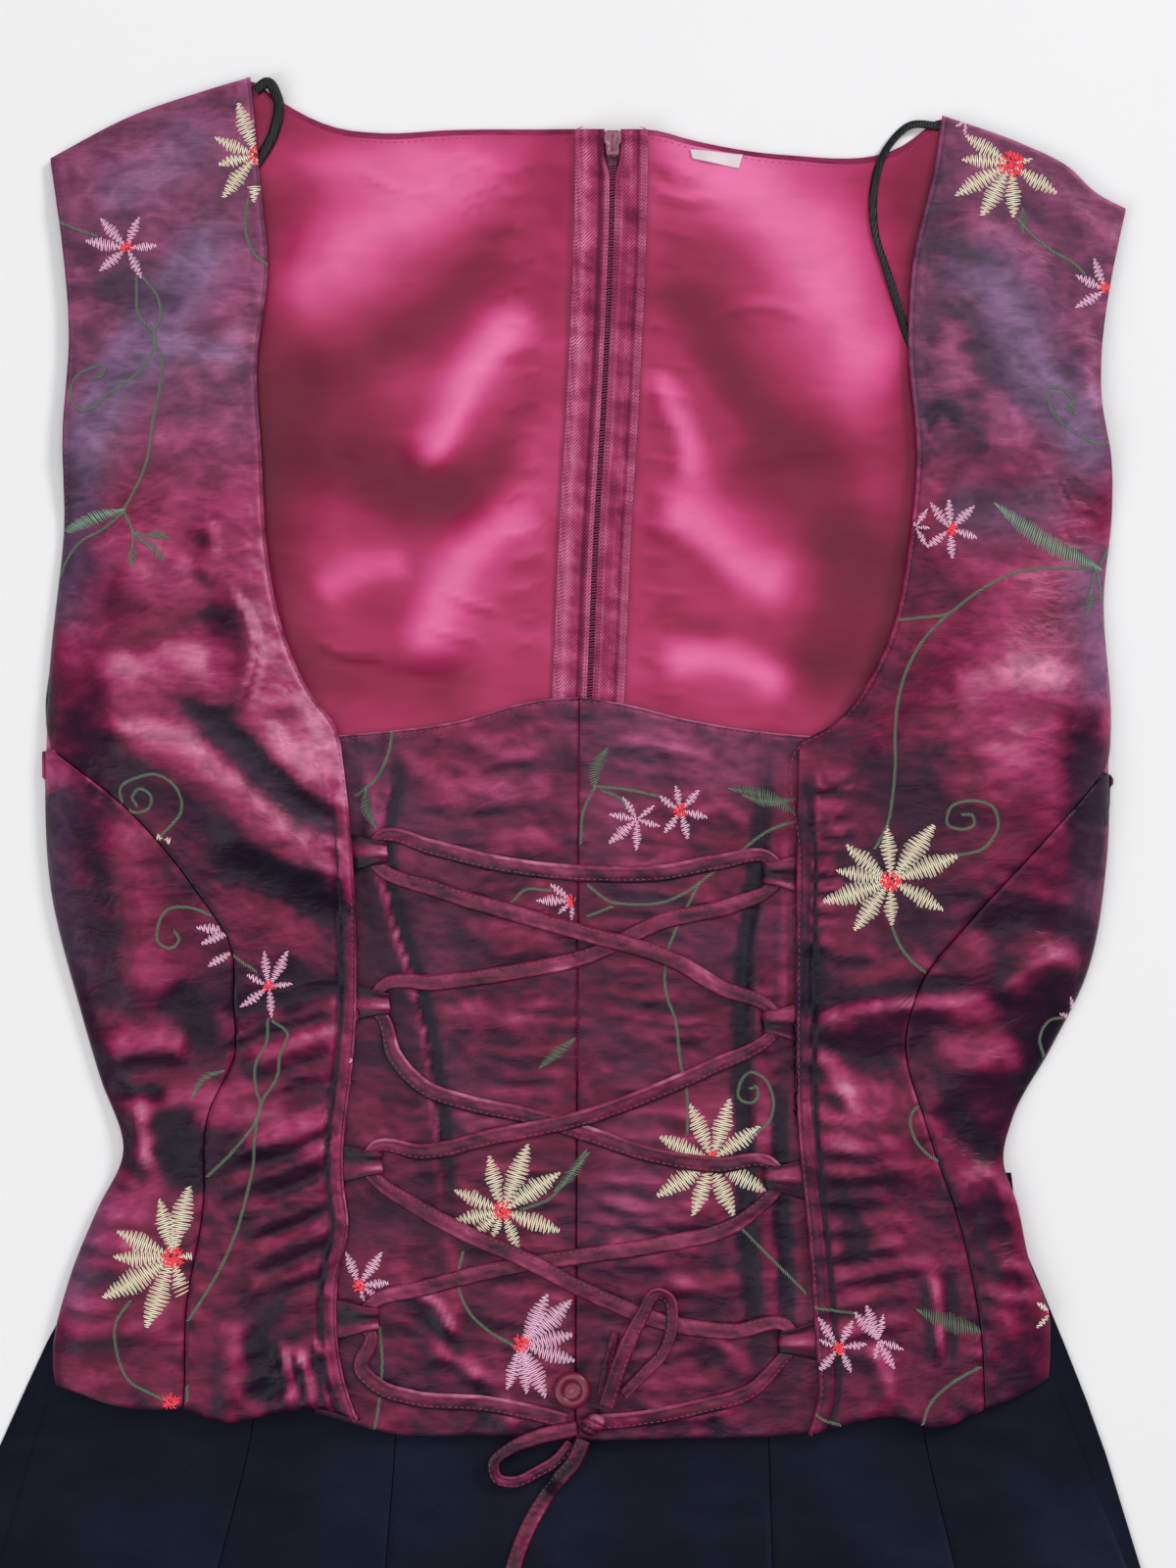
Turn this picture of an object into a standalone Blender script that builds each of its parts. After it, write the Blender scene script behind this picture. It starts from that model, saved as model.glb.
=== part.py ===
"""A folk costume laid flat: a laced, sleeveless bodice of embroidered taffeta on top of a long gored skirt.

Lengths are millimetres in the plan of the laid-out set: x to the right, y towards the shoulders and z up
from the surface that it lies on. The plan's zero is the middle of the bodice's front. One empty carries
every piece and puts the middle of the whole footprint at the world's origin.
"""

import math

import bmesh
import bpy
import numpy as np

MM = 0.001
NAME = "bunad_costume"

# Cloth and seams.
TAFFETA = 1.2
LINING = 1.0
TWILL = 1.0
SEAM_GAP = 0.2  # each side of a seam draws back this much
LAY = 0.3  # between one layer and the next

# The stack of layers, measured from the underside of the bodice's back.
LINING_Z = TAFFETA + LAY
TAPE_Z = LINING_Z + LINING + 2 * LAY
INSERT_Z = 5.0
INSERT_TOP = INSERT_Z + TAFFETA
FRONT_Z = 8.8
SKIRT_FRONT_Z = TWILL + LAY
SKIRT_STACK = SKIRT_FRONT_Z + TWILL + 0.6  # the bodice's back rides over the skirt at this height

# The bodice's outline, from the hem up.
SIDE_LEFT_LOW = [(-226, -254.6), (-227, -245), (-220, -210), (-208, -180), (-197, -156), (-207, -125),
                 (-216, -94), (-228, -45), (-230.5, 10), (-230.6, 14)]
SIDE_LEFT_HIGH = [(-227.4, 15), (-230, 26), (-228, 55), (-222.5, 110), (-222.5, 150), (-220, 190), (-223, 229),
                  (-228.3, 265.4)]
SIDE_RIGHT_LOW = [(195.4, -251.7), (196, -240), (195, -222), (188, -205), (182, -178), (176, -158), (180, -142),
                  (196, -113), (212, -80), (220, -35), (222, 4)]
SIDE_RIGHT_HIGH = [(218.8, 5), (221.6, 15), (222, 25), (219, 80), (222.5, 115), (222, 135), (217.5, 165),
                   (217.5, 180), (222, 215), (228.3, 244)]
SHOULDER_LEFT = [(-228.3, 265.4), (-194, 283.3), (-162.5, 294.2), (-143, 300)]
SHOULDER_RIGHT = [(150, 283.8), (183.3, 272), (204, 261.7), (215.4, 251), (228.3, 244)]
NECK_LEFT = [(-104, 17), (-106, 24), (-116, 37.5), (-130.4, 72.5), (-134.6, 95), (-138, 142), (-140, 174),
             (-135.4, 223), (-137.5, 244), (-143, 300)]
NECK_RIGHT = [(89, 18), (102, 24.6), (124, 55), (136, 106), (138.8, 135), (135.4, 190), (137.5, 221.7),
              (146.7, 261.7), (150, 283.8)]
LACING_LEFT = [(-97, -269), (-103, -250), (-105, -207), (-101, -187.5), (-103, -167), (-98, -100), (-98, -52.5),
               (-99.6, -23), (-104, 17)]
LACING_RIGHT = [(92.5, -275), (97, -257.5), (96, -238), (92.5, -190), (88.3, -148), (87.5, -84.6), (88, -32.5),
                (89, 18)]
PRINCESS_LEFT = [(-171, -264), (-170.4, -256), (-169.6, -222.5), (-162.5, -180), (-160, -139), (-149, -113),
                 (-149.6, -92.5), (-150, -70), (-164, -46), (-194, -10), (-227.4, 15)]
PRINCESS_RIGHT = [(167.5, -264), (166, -234), (158, -190), (143, -145), (134, -107), (140, -84.6), (161, -57.5),
                  (188, -28), (218.8, 5)]
HEM_SIDE_LEFT = [(-226, -254.6), (-192.5, -264), (-171, -264)]
HEM_FRONT_LEFT = [(-171, -264), (-150, -269.6), (-138, -267), (-113, -264), (-97, -269)]
HEM_FRONT_RIGHT = [(92.5, -275), (112, -270), (124, -267), (149, -271.7), (167.5, -264)]
HEM_SIDE_RIGHT = [(167.5, -264), (181, -259), (195.4, -251.7)]
HEM_BACK_LEFT = [(-226, -254.6), (-171, -260), (-97, -264), (-2, -268)]
HEM_BACK_RIGHT = [(-2, -268), (92.5, -268), (149, -265), (195.4, -251.7)]
INSERT_TOP_LEFT = [(-116, 20), (-104, 21), (-59, 26), (-19, 36), (-3.8, 37)]
INSERT_TOP_RIGHT = [(-3.8, 37), (16, 34), (40, 28), (80, 21.7), (103, 20)]
INSERT_HEM_LEFT = [(-116, -266), (-84, -275), (-38, -276), (-5.4, -278)]
INSERT_HEM_RIGHT = [(-5.4, -278), (48, -277), (91, -275), (107, -272)]
NECK_BACK_LEFT = [(-143, 300), (-130, 290), (-107, 279), (-87.5, 276.7), (-59, 278), (7.2, 278)]
NECK_BACK_RIGHT = [(13.6, 278), (29, 277.5), (43, 274), (83, 267.5), (131, 270), (150, 283.8)]
LINING_TOP_LEFT = [(-156, 292), (-143, 297), (-130, 287.5), (-107, 276.5), (-87.5, 274), (-59, 275.5), (6.4, 275.5)]
LINING_TOP_RIGHT = [(14.4, 275), (29, 275), (43, 271.5), (83, 265), (131, 267.5), (148, 280), (162, 277)]
LINING_SIDE_LEFT = [(-120, -5), (-146, 72), (-150, 142), (-150, 223), (-156, 292)]
LINING_SIDE_RIGHT = [(112, -5), (137, 55), (151, 135), (150, 190), (152, 222), (162, 277)]
LINING_LOW_LEFT = [(-120, -5), (-4.5, -5)]
LINING_LOW_RIGHT = [(3.5, -5), (112, -5)]

# The centre-back zip and its hanging pull.
ZIP_LINE = [(-2, -122), (-1.6, -5), (0.8, 42.5), (3.3, 103), (7, 167), (10.4, 267), (10.4, 277)]
TAPE_REACH = (-16, 15)
COIL_RADIUS = 0.9
SLIDER_Y = 271
SLIDER_SIZE = (7.6, 10.5, 2.2)
PULL_AXIS_Z = 1.4
PULL_LENGTH = 22
PULL_WIDTH = 5
PULL_THICKNESS = 0.8
POCKET = 2.8  # how far the back rises over the pull

# Lacing: each eye is (distance of its middle from the plan's zero, height up the front).
EYES_LEFT = [(-91, -29), (-90, -92), (-93, -160), (-94.5, -226)]
EYES_RIGHT = [(79.6, -38), (79.4, -101), (80.2, -167), (86.2, -235)]
EYE_REACH = 8.0
LOOP_WIDTH = 8
LACE_WIDTH = 7
LACE_IN_EYE = 4.0
LACE_THICKNESS = 0.9
UNDER = INSERT_TOP + 0.5 + LACE_THICKNESS / 2
OVER = INSERT_TOP + 1.9

BUTTON_AT = (-6.7, -256)
BUTTON_RADIUS = 7.9
KNOT_AT = (2, -270)

# The skirt: its seams run from the waistband to the hem.
WAIST_TOP = -165
WAIST_SEAM = -193
SKIRT_LINES = [
    [(-196, WAIST_SEAM), (-214, -229), (-226, -255), (-248, -323), (-360, -575), (-450, -790), (-512, -938)],
    [(-139, WAIST_SEAM), (-142.5, -273), (-157, -333), (-306, -962)],
    [(-80, WAIST_SEAM), (-81.7, -277), (-86, -333), (-140, -974)],
    [(72, WAIST_SEAM), (76.7, -277), (78.5, -333), (118, -974)],
    [(134, WAIST_SEAM), (142, -272), (156, -333), (285, -962)],
    [(178, WAIST_SEAM), (190, -229), (197.5, -251), (227, -327), (300, -520), (390, -765), (450, -943)],
]
SKIRT_BACK_EDGES = [
    [(-205, WAIST_SEAM), (-226, -229), (-250, -281), (-283, -350), (-375, -565), (-465, -785), (-530, -935)],
    [(184, WAIST_SEAM), (199, -229), (219, -281), (234, -330), (305, -510), (395, -755), (462, -940)],
]
HEM_DROP = -975

# The middle of the footprint, and so the world's origin, in the plan.
FOOTPRINT_MIDDLE = (-34.0, -337.48)

PALETTE = {
    "taffeta": ((0.16, 0.025, 0.065), 0.38, 0.0),
    "lining_satin": ((0.52, 0.05, 0.16), 0.32, 0.0),
    "skirt_twill": ((0.012, 0.018, 0.034), 0.85, 0.0),
    "zip_tape": ((0.36, 0.045, 0.12), 0.75, 0.0),
    "zip_coil": ((0.24, 0.04, 0.09), 0.45, 0.0),
    "slider_paint": ((0.26, 0.11, 0.16), 0.4, 0.3),
    "hanger_tape": ((0.012, 0.014, 0.017), 0.7, 0.0),
    "label_satin": ((0.7, 0.5, 0.58), 0.5, 0.0),
    "button_plastic": ((0.19, 0.02, 0.05), 0.3, 0.0),
}


# ---------------------------------------------------------------- lines and surfaces

def even(count):
    """Fractions that divide a line into count equal steps."""
    return np.linspace(0, 1, count + 1)


def smooth(points, at):
    """The points at the given fractions of the length of a smooth line through points."""
    given = np.array(points, float)
    steps = np.diff(given, axis=0)
    length = np.linalg.norm(steps, axis=1)
    slope = steps / length[:, None]
    middle = (slope[1:] * length[:-1, None] + slope[:-1] * length[1:, None]) / (length[1:] + length[:-1])[:, None]
    tangent = np.vstack([slope[:1], middle, slope[-1:]])
    t = np.linspace(0, 1, 13)[1:, None]
    line = [given[:1]]
    for i, run in enumerate(length):
        line.append((2 * t**3 - 3 * t**2 + 1) * given[i] + (t**3 - 2 * t**2 + t) * run * tangent[i]
                    + (3 * t**2 - 2 * t**3) * given[i + 1] + (t**3 - t**2) * run * tangent[i + 1])
    line = np.vstack(line)
    gone = np.r_[0, np.cumsum(np.linalg.norm(np.diff(line, axis=0), axis=1))]
    return np.column_stack([np.interp(np.array(at) * gone[-1], gone, column) for column in line.T])


def join(low, high):
    """One line of two that share an end."""
    return np.vstack([low, high[1:]])


def draw_back(line, distance):
    """The line moved to its own left by distance."""
    run = np.gradient(line, axis=0)
    left = np.column_stack([-run[:, 1], run[:, 0]]) / np.linalg.norm(run, axis=1)[:, None]
    return line + distance * left


def step(low, high, value):
    """A soft step from 0 at low to 1 at high."""
    t = np.clip((value - low) / (high - low), 0, 1)
    return t * t * (3 - 2 * t)


def across(points, y):
    """The x of an outline that runs up the plan, at height y."""
    line = smooth(points, even(60))
    return np.interp(y, line[:, 1], line[:, 0])


def fill(bottom, right, top, left, columns):
    """The plan points of a piece between four edge lines, drawn back from each by the seam gap."""
    low, high = draw_back(bottom, SEAM_GAP), draw_back(top, -SEAM_GAP)
    start, end = draw_back(left, -SEAM_GAP), draw_back(right, SEAM_GAP)
    corners = {}
    for key, along, side, whole in (("ll", low[0], start[0], bottom[0]), ("lr", low[-1], end[0], bottom[-1]),
                                    ("hl", high[0], start[-1], top[0]), ("hr", high[-1], end[-1], top[-1])):
        corners[key] = along + side - whole
    low[0], low[-1], high[0], high[-1] = corners["ll"], corners["lr"], corners["hl"], corners["hr"]
    start[0], start[-1], end[0], end[-1] = corners["ll"], corners["hl"], corners["lr"], corners["hr"]
    u = np.array(columns)[:, None, None]
    v = even(len(left) - 1)[None, :, None]
    ruled = (1 - v) * low[:, None] + v * high[:, None] + (1 - u) * start[None] + u * end[None]
    twist = ((1 - u) * (1 - v) * corners["ll"] + u * (1 - v) * corners["lr"]
             + (1 - u) * v * corners["hl"] + u * v * corners["hr"])
    return ruled - twist


# ---------------------------------------------------------------- how high each layer lies

WHOLE_LEFT = SIDE_LEFT_LOW[:-1] + SIDE_LEFT_HIGH[1:]
WHOLE_RIGHT = SIDE_RIGHT_LOW[:-1] + SIDE_RIGHT_HIGH[1:]
ROLL = 34  # the width over which a front turns down to its side seam
BUSTS = ((-176, 10), (172, 10))
BUST_RISE = 13

# Large soft folds: (from, to, height, half-width).
FRONT_FOLDS = [
    ((-205, 30), (-120, -32), 3.0, 15),
    ((-150, 105), (-140, 45), 2.5, 14),
    ((-190, -140), (-125, -150), 3.0, 13),
    ((120, -90), (190, -70), 3.0, 14),
    ((125, -150), (165, -120), 2.5, 13),
    ((170, 60), (130, 10), 2.5, 15),
    ((-190, 225), (-150, 195), 1.5, 14),
    ((160, 230), (200, 190), 1.5, 14),
]
LINING_FOLDS = [
    ((-50, 262), (-128, 220), 3.0, 13),
    ((-60, 205), (-128, 165), 3.0, 14),
    ((-45, 140), (-120, 92), 3.0, 15),
    ((-52, 95), (-62, 58), 3.5, 13),
    ((50, 245), (118, 212), 3.0, 14),
    ((40, 178), (122, 128), 3.0, 15),
    ((45, 110), (100, 60), 3.0, 14),
]


def folds(x, y, listed):
    """The summed height of the listed folds at a point of the plan."""
    height = 0.0
    for start, end, rise, half_width in listed:
        run = np.subtract(end, start)
        along = ((x - start[0]) * run[0] + (y - start[1]) * run[1]) / (run @ run)
        near = np.clip(along, 0, 1)
        off = np.hypot(x - start[0] - near * run[0], y - start[1] - near * run[1])
        height = height + rise * np.exp(-((off / half_width) ** 2))
    return height


def zip_x(y):
    """Where the zip's middle is at height y."""
    return across(ZIP_LINE, y)


def over_skirt(y):
    """How far the bodice is raised where the skirt lies under it."""
    return SKIRT_STACK * step(-126, -158, y)


def back_z(x, y):
    """The underside of the bodice's back: flat, over the skirt's top and over the zip's pull."""
    beside = step(38, 10, np.abs(x - zip_x(y)))
    return over_skirt(y) + POCKET * beside * step(SLIDER_Y - 84, SLIDER_Y - 44, y)


def lining_z(x, y):
    """The underside of the back lining, with its loose folds between the zip and the necklines."""
    loose = step(14, 34, np.abs(x - zip_x(y))) * step(42, 60, y) * step(272, 255, y)
    loose = loose * step(132, 104, np.abs(x))
    below = back_z(x, y)
    return below * 1.15 + LINING_Z + loose * folds(x, y, LINING_FOLDS)


def insert_z(x, y):
    """The underside of the laced insert."""
    return over_skirt(y) + INSERT_Z + 0 * x


def shoulder_gap(x, y):
    """How far a point is below the shoulder seams."""
    left = np.interp(x, [p[0] for p in SHOULDER_LEFT], [p[1] for p in SHOULDER_LEFT])
    right = np.interp(x, [p[0] for p in SHOULDER_RIGHT], [p[1] for p in SHOULDER_RIGHT])
    return np.where(x < 0, left, right) - y


def front_z(x, y):
    """The underside of the fronts: rounded down at the side seams, full at the bust, low on the straps."""
    inside = np.minimum(x - across(WHOLE_LEFT, y), across(WHOLE_RIGHT, y) - x)
    turn = np.sqrt(1 - (1 - np.clip(inside / ROLL, 0, 1)) ** 2)
    turn = turn + (1 - turn) * step(105, 150, y)
    full = np.interp(y, [-280, 20, 70, 180, 250, 300], [FRONT_Z, FRONT_Z, 7.5, 6.4, 5.4, 4.4])
    for bust_x, bust_y in BUSTS:
        full = full + BUST_RISE * np.exp(-(((x - bust_x) / 62) ** 2) - ((y - bust_y) / 88) ** 2)
    full = full + folds(x, y, FRONT_FOLDS) * step(0, 14, inside)
    full = 3.6 + (full - 3.6) * step(0, 24, shoulder_gap(x, y))
    low = LINING_Z
    return over_skirt(y) + low + (full - low) * turn


def skirt_front_z(x, y):
    """The underside of the skirt's front: flat under the bodice, then in flutes between its seams."""
    seams = np.array([across(line[::-1], y) for line in SKIRT_LINES])
    place = float(np.interp(x, seams, range(len(seams))))
    rise = 3.2 * step(-282, -345, y) + 9 * step(-345, -800, y)
    edge = min(x - seams[0], seams[-1] - x)
    return SKIRT_FRONT_Z + rise * math.sin(math.pi * (place % 1)) ** 2 * step(0, 30, edge)


# ---------------------------------------------------------------- making pieces

def clear_scene():
    """Empty the file of its objects."""
    for obj in list(bpy.data.objects):
        bpy.data.objects.remove(obj, do_unlink=True)


def finish_of(name):
    """The named material, made once."""
    made = bpy.data.materials.get(name)
    if made:
        return made
    colour, roughness, metallic = PALETTE[name]
    made = bpy.data.materials.new(name)
    made.use_nodes = True
    shader = made.node_tree.nodes["Principled BSDF"]
    shader.inputs["Base Color"].default_value = (*colour, 1)
    shader.inputs["Roughness"].default_value = roughness
    shader.inputs["Metallic"].default_value = metallic
    made.diffuse_color = (*colour, 1)
    return made


class Set:
    """The collection of finished pieces and the empty that carries them."""

    def __init__(self):
        self.pieces = bpy.data.collections.new(NAME)
        self.helpers = bpy.data.collections.new("cutters")
        for group in (self.pieces, self.helpers):
            bpy.context.scene.collection.children.link(group)
        self.carrier = bpy.data.objects.new("laid_on_surface", None)
        self.carrier.location = (-FOOTPRINT_MIDDLE[0] * MM, -FOOTPRINT_MIDDLE[1] * MM, 0)
        self.pieces.objects.link(self.carrier)

    def add(self, name, data, material, at=(0, 0, 0), turn=(0, 0, 0)):
        """A named piece on the carrier, with its own material."""
        obj = bpy.data.objects.new(name, data)
        data.materials.append(finish_of(material))
        self.pieces.objects.link(obj)
        obj.parent = self.carrier
        obj.location = [value * MM for value in at]
        obj.rotation_euler = turn
        return obj


def surface(made, name, points, thickness, material, offset=1.0):
    """An open surface over a grid of (column, row, xyz) points, given its thickness by Solidify."""
    columns, rows = points.shape[:2]
    grid = bmesh.new()
    bmesh.ops.create_grid(grid, x_segments=columns - 1, y_segments=rows - 1, size=1)
    for vertex in grid.verts:
        column = round((vertex.co.x + 1) / 2 * (columns - 1))
        row = round((vertex.co.y + 1) / 2 * (rows - 1))
        vertex.co = points[column, row] * MM
    mesh = bpy.data.meshes.new(name)
    grid.to_mesh(mesh)
    grid.free()
    mesh.shade_smooth()
    obj = made.add(name, mesh, material)
    wall = obj.modifiers.new("cloth", "SOLIDIFY")
    wall.thickness = thickness * MM
    wall.offset = offset
    return obj


def panel(made, name, bottom, right, top, left, columns, height, thickness, material):
    """A flat-cut piece between four edges, lying at the given height."""
    plan = fill(bottom, right, top, left, columns)
    up = np.array([[height(x, y) for x, y in column] for column in plan])
    return surface(made, name, np.dstack([plan, up]), thickness, material)


def ribbon(made, name, path, widths, thickness, material, count, turns=None):
    """A flat band along a smooth path; turns tips it about its path, in degrees."""
    line = smooth(path, even(count))
    run = np.gradient(line, axis=0)
    side = np.column_stack([-run[:, 1], run[:, 0], np.zeros(len(run))])
    side /= np.linalg.norm(side, axis=1)[:, None]
    if turns is not None:
        along = run / np.linalg.norm(run, axis=1)[:, None]
        angle = np.radians(np.interp(even(count), np.linspace(0, 1, len(turns)), turns))[:, None]
        side = side * np.cos(angle) + np.cross(along, side) * np.sin(angle)
    half = np.interp(even(count), np.linspace(0, 1, len(widths)), widths)[:, None] / 2
    points = np.stack([line + side * half, line - side * half])
    return surface(made, name, points, thickness, material, offset=0.0)


def outline(name, loops, half_depth):
    """A flat curve of closed loops, extruded to both sides."""
    flat = bpy.data.curves.new(name, "CURVE")
    flat.dimensions = "2D"
    flat.fill_mode = "BOTH"
    flat.extrude = half_depth * MM
    for loop in loops:
        spline = flat.splines.new("POLY")
        spline.points.add(len(loop) - 1)
        for point, (x, y) in zip(spline.points, loop):
            point.co = (x * MM, y * MM, 0, 1)
        spline.use_cyclic_u = True
    return flat


def tube(made, name, path, radius, count, material):
    """A round cord along a smooth path, with its ends closed."""
    cord = bpy.data.curves.new(name, "CURVE")
    cord.dimensions = "3D"
    cord.bevel_depth = radius * MM
    cord.bevel_resolution = 2
    cord.use_fill_caps = True
    spline = cord.splines.new("POLY")
    line = smooth(path, even(count))
    spline.points.add(len(line) - 1)
    for point, place in zip(spline.points, line):
        point.co = (*(place * MM), 1)
    return made.add(name, cord, material)


# ---------------------------------------------------------------- the bodice

LOW_ROWS = 12
HIGH_ROWS = 11
FROM_SIDE = [0, 0.04, 0.12, 0.24, 0.38, 0.54, 0.7, 0.86, 1]


def build_fronts(made):
    """The fronts run from the shoulder to the hem; a side front fills in below the bust."""
    to_side = [1 - u for u in FROM_SIDE[::-1]]
    left = join(smooth(PRINCESS_LEFT, even(LOW_ROWS)), smooth(SIDE_LEFT_HIGH, even(HIGH_ROWS)))
    right = join(smooth(LACING_LEFT, even(LOW_ROWS)), smooth(NECK_LEFT, even(HIGH_ROWS)))
    panel(made, "bodice_front_left", smooth(HEM_FRONT_LEFT, FROM_SIDE), right, smooth(SHOULDER_LEFT, FROM_SIDE),
          left, FROM_SIDE, front_z, TAFFETA, "taffeta")
    left = join(smooth(LACING_RIGHT, even(LOW_ROWS)), smooth(NECK_RIGHT, even(HIGH_ROWS)))
    right = join(smooth(PRINCESS_RIGHT, even(LOW_ROWS)), smooth(SIDE_RIGHT_HIGH, even(HIGH_ROWS)))
    panel(made, "bodice_front_right", smooth(HEM_FRONT_RIGHT, to_side), right, smooth(SHOULDER_RIGHT, to_side),
          left, to_side, front_z, TAFFETA, "taffeta")
    near_side = [0, 0.12, 0.3, 0.6, 1]
    far_side = [1 - u for u in near_side[::-1]]
    panel(made, "side_front_left", smooth(HEM_SIDE_LEFT, near_side), smooth(PRINCESS_LEFT, even(LOW_ROWS)),
          smooth([SIDE_LEFT_LOW[-1], PRINCESS_LEFT[-1]], near_side), smooth(SIDE_LEFT_LOW, even(LOW_ROWS)),
          near_side, front_z, TAFFETA, "taffeta")
    panel(made, "side_front_right", smooth(HEM_SIDE_RIGHT, far_side), smooth(SIDE_RIGHT_LOW, even(LOW_ROWS)),
          smooth([PRINCESS_RIGHT[-1], SIDE_RIGHT_LOW[-1]], far_side), smooth(PRINCESS_RIGHT, even(LOW_ROWS)),
          far_side, front_z, TAFFETA, "taffeta")


def build_insert(made):
    """Two halves with a centre seam, tucked in under the fronts."""
    columns = even(5)
    rows = even(14)
    centre = [INSERT_HEM_LEFT[-1], INSERT_TOP_LEFT[-1]]
    outer_left = [INSERT_HEM_LEFT[0], INSERT_TOP_LEFT[0]]
    outer_right = [INSERT_HEM_RIGHT[-1], INSERT_TOP_RIGHT[-1]]
    panel(made, "insert_left", smooth(INSERT_HEM_LEFT, columns), smooth(centre, rows),
          smooth(INSERT_TOP_LEFT, columns), smooth(outer_left, rows), columns, insert_z, TAFFETA, "taffeta")
    panel(made, "insert_right", smooth(INSERT_HEM_RIGHT, columns), smooth(outer_right, rows),
          smooth(INSERT_TOP_RIGHT, columns), smooth(centre, rows), columns, insert_z, TAFFETA, "taffeta")


def build_back(made):
    """Two plain halves that part in a narrow V at the zip's slider."""
    shoulder = [0, 0.1, 0.3, 0.65, 1]
    neck = [0, 0.22, 0.45, 0.65, 0.82, 0.92, 0.96, 1]
    columns = [0, 0.04, 0.12, 0.24, 0.36, 0.48, 0.6, 0.72, 0.84, 0.92, 0.96, 1]
    rows = 22
    straight = [(-2, -268), (-1.6, -5), (3.3, 103), (7, 167)]
    middle_left = straight + [(8.2, 205), (8.9, 238), (8.2, 262), (7.2, 278)]
    middle_right = straight + [(8.9, 205), (10.9, 238), (12.4, 262), (13.6, 278)]
    top = join(smooth(SHOULDER_LEFT, shoulder), smooth(NECK_BACK_LEFT, neck))
    panel(made, "bodice_back_left", smooth(HEM_BACK_LEFT, columns), smooth(middle_left, even(rows)), top,
          smooth(WHOLE_LEFT, even(rows)), columns, back_z, TAFFETA, "taffeta")
    mirrored = [1 - u for u in columns[::-1]]
    top = join(smooth(NECK_BACK_RIGHT, [1 - u for u in neck[::-1]]),
               smooth(SHOULDER_RIGHT, [1 - u for u in shoulder[::-1]]))
    panel(made, "bodice_back_right", smooth(HEM_BACK_RIGHT, mirrored), smooth(WHOLE_RIGHT, even(rows)), top,
          smooth(middle_right, even(rows)), mirrored, back_z, TAFFETA, "taffeta")


def build_back_lining(made):
    """The satin lining of the back, as far as the neck opening shows it."""
    rows = even(12)
    columns = even(8)
    panel(made, "back_lining_left", smooth(LINING_LOW_LEFT, columns),
          smooth([(-4.5, -5), (-0.8, 103), (3, 167), (5.6, 240), (6.4, 275.5)], rows),
          smooth(LINING_TOP_LEFT, columns), smooth(LINING_SIDE_LEFT, rows), columns, lining_z, LINING, "lining_satin")
    panel(made, "back_lining_right", smooth(LINING_LOW_RIGHT, columns), smooth(LINING_SIDE_RIGHT, rows),
          smooth(LINING_TOP_RIGHT, columns),
          smooth([(3.5, -5), (7.4, 103), (11, 167), (14, 240), (14.4, 275)], rows),
          columns, lining_z, LINING, "lining_satin")


def build_zip(made):
    """Two tapes with the closed coil between them, the slider seen from inside and its pull on the outside."""
    rows = even(24)
    line = smooth(ZIP_LINE, rows)
    parting = 1.2 + 2.6 * step(248, 266, line[:, 1])

    def tape_height(x, y):
        return back_z(zip_x(y), y) * 1.3 + TAPE_Z

    for name, near, far in (("zip_tape_left", -1, TAPE_REACH[0]), ("zip_tape_right", 1, TAPE_REACH[1])):
        inner = line + np.column_stack([near * parting, 0 * parting])
        outer = line + np.array([far, 0])
        left, right = (outer, inner) if near < 0 else (inner, outer)
        ends = [0, 0.5, 1]
        panel(made, name, smooth([left[0], right[0]], ends), right, smooth([left[-1], right[-1]], ends), left,
              ends, tape_height, LINING, "zip_tape")
    coil = [(x, y, tape_height(x, y) + LINING / 2) for x, y in smooth(ZIP_LINE, even(30)) if y < SLIDER_Y - 8]
    tube(made, "zip_coil", coil, COIL_RADIUS, 22, "zip_coil")
    build_slider(made)


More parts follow.
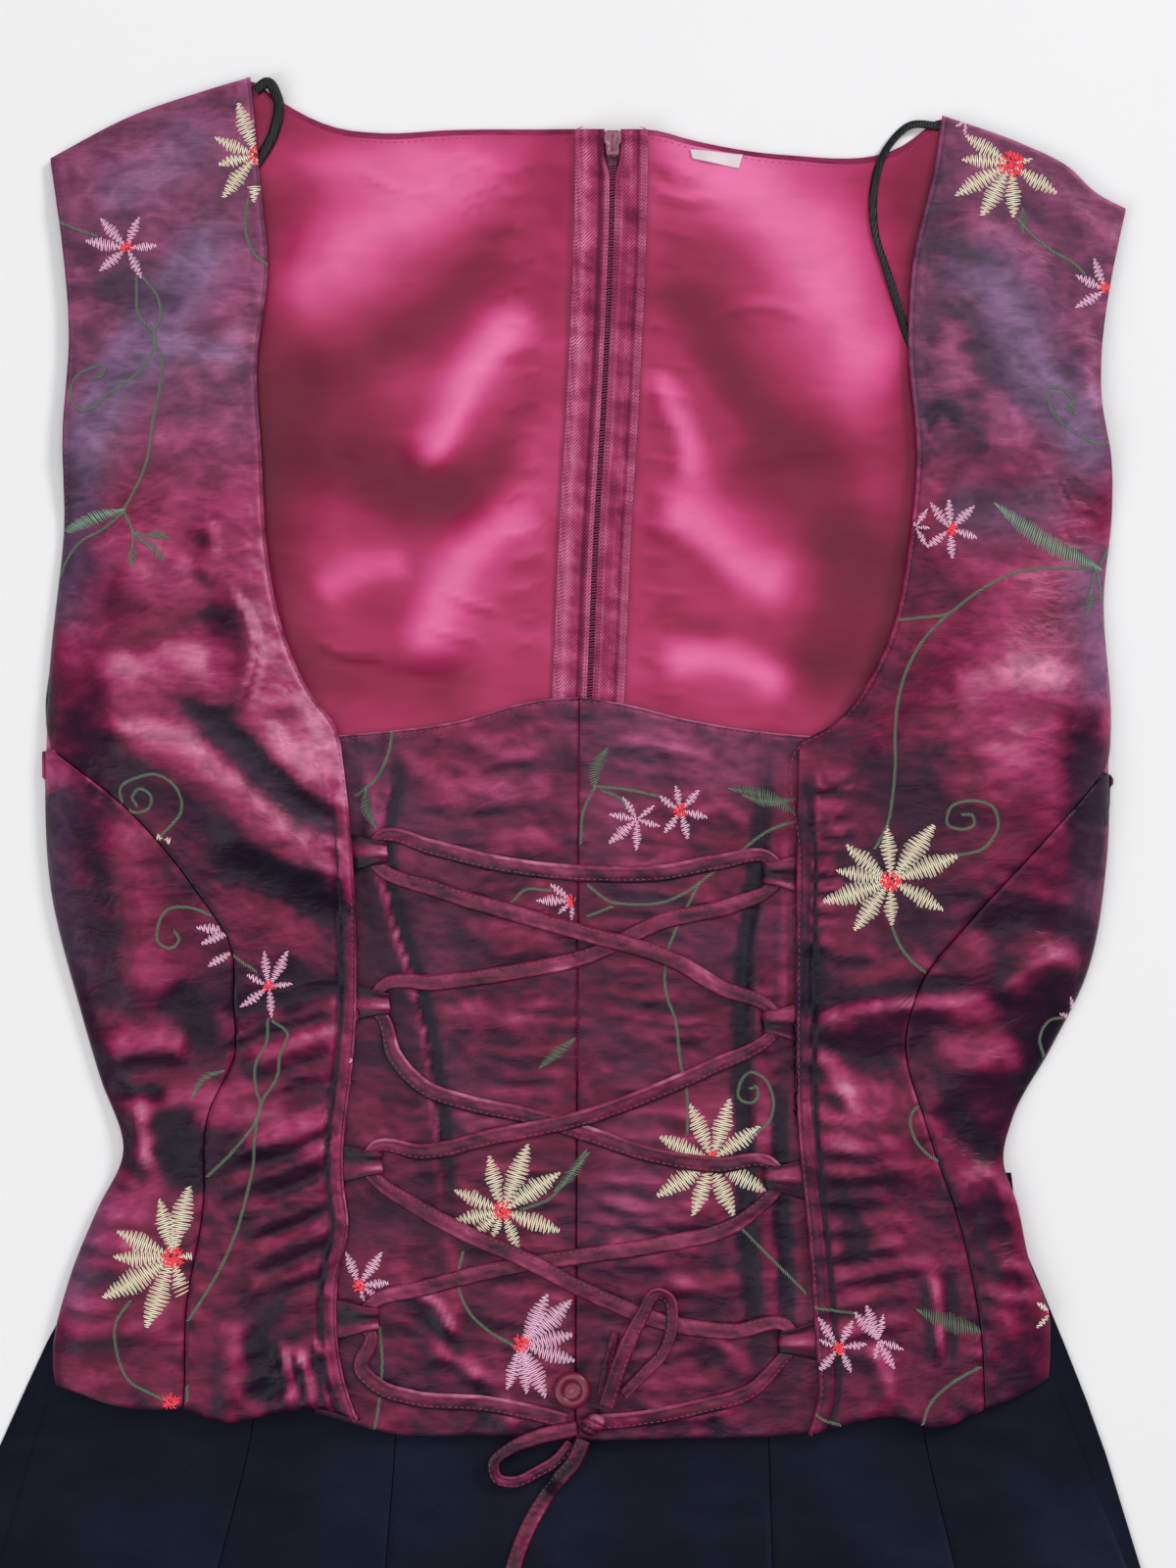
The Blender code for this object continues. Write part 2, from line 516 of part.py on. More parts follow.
def build_slider(made):
    """The slider: a plate inside, and a bridge outside that holds the pull's bar."""
    x = float(zip_x(SLIDER_Y))
    wide, long, thick = SLIDER_SIZE
    plate_low = POCKET * 1.3 + TAPE_Z + LINING + LAY
    block = bmesh.new()
    bmesh.ops.create_cube(block, size=1)
    for vertex in block.verts:
        narrow = 0.72 if vertex.co.y < 0 else 1.0
        vertex.co = (vertex.co.x * wide * narrow * MM, vertex.co.y * long * MM,
                     (plate_low + (vertex.co.z + 0.5) * thick) * MM)
    bmesh.ops.bevel(block, geom=block.edges[:], offset=0.7 * MM, segments=2, profile=0.5, affect="EDGES")
    mesh = bpy.data.meshes.new("zip_slider")
    block.to_mesh(mesh)
    block.free()
    mesh.shade_smooth()
    slider = made.add("zip_slider", mesh, "slider_paint", at=(x, SLIDER_Y, 0))
    # The bridge's side view: a strap down past the bar and up again, with a window for the bar.
    deep = plate_low + 0.5 * thick
    frame = [(-2.7, 0.15), (2.7, 0.15), (2.7, deep), (-2.7, deep)]
    window = [(-2.0, 0.75), (2.0, 0.75), (2.0, 2.2), (-2.0, 2.2)]
    curve = outline("slider_bridge", [frame, window], 0.8)
    guide = bpy.data.objects.new("slider_bridge_curve", curve)
    made.helpers.objects.link(guide)
    solid = bpy.data.meshes.new_from_object(guide.evaluated_get(bpy.context.evaluated_depsgraph_get()))
    weld = bmesh.new()
    weld.from_mesh(solid)
    bmesh.ops.remove_doubles(weld, verts=weld.verts, dist=1e-6)
    bmesh.ops.recalc_face_normals(weld, faces=weld.faces)
    weld.to_mesh(solid)
    weld.free()
    bpy.data.objects.remove(guide)
    bridge = bpy.data.objects.new("slider_bridge", solid)
    made.helpers.objects.link(bridge)
    bridge.parent = made.carrier
    # The outline's own x and y become the slider's length and height.
    bridge.location = (x * MM, SLIDER_Y * MM, 0)
    bridge.rotation_euler = (math.pi / 2, 0, math.pi / 2)
    bridge.hide_render = True
    bridge.display_type = "WIRE"
    bridge.hide_set(True)
    union = slider.modifiers.new("bridge", "BOOLEAN")
    union.operation = "UNION"
    union.object = bridge
    build_pull(made, x)


def build_pull(made, x):
    """The pull: a flat drop with a slot, whose top bar runs through the slider's bridge."""
    half = PULL_WIDTH / 2
    drop = [(-2.3, 0.4), (2.3, 0.4), (2.3, -6), (half, -8), (half, -PULL_LENGTH + 2.5)]
    drop += [(half * math.cos(a), -PULL_LENGTH + 2.5 - 2.5 * math.sin(a)) for a in np.linspace(0.4, 2.74, 6)]
    drop += [(-half, -PULL_LENGTH + 2.5), (-half, -8), (-2.3, -6)]
    slot = [(-1.4, -0.4), (1.4, -0.4), (1.4, -4.6), (-1.4, -4.6)]
    curve = outline("zip_pull", [drop, slot], PULL_THICKNESS / 2)
    made.add("zip_pull", curve, "slider_paint", at=(x, SLIDER_Y, PULL_AXIS_Z))


def build_trims(made):
    """The neck label and the two hanging loops."""
    label_plan = fill(smooth([(44, 265), (64, 260.5)], even(2)), smooth([(64, 260.5), (65.8, 267)], even(1)),
                      smooth([(43, 269.5), (65.8, 267)], even(2)), smooth([(44, 265), (43, 269.5)], even(1)), even(2))
    label_up = np.array([[lining_z(x, y) + LINING + 0.7 for x, y in column] for column in label_plan])
    surface(made, "neck_label", np.dstack([label_plan, label_up]), LINING, "label_satin")
    routes = {
        "hanger_loop_left": [(-141, 294), (-136, 297.5), (-131.5, 290), (-133, 277), (-140, 264), (-147, 255)],
        "hanger_loop_right": [(149, 279), (137, 279.5), (127, 270), (121, 250), (122, 233), (127, 217), (131, 204),
                              (137, 186), (146, 172)],
    }
    for name, route in routes.items():
        lay = LINING + LAY + 1.1
        path = [(x, y, float(lining_z(x, y)) + lay) for x, y in route]
        ribbon(made, name, path, [4, 4], 1.0, "hanger_tape", 18)


def build_loops(made):
    """Folded bands that come out from under the fronts' edges; each makes an eye for the lace."""
    tall = 3.8
    tip = [(8 + 5.5 * math.sin(a), tall / 2 - tall / 2 * math.cos(a)) for a in np.linspace(0, math.pi, 7)]
    band = [(-5, 0)] + tip + [(0, 1.9), (-5, 1.9)]
    eye = [(EYE_REACH + 4.2 * math.cos(a), tall / 2 + 0.95 * math.sin(a))
           for a in np.linspace(0, 2 * math.pi, 10, endpoint=False)]
    for side, eyes, turned in (("left", EYES_LEFT, 0), ("right", EYES_RIGHT, math.pi)):
        for number, (x, y) in enumerate(eyes, 1):
            away = EYE_REACH if side == "left" else -EYE_REACH
            at = (x - away, y, float(over_skirt(y)) + INSERT_TOP + LAY)
            curve = outline("lace_loop", [band, eye], LOOP_WIDTH / 2)
            made.add(f"lace_loop_{side}_{number}", curve, "taffeta", at=at, turn=(math.pi / 2, 0, turned))


def lace_route():
    """The lace from the knot round the eyes and back: (x, y, z, width), all heights above the insert's stack."""
    eye_z = INSERT_TOP + LAY + 1.9
    crossings = {  # where the lace bends between two eyes, and whether it lies over or under
        ("knot", "R4"): [(20, -268.5, UNDER), (48, -263, UNDER), (68, -257, UNDER)],
        ("R4", "L3"): [(62, -231, OVER), (35, -228, OVER + 0.6), (0, -214.5, OVER + 1.1), (-27, -200.5, OVER + 1.1),
                       (-51, -190, OVER + 0.7), (-70, -180, OVER)],
        ("L3", "R2"): [(-70, -155.5, OVER), (-42, -149.5, OVER + 0.6), (0, -140.5, OVER + 1.2),
                       (24, -132, OVER + 1.1), (52, -120, OVER)],
        ("R2", "L1"): [(56, -86, OVER), (37, -75, OVER + 0.6), (0, -63.5, OVER + 1.1), (-34, -54, OVER + 0.7),
                       (-66, -44, OVER)],
        ("L1", "R1"): [(-66, -27, UNDER), (-42, -33, UNDER), (0, -38, UNDER), (33, -37.5, UNDER), (56, -33, UNDER)],
        ("R1", "L2"): [(62, -51, UNDER), (32, -58, UNDER), (0, -72.5, UNDER), (-34, -80, UNDER), (-64, -84, UNDER)],
        ("L2", "R3"): [(-82, -115, UNDER + 0.3), (-70, -128, UNDER + 0.7), (-51, -135, UNDER + 0.9),
                       (-27, -140, UNDER + 0.8), (0, -148, UNDER + 0.5), (24, -156, UNDER), (54, -161, UNDER)],
        ("R3", "L4"): [(62, -186, UNDER), (28, -195, UNDER), (0, -199, UNDER), (-27, -203, UNDER),
                       (-51, -208, UNDER), (-70, -213, UNDER)],
        ("L4", "knot"): [(-96, -247, UNDER), (-88, -255, UNDER), (-74, -259.5, UNDER), (-43, -262, UNDER),
                         (-20, -266.5, UNDER), (-9, -269.5, UNDER)],
    }
    order = ["knot", "R4", "L3", "R2", "L1", "R1", "L2", "R3", "L4", "knot"]
    upward = ("R4", "L3", "R2", "L1")
    eyes = {f"L{n}": at for n, at in enumerate(EYES_LEFT, 1)}
    eyes.update({f"R{n}": at for n, at in enumerate(EYES_RIGHT, 1)})
    route = []
    for start, end in zip(order, order[1:]):
        route += [(x, y, z + float(over_skirt(y)), LACE_WIDTH) for x, y, z in crossings[start, end]]
        if end in eyes:
            x, y = eyes[end]
            inwards = 5 if x < 0 else -5
            way = 1 if end in upward else -1
            z = eye_z + float(over_skirt(y))
            route += [(x + inwards, y - way * 10, z, 5), (x, y - way * 5.6, z, LACE_IN_EYE),
                      (x, y + way * 5.6, z, LACE_IN_EYE), (x + inwards, y + way * 10, z, 5)]
    return route


def build_lace(made):
    """One flat lace through the eight eyes, its bow and its two ends."""
    route = lace_route()
    start = np.array(route)
    gone = np.r_[0, np.cumsum(np.linalg.norm(np.diff(start[:, :3], axis=0), axis=1))]
    count = 145
    widths = np.interp(even(count) * gone[-1], gone, start[:, 3])
    ribbon(made, "lace", start[:, :3], widths, LACE_THICKNESS, "taffeta", count)
    x, y = KNOT_AT
    base = float(over_skirt(y)) + INSERT_TOP
    knot = bmesh.new()
    bmesh.ops.create_uvsphere(knot, u_segments=12, v_segments=8, radius=1)
    for vertex in knot.verts:
        vertex.co = (vertex.co.x * 5.5 * MM, vertex.co.y * 4.2 * MM, vertex.co.z * 3.4 * MM)
    mesh = bpy.data.meshes.new("bow_knot")
    knot.to_mesh(mesh)
    knot.free()
    mesh.shade_smooth()
    made.add("bow_knot", mesh, "taffeta", at=(x, y, base + 5.2), turn=(0, 0, 0.5))
    bow = {
        "bow_loop_right": ([(7.5, -262.5, 7.2), (15, -240, 8.2), (22.5, -224, 8.4), (29, -214.5, 7.4),
                            (34, -217, 5.3), (35.5, -224, 4.4), (32, -239, 4.2), (22.5, -249.5, 4.0),
                            (14.5, -258, 3.8)], [7, 7, 7, 6, 5, 5, 5, 5, 5]),
        "bow_loop_left": ([(-4.5, -271.8, 3.2), (-22.5, -276, 2.6), (-33, -280.5, 2.2), (-40, -287, 0.8),
                           (-38.5, -294, -1.2), (-31, -295.5, -1.6), (-22, -291.5, -1.4), (-13, -286, -1),
                           (-7, -278.5, 0.6)], [6, 6.5, 6, 5, 5, 5, 5, 5, 5]),
        "lace_tail_short": ([(5.5, -259, 0.9), (7.2, -250, 0.8), (9.5, -240, 0.8), (11.5, -231.5, 0.8)],
                            [4, 4, 4, 3.6]),
    }
    for name, (points, widths) in bow.items():
        path = [(px, py, base + rise) for px, py, rise in points]
        ribbon(made, name, path, widths, LACE_THICKNESS, "taffeta", 22)
    tail = [(-2, -276.5, base + 4.2), (-6, -285.5, base + 3.6), (-12, -293, base + 1.6), (-18, -302, None),
            (-24, -312, None), (-28.5, -322, None), (-32, -333, None), (-36, -352, None), (-35, -372, None),
            (-28, -392, None), (-26, -408, None)]
    path = [(px, py, pz if pz is not None else float(skirt_front_z(px, py)) + TWILL + 1.4) for px, py, pz in tail]
    ribbon(made, "lace_tail_long", path, [6.5, 7], LACE_THICKNESS, "taffeta", 36)


def build_button(made):
    """A round button with a raised rim and a dished middle."""
    profile = [(0, 2.2), (3.6, 2.2), (5.0, 3.0), (6.6, 3.2), (BUTTON_RADIUS - 0.2, 2.6), (BUTTON_RADIUS, 1.6),
               (BUTTON_RADIUS - 0.8, 0.5), (4, 0), (0, 0)]
    line = bmesh.new()
    ring = [line.verts.new((r * MM, 0, z * MM)) for r, z in profile]
    for start, end in zip(ring, ring[1:]):
        line.edges.new((start, end))
    mesh = bpy.data.meshes.new("button")
    line.to_mesh(mesh)
    line.free()
    x, y = BUTTON_AT
    obj = made.add("button", mesh, "button_plastic", at=(x, y, float(over_skirt(y)) + INSERT_TOP + LAY))
    turned = obj.modifiers.new("turned", "SCREW")
    turned.steps = turned.render_steps = 28
    turned.use_merge_vertices = True
    turned.merge_threshold = 0.00001
    turned.use_smooth_shade = True


# ---------------------------------------------------------------- the skirt

SKIRT_ROWS = 16


def hem_y(x):
    """The skirt's rounded hem."""
    return HEM_DROP + 37 * (abs(x + 31) / 490) ** 2


def gore(made, name, left, right, height, columns):
    """One gore between two seams, from the waistband down to the rounded hem."""
    start, end = smooth(left[::-1], even(SKIRT_ROWS)), smooth(right[::-1], even(SKIRT_ROWS))
    at = even(columns)
    start[0, 1], end[0, 1] = hem_y(start[0, 0]), hem_y(end[0, 0])
    low = np.array([(x, hem_y(x)) for x in np.interp(at, [0, 1], [start[0, 0], end[0, 0]])])
    high = smooth([start[-1], end[-1]], at)
    panel(made, name, low, end, high, start, at, height, TWILL, "skirt_twill")


def build_skirt(made):
    """A waistband, five front gores in flutes and four flat back gores a little wider than the front."""
    fronts = ["skirt_side_left", "skirt_front_left", "skirt_front_centre", "skirt_front_right", "skirt_side_right"]
    for name, left, right in zip(fronts, SKIRT_LINES, SKIRT_LINES[1:]):
        gore(made, name, left, right, skirt_front_z, 4)
    halves = [0.27, 0.5, 0.73]
    lines = [SKIRT_BACK_EDGES[0]]
    for share in halves:
        top = SKIRT_BACK_EDGES[0][0][0] * (1 - share) + SKIRT_BACK_EDGES[1][0][0] * share
        foot = SKIRT_BACK_EDGES[0][-1][0] * (1 - share) + SKIRT_BACK_EDGES[1][-1][0] * share
        lines.append([(top, WAIST_SEAM), (foot, hem_y(foot))])
    lines.append(SKIRT_BACK_EDGES[1])
    backs = ["skirt_back_far_left", "skirt_back_left", "skirt_back_right", "skirt_back_far_right"]
    for name, left, right in zip(backs, lines, lines[1:]):
        gore(made, name, left, right, lambda x, y: 0.0, 4)
    for name, left, right, z in (("waistband_back", -203, 183, 0.0), ("waistband_front", -195, 177, SKIRT_FRONT_Z)):
        low, high = WAIST_SEAM + SEAM_GAP, WAIST_TOP
        at = even(6)
        panel(made, name, smooth([(left, low), (right, low)], at), smooth([(right, low), (right - 3, high)], even(1)),
              smooth([(left + 3, high), (right - 3, high)], at), smooth([(left, low), (left + 3, high)], even(1)),
              at, lambda x, y, z=z: z, TWILL, "skirt_twill")


def main():
    clear_scene()
    made = Set()
    build_skirt(made)
    build_back(made)
    build_back_lining(made)
    build_zip(made)
    build_insert(made)
    build_fronts(made)
    build_trims(made)
    build_loops(made)
    build_lace(made)
    build_button(made)


main()
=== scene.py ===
"""The looks of a folk costume laid flat: a laced bodice of embroidered shot taffeta on top of a long gored skirt.

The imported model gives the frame. Every length here is in millimetres in the plan of the laid-out set: x to the
right, y towards the shoulders and z up from the surface. The plan's zero is the middle of the bodice's front,
and it is found in the frame from the button. Each layer of cloth is a height over the plan, so that stitches,
lace and embroidery can ask where the cloth is.
"""

import logging
import math
from dataclasses import dataclass, field
from enum import Enum
from typing import Callable, Iterable, Sequence

import bpy
import numpy as np
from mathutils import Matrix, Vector


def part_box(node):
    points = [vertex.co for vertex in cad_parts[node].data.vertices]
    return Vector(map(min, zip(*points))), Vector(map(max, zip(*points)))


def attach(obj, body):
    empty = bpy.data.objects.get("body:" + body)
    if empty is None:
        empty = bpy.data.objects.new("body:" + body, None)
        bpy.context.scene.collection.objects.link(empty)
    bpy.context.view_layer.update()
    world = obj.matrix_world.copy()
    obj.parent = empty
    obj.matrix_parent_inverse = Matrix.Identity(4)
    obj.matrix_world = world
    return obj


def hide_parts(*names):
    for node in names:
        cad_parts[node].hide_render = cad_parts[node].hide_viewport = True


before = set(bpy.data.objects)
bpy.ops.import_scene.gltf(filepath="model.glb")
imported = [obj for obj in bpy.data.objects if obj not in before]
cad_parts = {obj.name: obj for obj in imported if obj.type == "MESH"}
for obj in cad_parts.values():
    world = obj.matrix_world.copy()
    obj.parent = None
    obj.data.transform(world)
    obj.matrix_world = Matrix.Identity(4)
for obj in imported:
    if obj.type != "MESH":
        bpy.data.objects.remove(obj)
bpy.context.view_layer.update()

log = logging.getLogger("bunad")
Array = np.ndarray
Point = tuple[float, float]
Line = Sequence[Point]
Height = Callable[[Array, Array], Array]

MM = 0.001

# ---------------------------------------------------------------- sizes shared with the solids, in mm

TAFFETA = 1.2  # a panel with its turned edges and interlining
LINING = 1.0
TWILL = 1.0
SEAM_GAP = 0.2
LAY = 0.3
LINING_Z = TAFFETA + LAY
TAPE_Z = LINING_Z + LINING + 2 * LAY
INSERT_Z = 5.0
INSERT_TOP = INSERT_Z + TAFFETA
FRONT_Z = 8.8
SKIRT_FRONT_Z = TWILL + LAY
SKIRT_STACK = SKIRT_FRONT_Z + TWILL + 0.6
POCKET = 2.8
SLIDER_Y = 271
BUTTON_AT = (-6.7, -256)
KNOT_AT = (2, -270)
WAIST_TOP = -165
WAIST_SEAM = -193
HEM_DROP = -975

SIDE_LEFT_LOW = [(-226, -254.6), (-227, -245), (-220, -210), (-208, -180), (-197, -156), (-207, -125),
                 (-216, -94), (-228, -45), (-230.5, 10), (-230.6, 14)]
SIDE_LEFT_HIGH = [(-227.4, 15), (-230, 26), (-228, 55), (-222.5, 110), (-222.5, 150), (-220, 190), (-223, 229),
                  (-228.3, 265.4)]
SIDE_RIGHT_LOW = [(195.4, -251.7), (196, -240), (195, -222), (188, -205), (182, -178), (176, -158), (180, -142),
                  (196, -113), (212, -80), (220, -35), (222, 4)]
SIDE_RIGHT_HIGH = [(218.8, 5), (221.6, 15), (222, 25), (219, 80), (222.5, 115), (222, 135), (217.5, 165),
                   (217.5, 180), (222, 215), (228.3, 244)]
SHOULDER_LEFT = [(-228.3, 265.4), (-194, 283.3), (-162.5, 294.2), (-143, 300)]
SHOULDER_RIGHT = [(150, 283.8), (183.3, 272), (204, 261.7), (215.4, 251), (228.3, 244)]
NECK_LEFT = [(-104, 17), (-106, 24), (-116, 37.5), (-130.4, 72.5), (-134.6, 95), (-138, 142), (-140, 174),
             (-135.4, 223), (-137.5, 244), (-143, 300)]
NECK_RIGHT = [(89, 18), (102, 24.6), (124, 55), (136, 106), (138.8, 135), (135.4, 190), (137.5, 221.7),
              (146.7, 261.7), (150, 283.8)]
LACING_LEFT = [(-97, -269), (-103, -250), (-105, -207), (-101, -187.5), (-103, -167), (-98, -100), (-98, -52.5),
               (-99.6, -23), (-104, 17)]
LACING_RIGHT = [(92.5, -275), (97, -257.5), (96, -238), (92.5, -190), (88.3, -148), (87.5, -84.6), (88, -32.5),
                (89, 18)]
PRINCESS_LEFT = [(-171, -264), (-170.4, -256), (-169.6, -222.5), (-162.5, -180), (-160, -139), (-149, -113),
                 (-149.6, -92.5), (-150, -70), (-164, -46), (-194, -10), (-227.4, 15)]
PRINCESS_RIGHT = [(167.5, -264), (166, -234), (158, -190), (143, -145), (134, -107), (140, -84.6), (161, -57.5),
                  (188, -28), (218.8, 5)]
HEM_SIDE_LEFT = [(-226, -254.6), (-192.5, -264), (-171, -264)]
HEM_FRONT_LEFT = [(-171, -264), (-150, -269.6), (-138, -267), (-113, -264), (-97, -269)]
HEM_FRONT_RIGHT = [(92.5, -275), (112, -270), (124, -267), (149, -271.7), (167.5, -264)]
HEM_SIDE_RIGHT = [(167.5, -264), (181, -259), (195.4, -251.7)]
HEM_BACK_LEFT = [(-226, -254.6), (-171, -260), (-97, -264), (-2, -268)]
HEM_BACK_RIGHT = [(-2, -268), (92.5, -268), (149, -265), (195.4, -251.7)]
INSERT_TOP_LEFT = [(-116, 20), (-104, 21), (-59, 26), (-19, 36), (-3.8, 37)]
INSERT_TOP_RIGHT = [(-3.8, 37), (16, 34), (40, 28), (80, 21.7), (103, 20)]
INSERT_HEM_LEFT = [(-116, -266), (-84, -275), (-38, -276), (-5.4, -278)]
INSERT_HEM_RIGHT = [(-5.4, -278), (48, -277), (91, -275), (107, -272)]
CENTRE_SEAM = [(-5.4, -278), (-3.8, 37)]
NECK_BACK_LEFT = [(-143, 300), (-130, 290), (-107, 279), (-87.5, 276.7), (-59, 278), (7.2, 278)]
NECK_BACK_RIGHT = [(13.6, 278), (29, 277.5), (43, 274), (83, 267.5), (131, 270), (150, 283.8)]
LINING_TOP_LEFT = [(-156, 292), (-143, 297), (-130, 287.5), (-107, 276.5), (-87.5, 274), (-59, 275.5),
                   (6.4, 275.5)]
LINING_TOP_RIGHT = [(14.4, 275), (29, 275), (43, 271.5), (83, 265), (131, 267.5), (148, 280), (162, 277)]
LINING_SIDE_LEFT = [(-120, -5), (-146, 72), (-150, 142), (-150, 223), (-156, 292)]
LINING_SIDE_RIGHT = [(112, -5), (137, 55), (151, 135), (150, 190), (152, 222), (162, 277)]
LINING_LOW_LEFT = [(-120, -5), (-4.5, -5)]
LINING_LOW_RIGHT = [(3.5, -5), (112, -5)]
LINING_MIDDLE_LEFT = [(-4.5, -5), (-0.8, 103), (3, 167), (5.6, 240), (6.4, 275.5)]
LINING_MIDDLE_RIGHT = [(3.5, -5), (7.4, 103), (11, 167), (14, 240), (14.4, 275)]
ZIP_LINE = [(-2, -122), (-1.6, -5), (0.8, 42.5), (3.3, 103), (7, 167), (10.4, 267), (10.4, 277)]
TAPE_REACH = (-16, 15)

EYES_LEFT = [(-91, -29), (-90, -92), (-93, -160), (-94.5, -226)]
EYES_RIGHT = [(79.6, -38), (79.4, -101), (80.2, -167), (86.2, -235)]
LACE_WIDTH = 7
LACE_IN_EYE = 4.0
LACE_THICKNESS = 0.9
UNDER = INSERT_TOP + 0.5 + LACE_THICKNESS / 2
OVER = INSERT_TOP + 1.9

SKIRT_LINES = [
    [(-196, WAIST_SEAM), (-214, -229), (-226, -255), (-248, -323), (-360, -575), (-450, -790), (-512, -938)],
    [(-139, WAIST_SEAM), (-142.5, -273), (-157, -333), (-306, -962)],
    [(-80, WAIST_SEAM), (-81.7, -277), (-86, -333), (-140, -974)],
    [(72, WAIST_SEAM), (76.7, -277), (78.5, -333), (118, -974)],
    [(134, WAIST_SEAM), (142, -272), (156, -333), (285, -962)],
    [(178, WAIST_SEAM), (190, -229), (197.5, -251), (227, -327), (300, -520), (390, -765), (450, -943)],
]
SKIRT_BACK_EDGES = [
    [(-205, WAIST_SEAM), (-226, -229), (-250, -281), (-283, -350), (-375, -565), (-465, -785), (-530, -935)],
    [(184, WAIST_SEAM), (199, -229), (219, -281), (234, -330), (305, -510), (395, -755), (462, -940)],
]


# ---------------------------------------------------------------- lines

def even(count: int) -> Array:
    """Fractions that divide a line into count equal steps."""
    return np.linspace(0, 1, count + 1)


def gone_along(line: Array) -> Array:
    """The distance gone along a line of points, at each of them."""
    return np.r_[0, np.cumsum(np.linalg.norm(np.diff(line, axis=0), axis=1))]


def smooth(points: Sequence[Sequence[float]], at: Array) -> Array:
    """Points of a smooth line through the given ones.

    Args:
        points: the points that the line passes, with two or three coordinates.
        at: fractions of the line's length.

    Returns:
        One row for each fraction.
    """
    given = np.array(points, float)
    steps = np.diff(given, axis=0)
    length = np.linalg.norm(steps, axis=1)
    slope = steps / length[:, None]
    middle = slope[1:] * length[:-1, None] + slope[:-1] * length[1:, None]
    middle = middle / (length[1:] + length[:-1])[:, None]
    tangent = np.vstack([slope[:1], middle, slope[-1:]])
    t = np.linspace(0, 1, 13)[1:, None]
    line = [given[:1]]
    for i, run in enumerate(length):
        line.append((2 * t**3 - 3 * t**2 + 1) * given[i] + (t**3 - 2 * t**2 + t) * run * tangent[i]
                    + (3 * t**2 - 2 * t**3) * given[i + 1] + (t**3 - t**2) * run * tangent[i + 1])
    line = np.vstack(line)
    gone = gone_along(line)
    return np.column_stack([np.interp(np.asarray(at) * gone[-1], gone, column) for column in line.T])


def spaced(points: Sequence[Sequence[float]], pitch: float) -> Array:
    """Points of the smooth line through points, about pitch mm apart."""
    fine = smooth(points, even(200))
    return smooth(points, even(max(2, round(length_of(fine) / pitch))))


def length_of(line: Array) -> float:
    """The length of a line of points."""
    return float(np.linalg.norm(np.diff(line, axis=0), axis=1).sum())


def step(low: float, high: float, value: Array) -> Array:
    """A soft step from 0 at low to 1 at high."""
    t = np.clip((value - low) / (high - low), 0, 1)
    return t * t * (3 - 2 * t)


def across(points: Line, y: Array) -> Array:
    """The x of an outline that runs up the plan, at height y."""
    line = smooth(points, even(60))
    return np.interp(y, line[:, 1], line[:, 0])


def left_of(line: Array) -> Array:
    """The unit direction to the left of a line in the plan, at each of its points."""
    run = np.gradient(line[:, :2], axis=0)
    return np.column_stack([-run[:, 1], run[:, 0]]) / np.maximum(np.linalg.norm(run, axis=1), 1e-9)[:, None]


def measure(line: Array, x: Array, y: Array) -> tuple[Array, Array]:
    """How points lie beside a line in the plan.

    Args:
        line: the line's points.
        x: across the plan.
        y: up the plan.

    Returns:
        The distance from the line, above 0 on its left, and how far along the line, in mm.
    """
    best = np.full(np.shape(x), 1e12)
    side = np.zeros(np.shape(x))
    along = np.zeros(np.shape(x))
    gone = 0.0
    for (ax, ay), (bx, by) in zip(line[:-1, :2], line[1:, :2]):
        run = math.hypot(bx - ax, by - ay)
        ux, uy = (bx - ax) / run, (by - ay) / run
        t = np.clip((x - ax) * ux + (y - ay) * uy, 0, run)
        dx, dy = x - ax - t * ux, y - ay - t * uy
        off = dx * dx + dy * dy
        nearer = off < best
        best = np.where(nearer, off, best)
        side = np.where(nearer, ux * dy - uy * dx, side)
        along = np.where(nearer, gone + t, along)
        gone += run
    return np.sqrt(best) * np.where(side >= 0, 1, -1), along


def within(outline: Array, x: Array, y: Array) -> Array:
    """Whether points of the plan are inside a closed outline."""
    inside = np.zeros(np.shape(x), bool)
    for (ax, ay), (bx, by) in zip(outline, np.roll(outline, -1, axis=0)):
        if ay == by:
            continue
        inside ^= ((ay > y) != (by > y)) & (x < (bx - ax) * (y - ay) / (by - ay) + ax)
    return inside


class Noise:
    """Smooth gradient noise over the plan, the same each run."""

    SIZE = 128

    def __init__(self, seed: int) -> None:
        """Draw the lattice.

        Args:
            seed: the seed of the draw.
        """
        angle = np.random.default_rng(seed).uniform(0, 2 * np.pi, (self.SIZE, self.SIZE))
        self.lattice = np.stack([np.cos(angle), np.sin(angle)])

    def __call__(self, x: Array, y: Array) -> Array:
        """The noise, from about -0.7 to 0.7, with waves about 1 long."""
        x, y = np.broadcast_arrays(np.asarray(x, float), np.asarray(y, float))
        left, low = np.floor(x).astype(int), np.floor(y).astype(int)
        u, v = x - left, y - low
        total = 0.0
        for i in (0, 1):
            for j in (0, 1):
                gx, gy = self.lattice[:, (left + i) % self.SIZE, (low + j) % self.SIZE]
                weight = (1 - abs(step(0, 1, u) - i)) * (1 - abs(step(0, 1, v) - j))
                total = total + weight * (gx * (u - i) + gy * (v - j))
        return total

    def crisp(self, x: Array, y: Array) -> Array:
        """Narrow crests and round troughs, as stiff silk crumples, from about -0.5 to 0.5."""
        return 0.42 - 1.6 * np.sqrt(self(x, y) ** 2 + 0.0016)


CRUMPLE = Noise(7)
RIPPLE = Noise(23)
DRIFT = Noise(41)


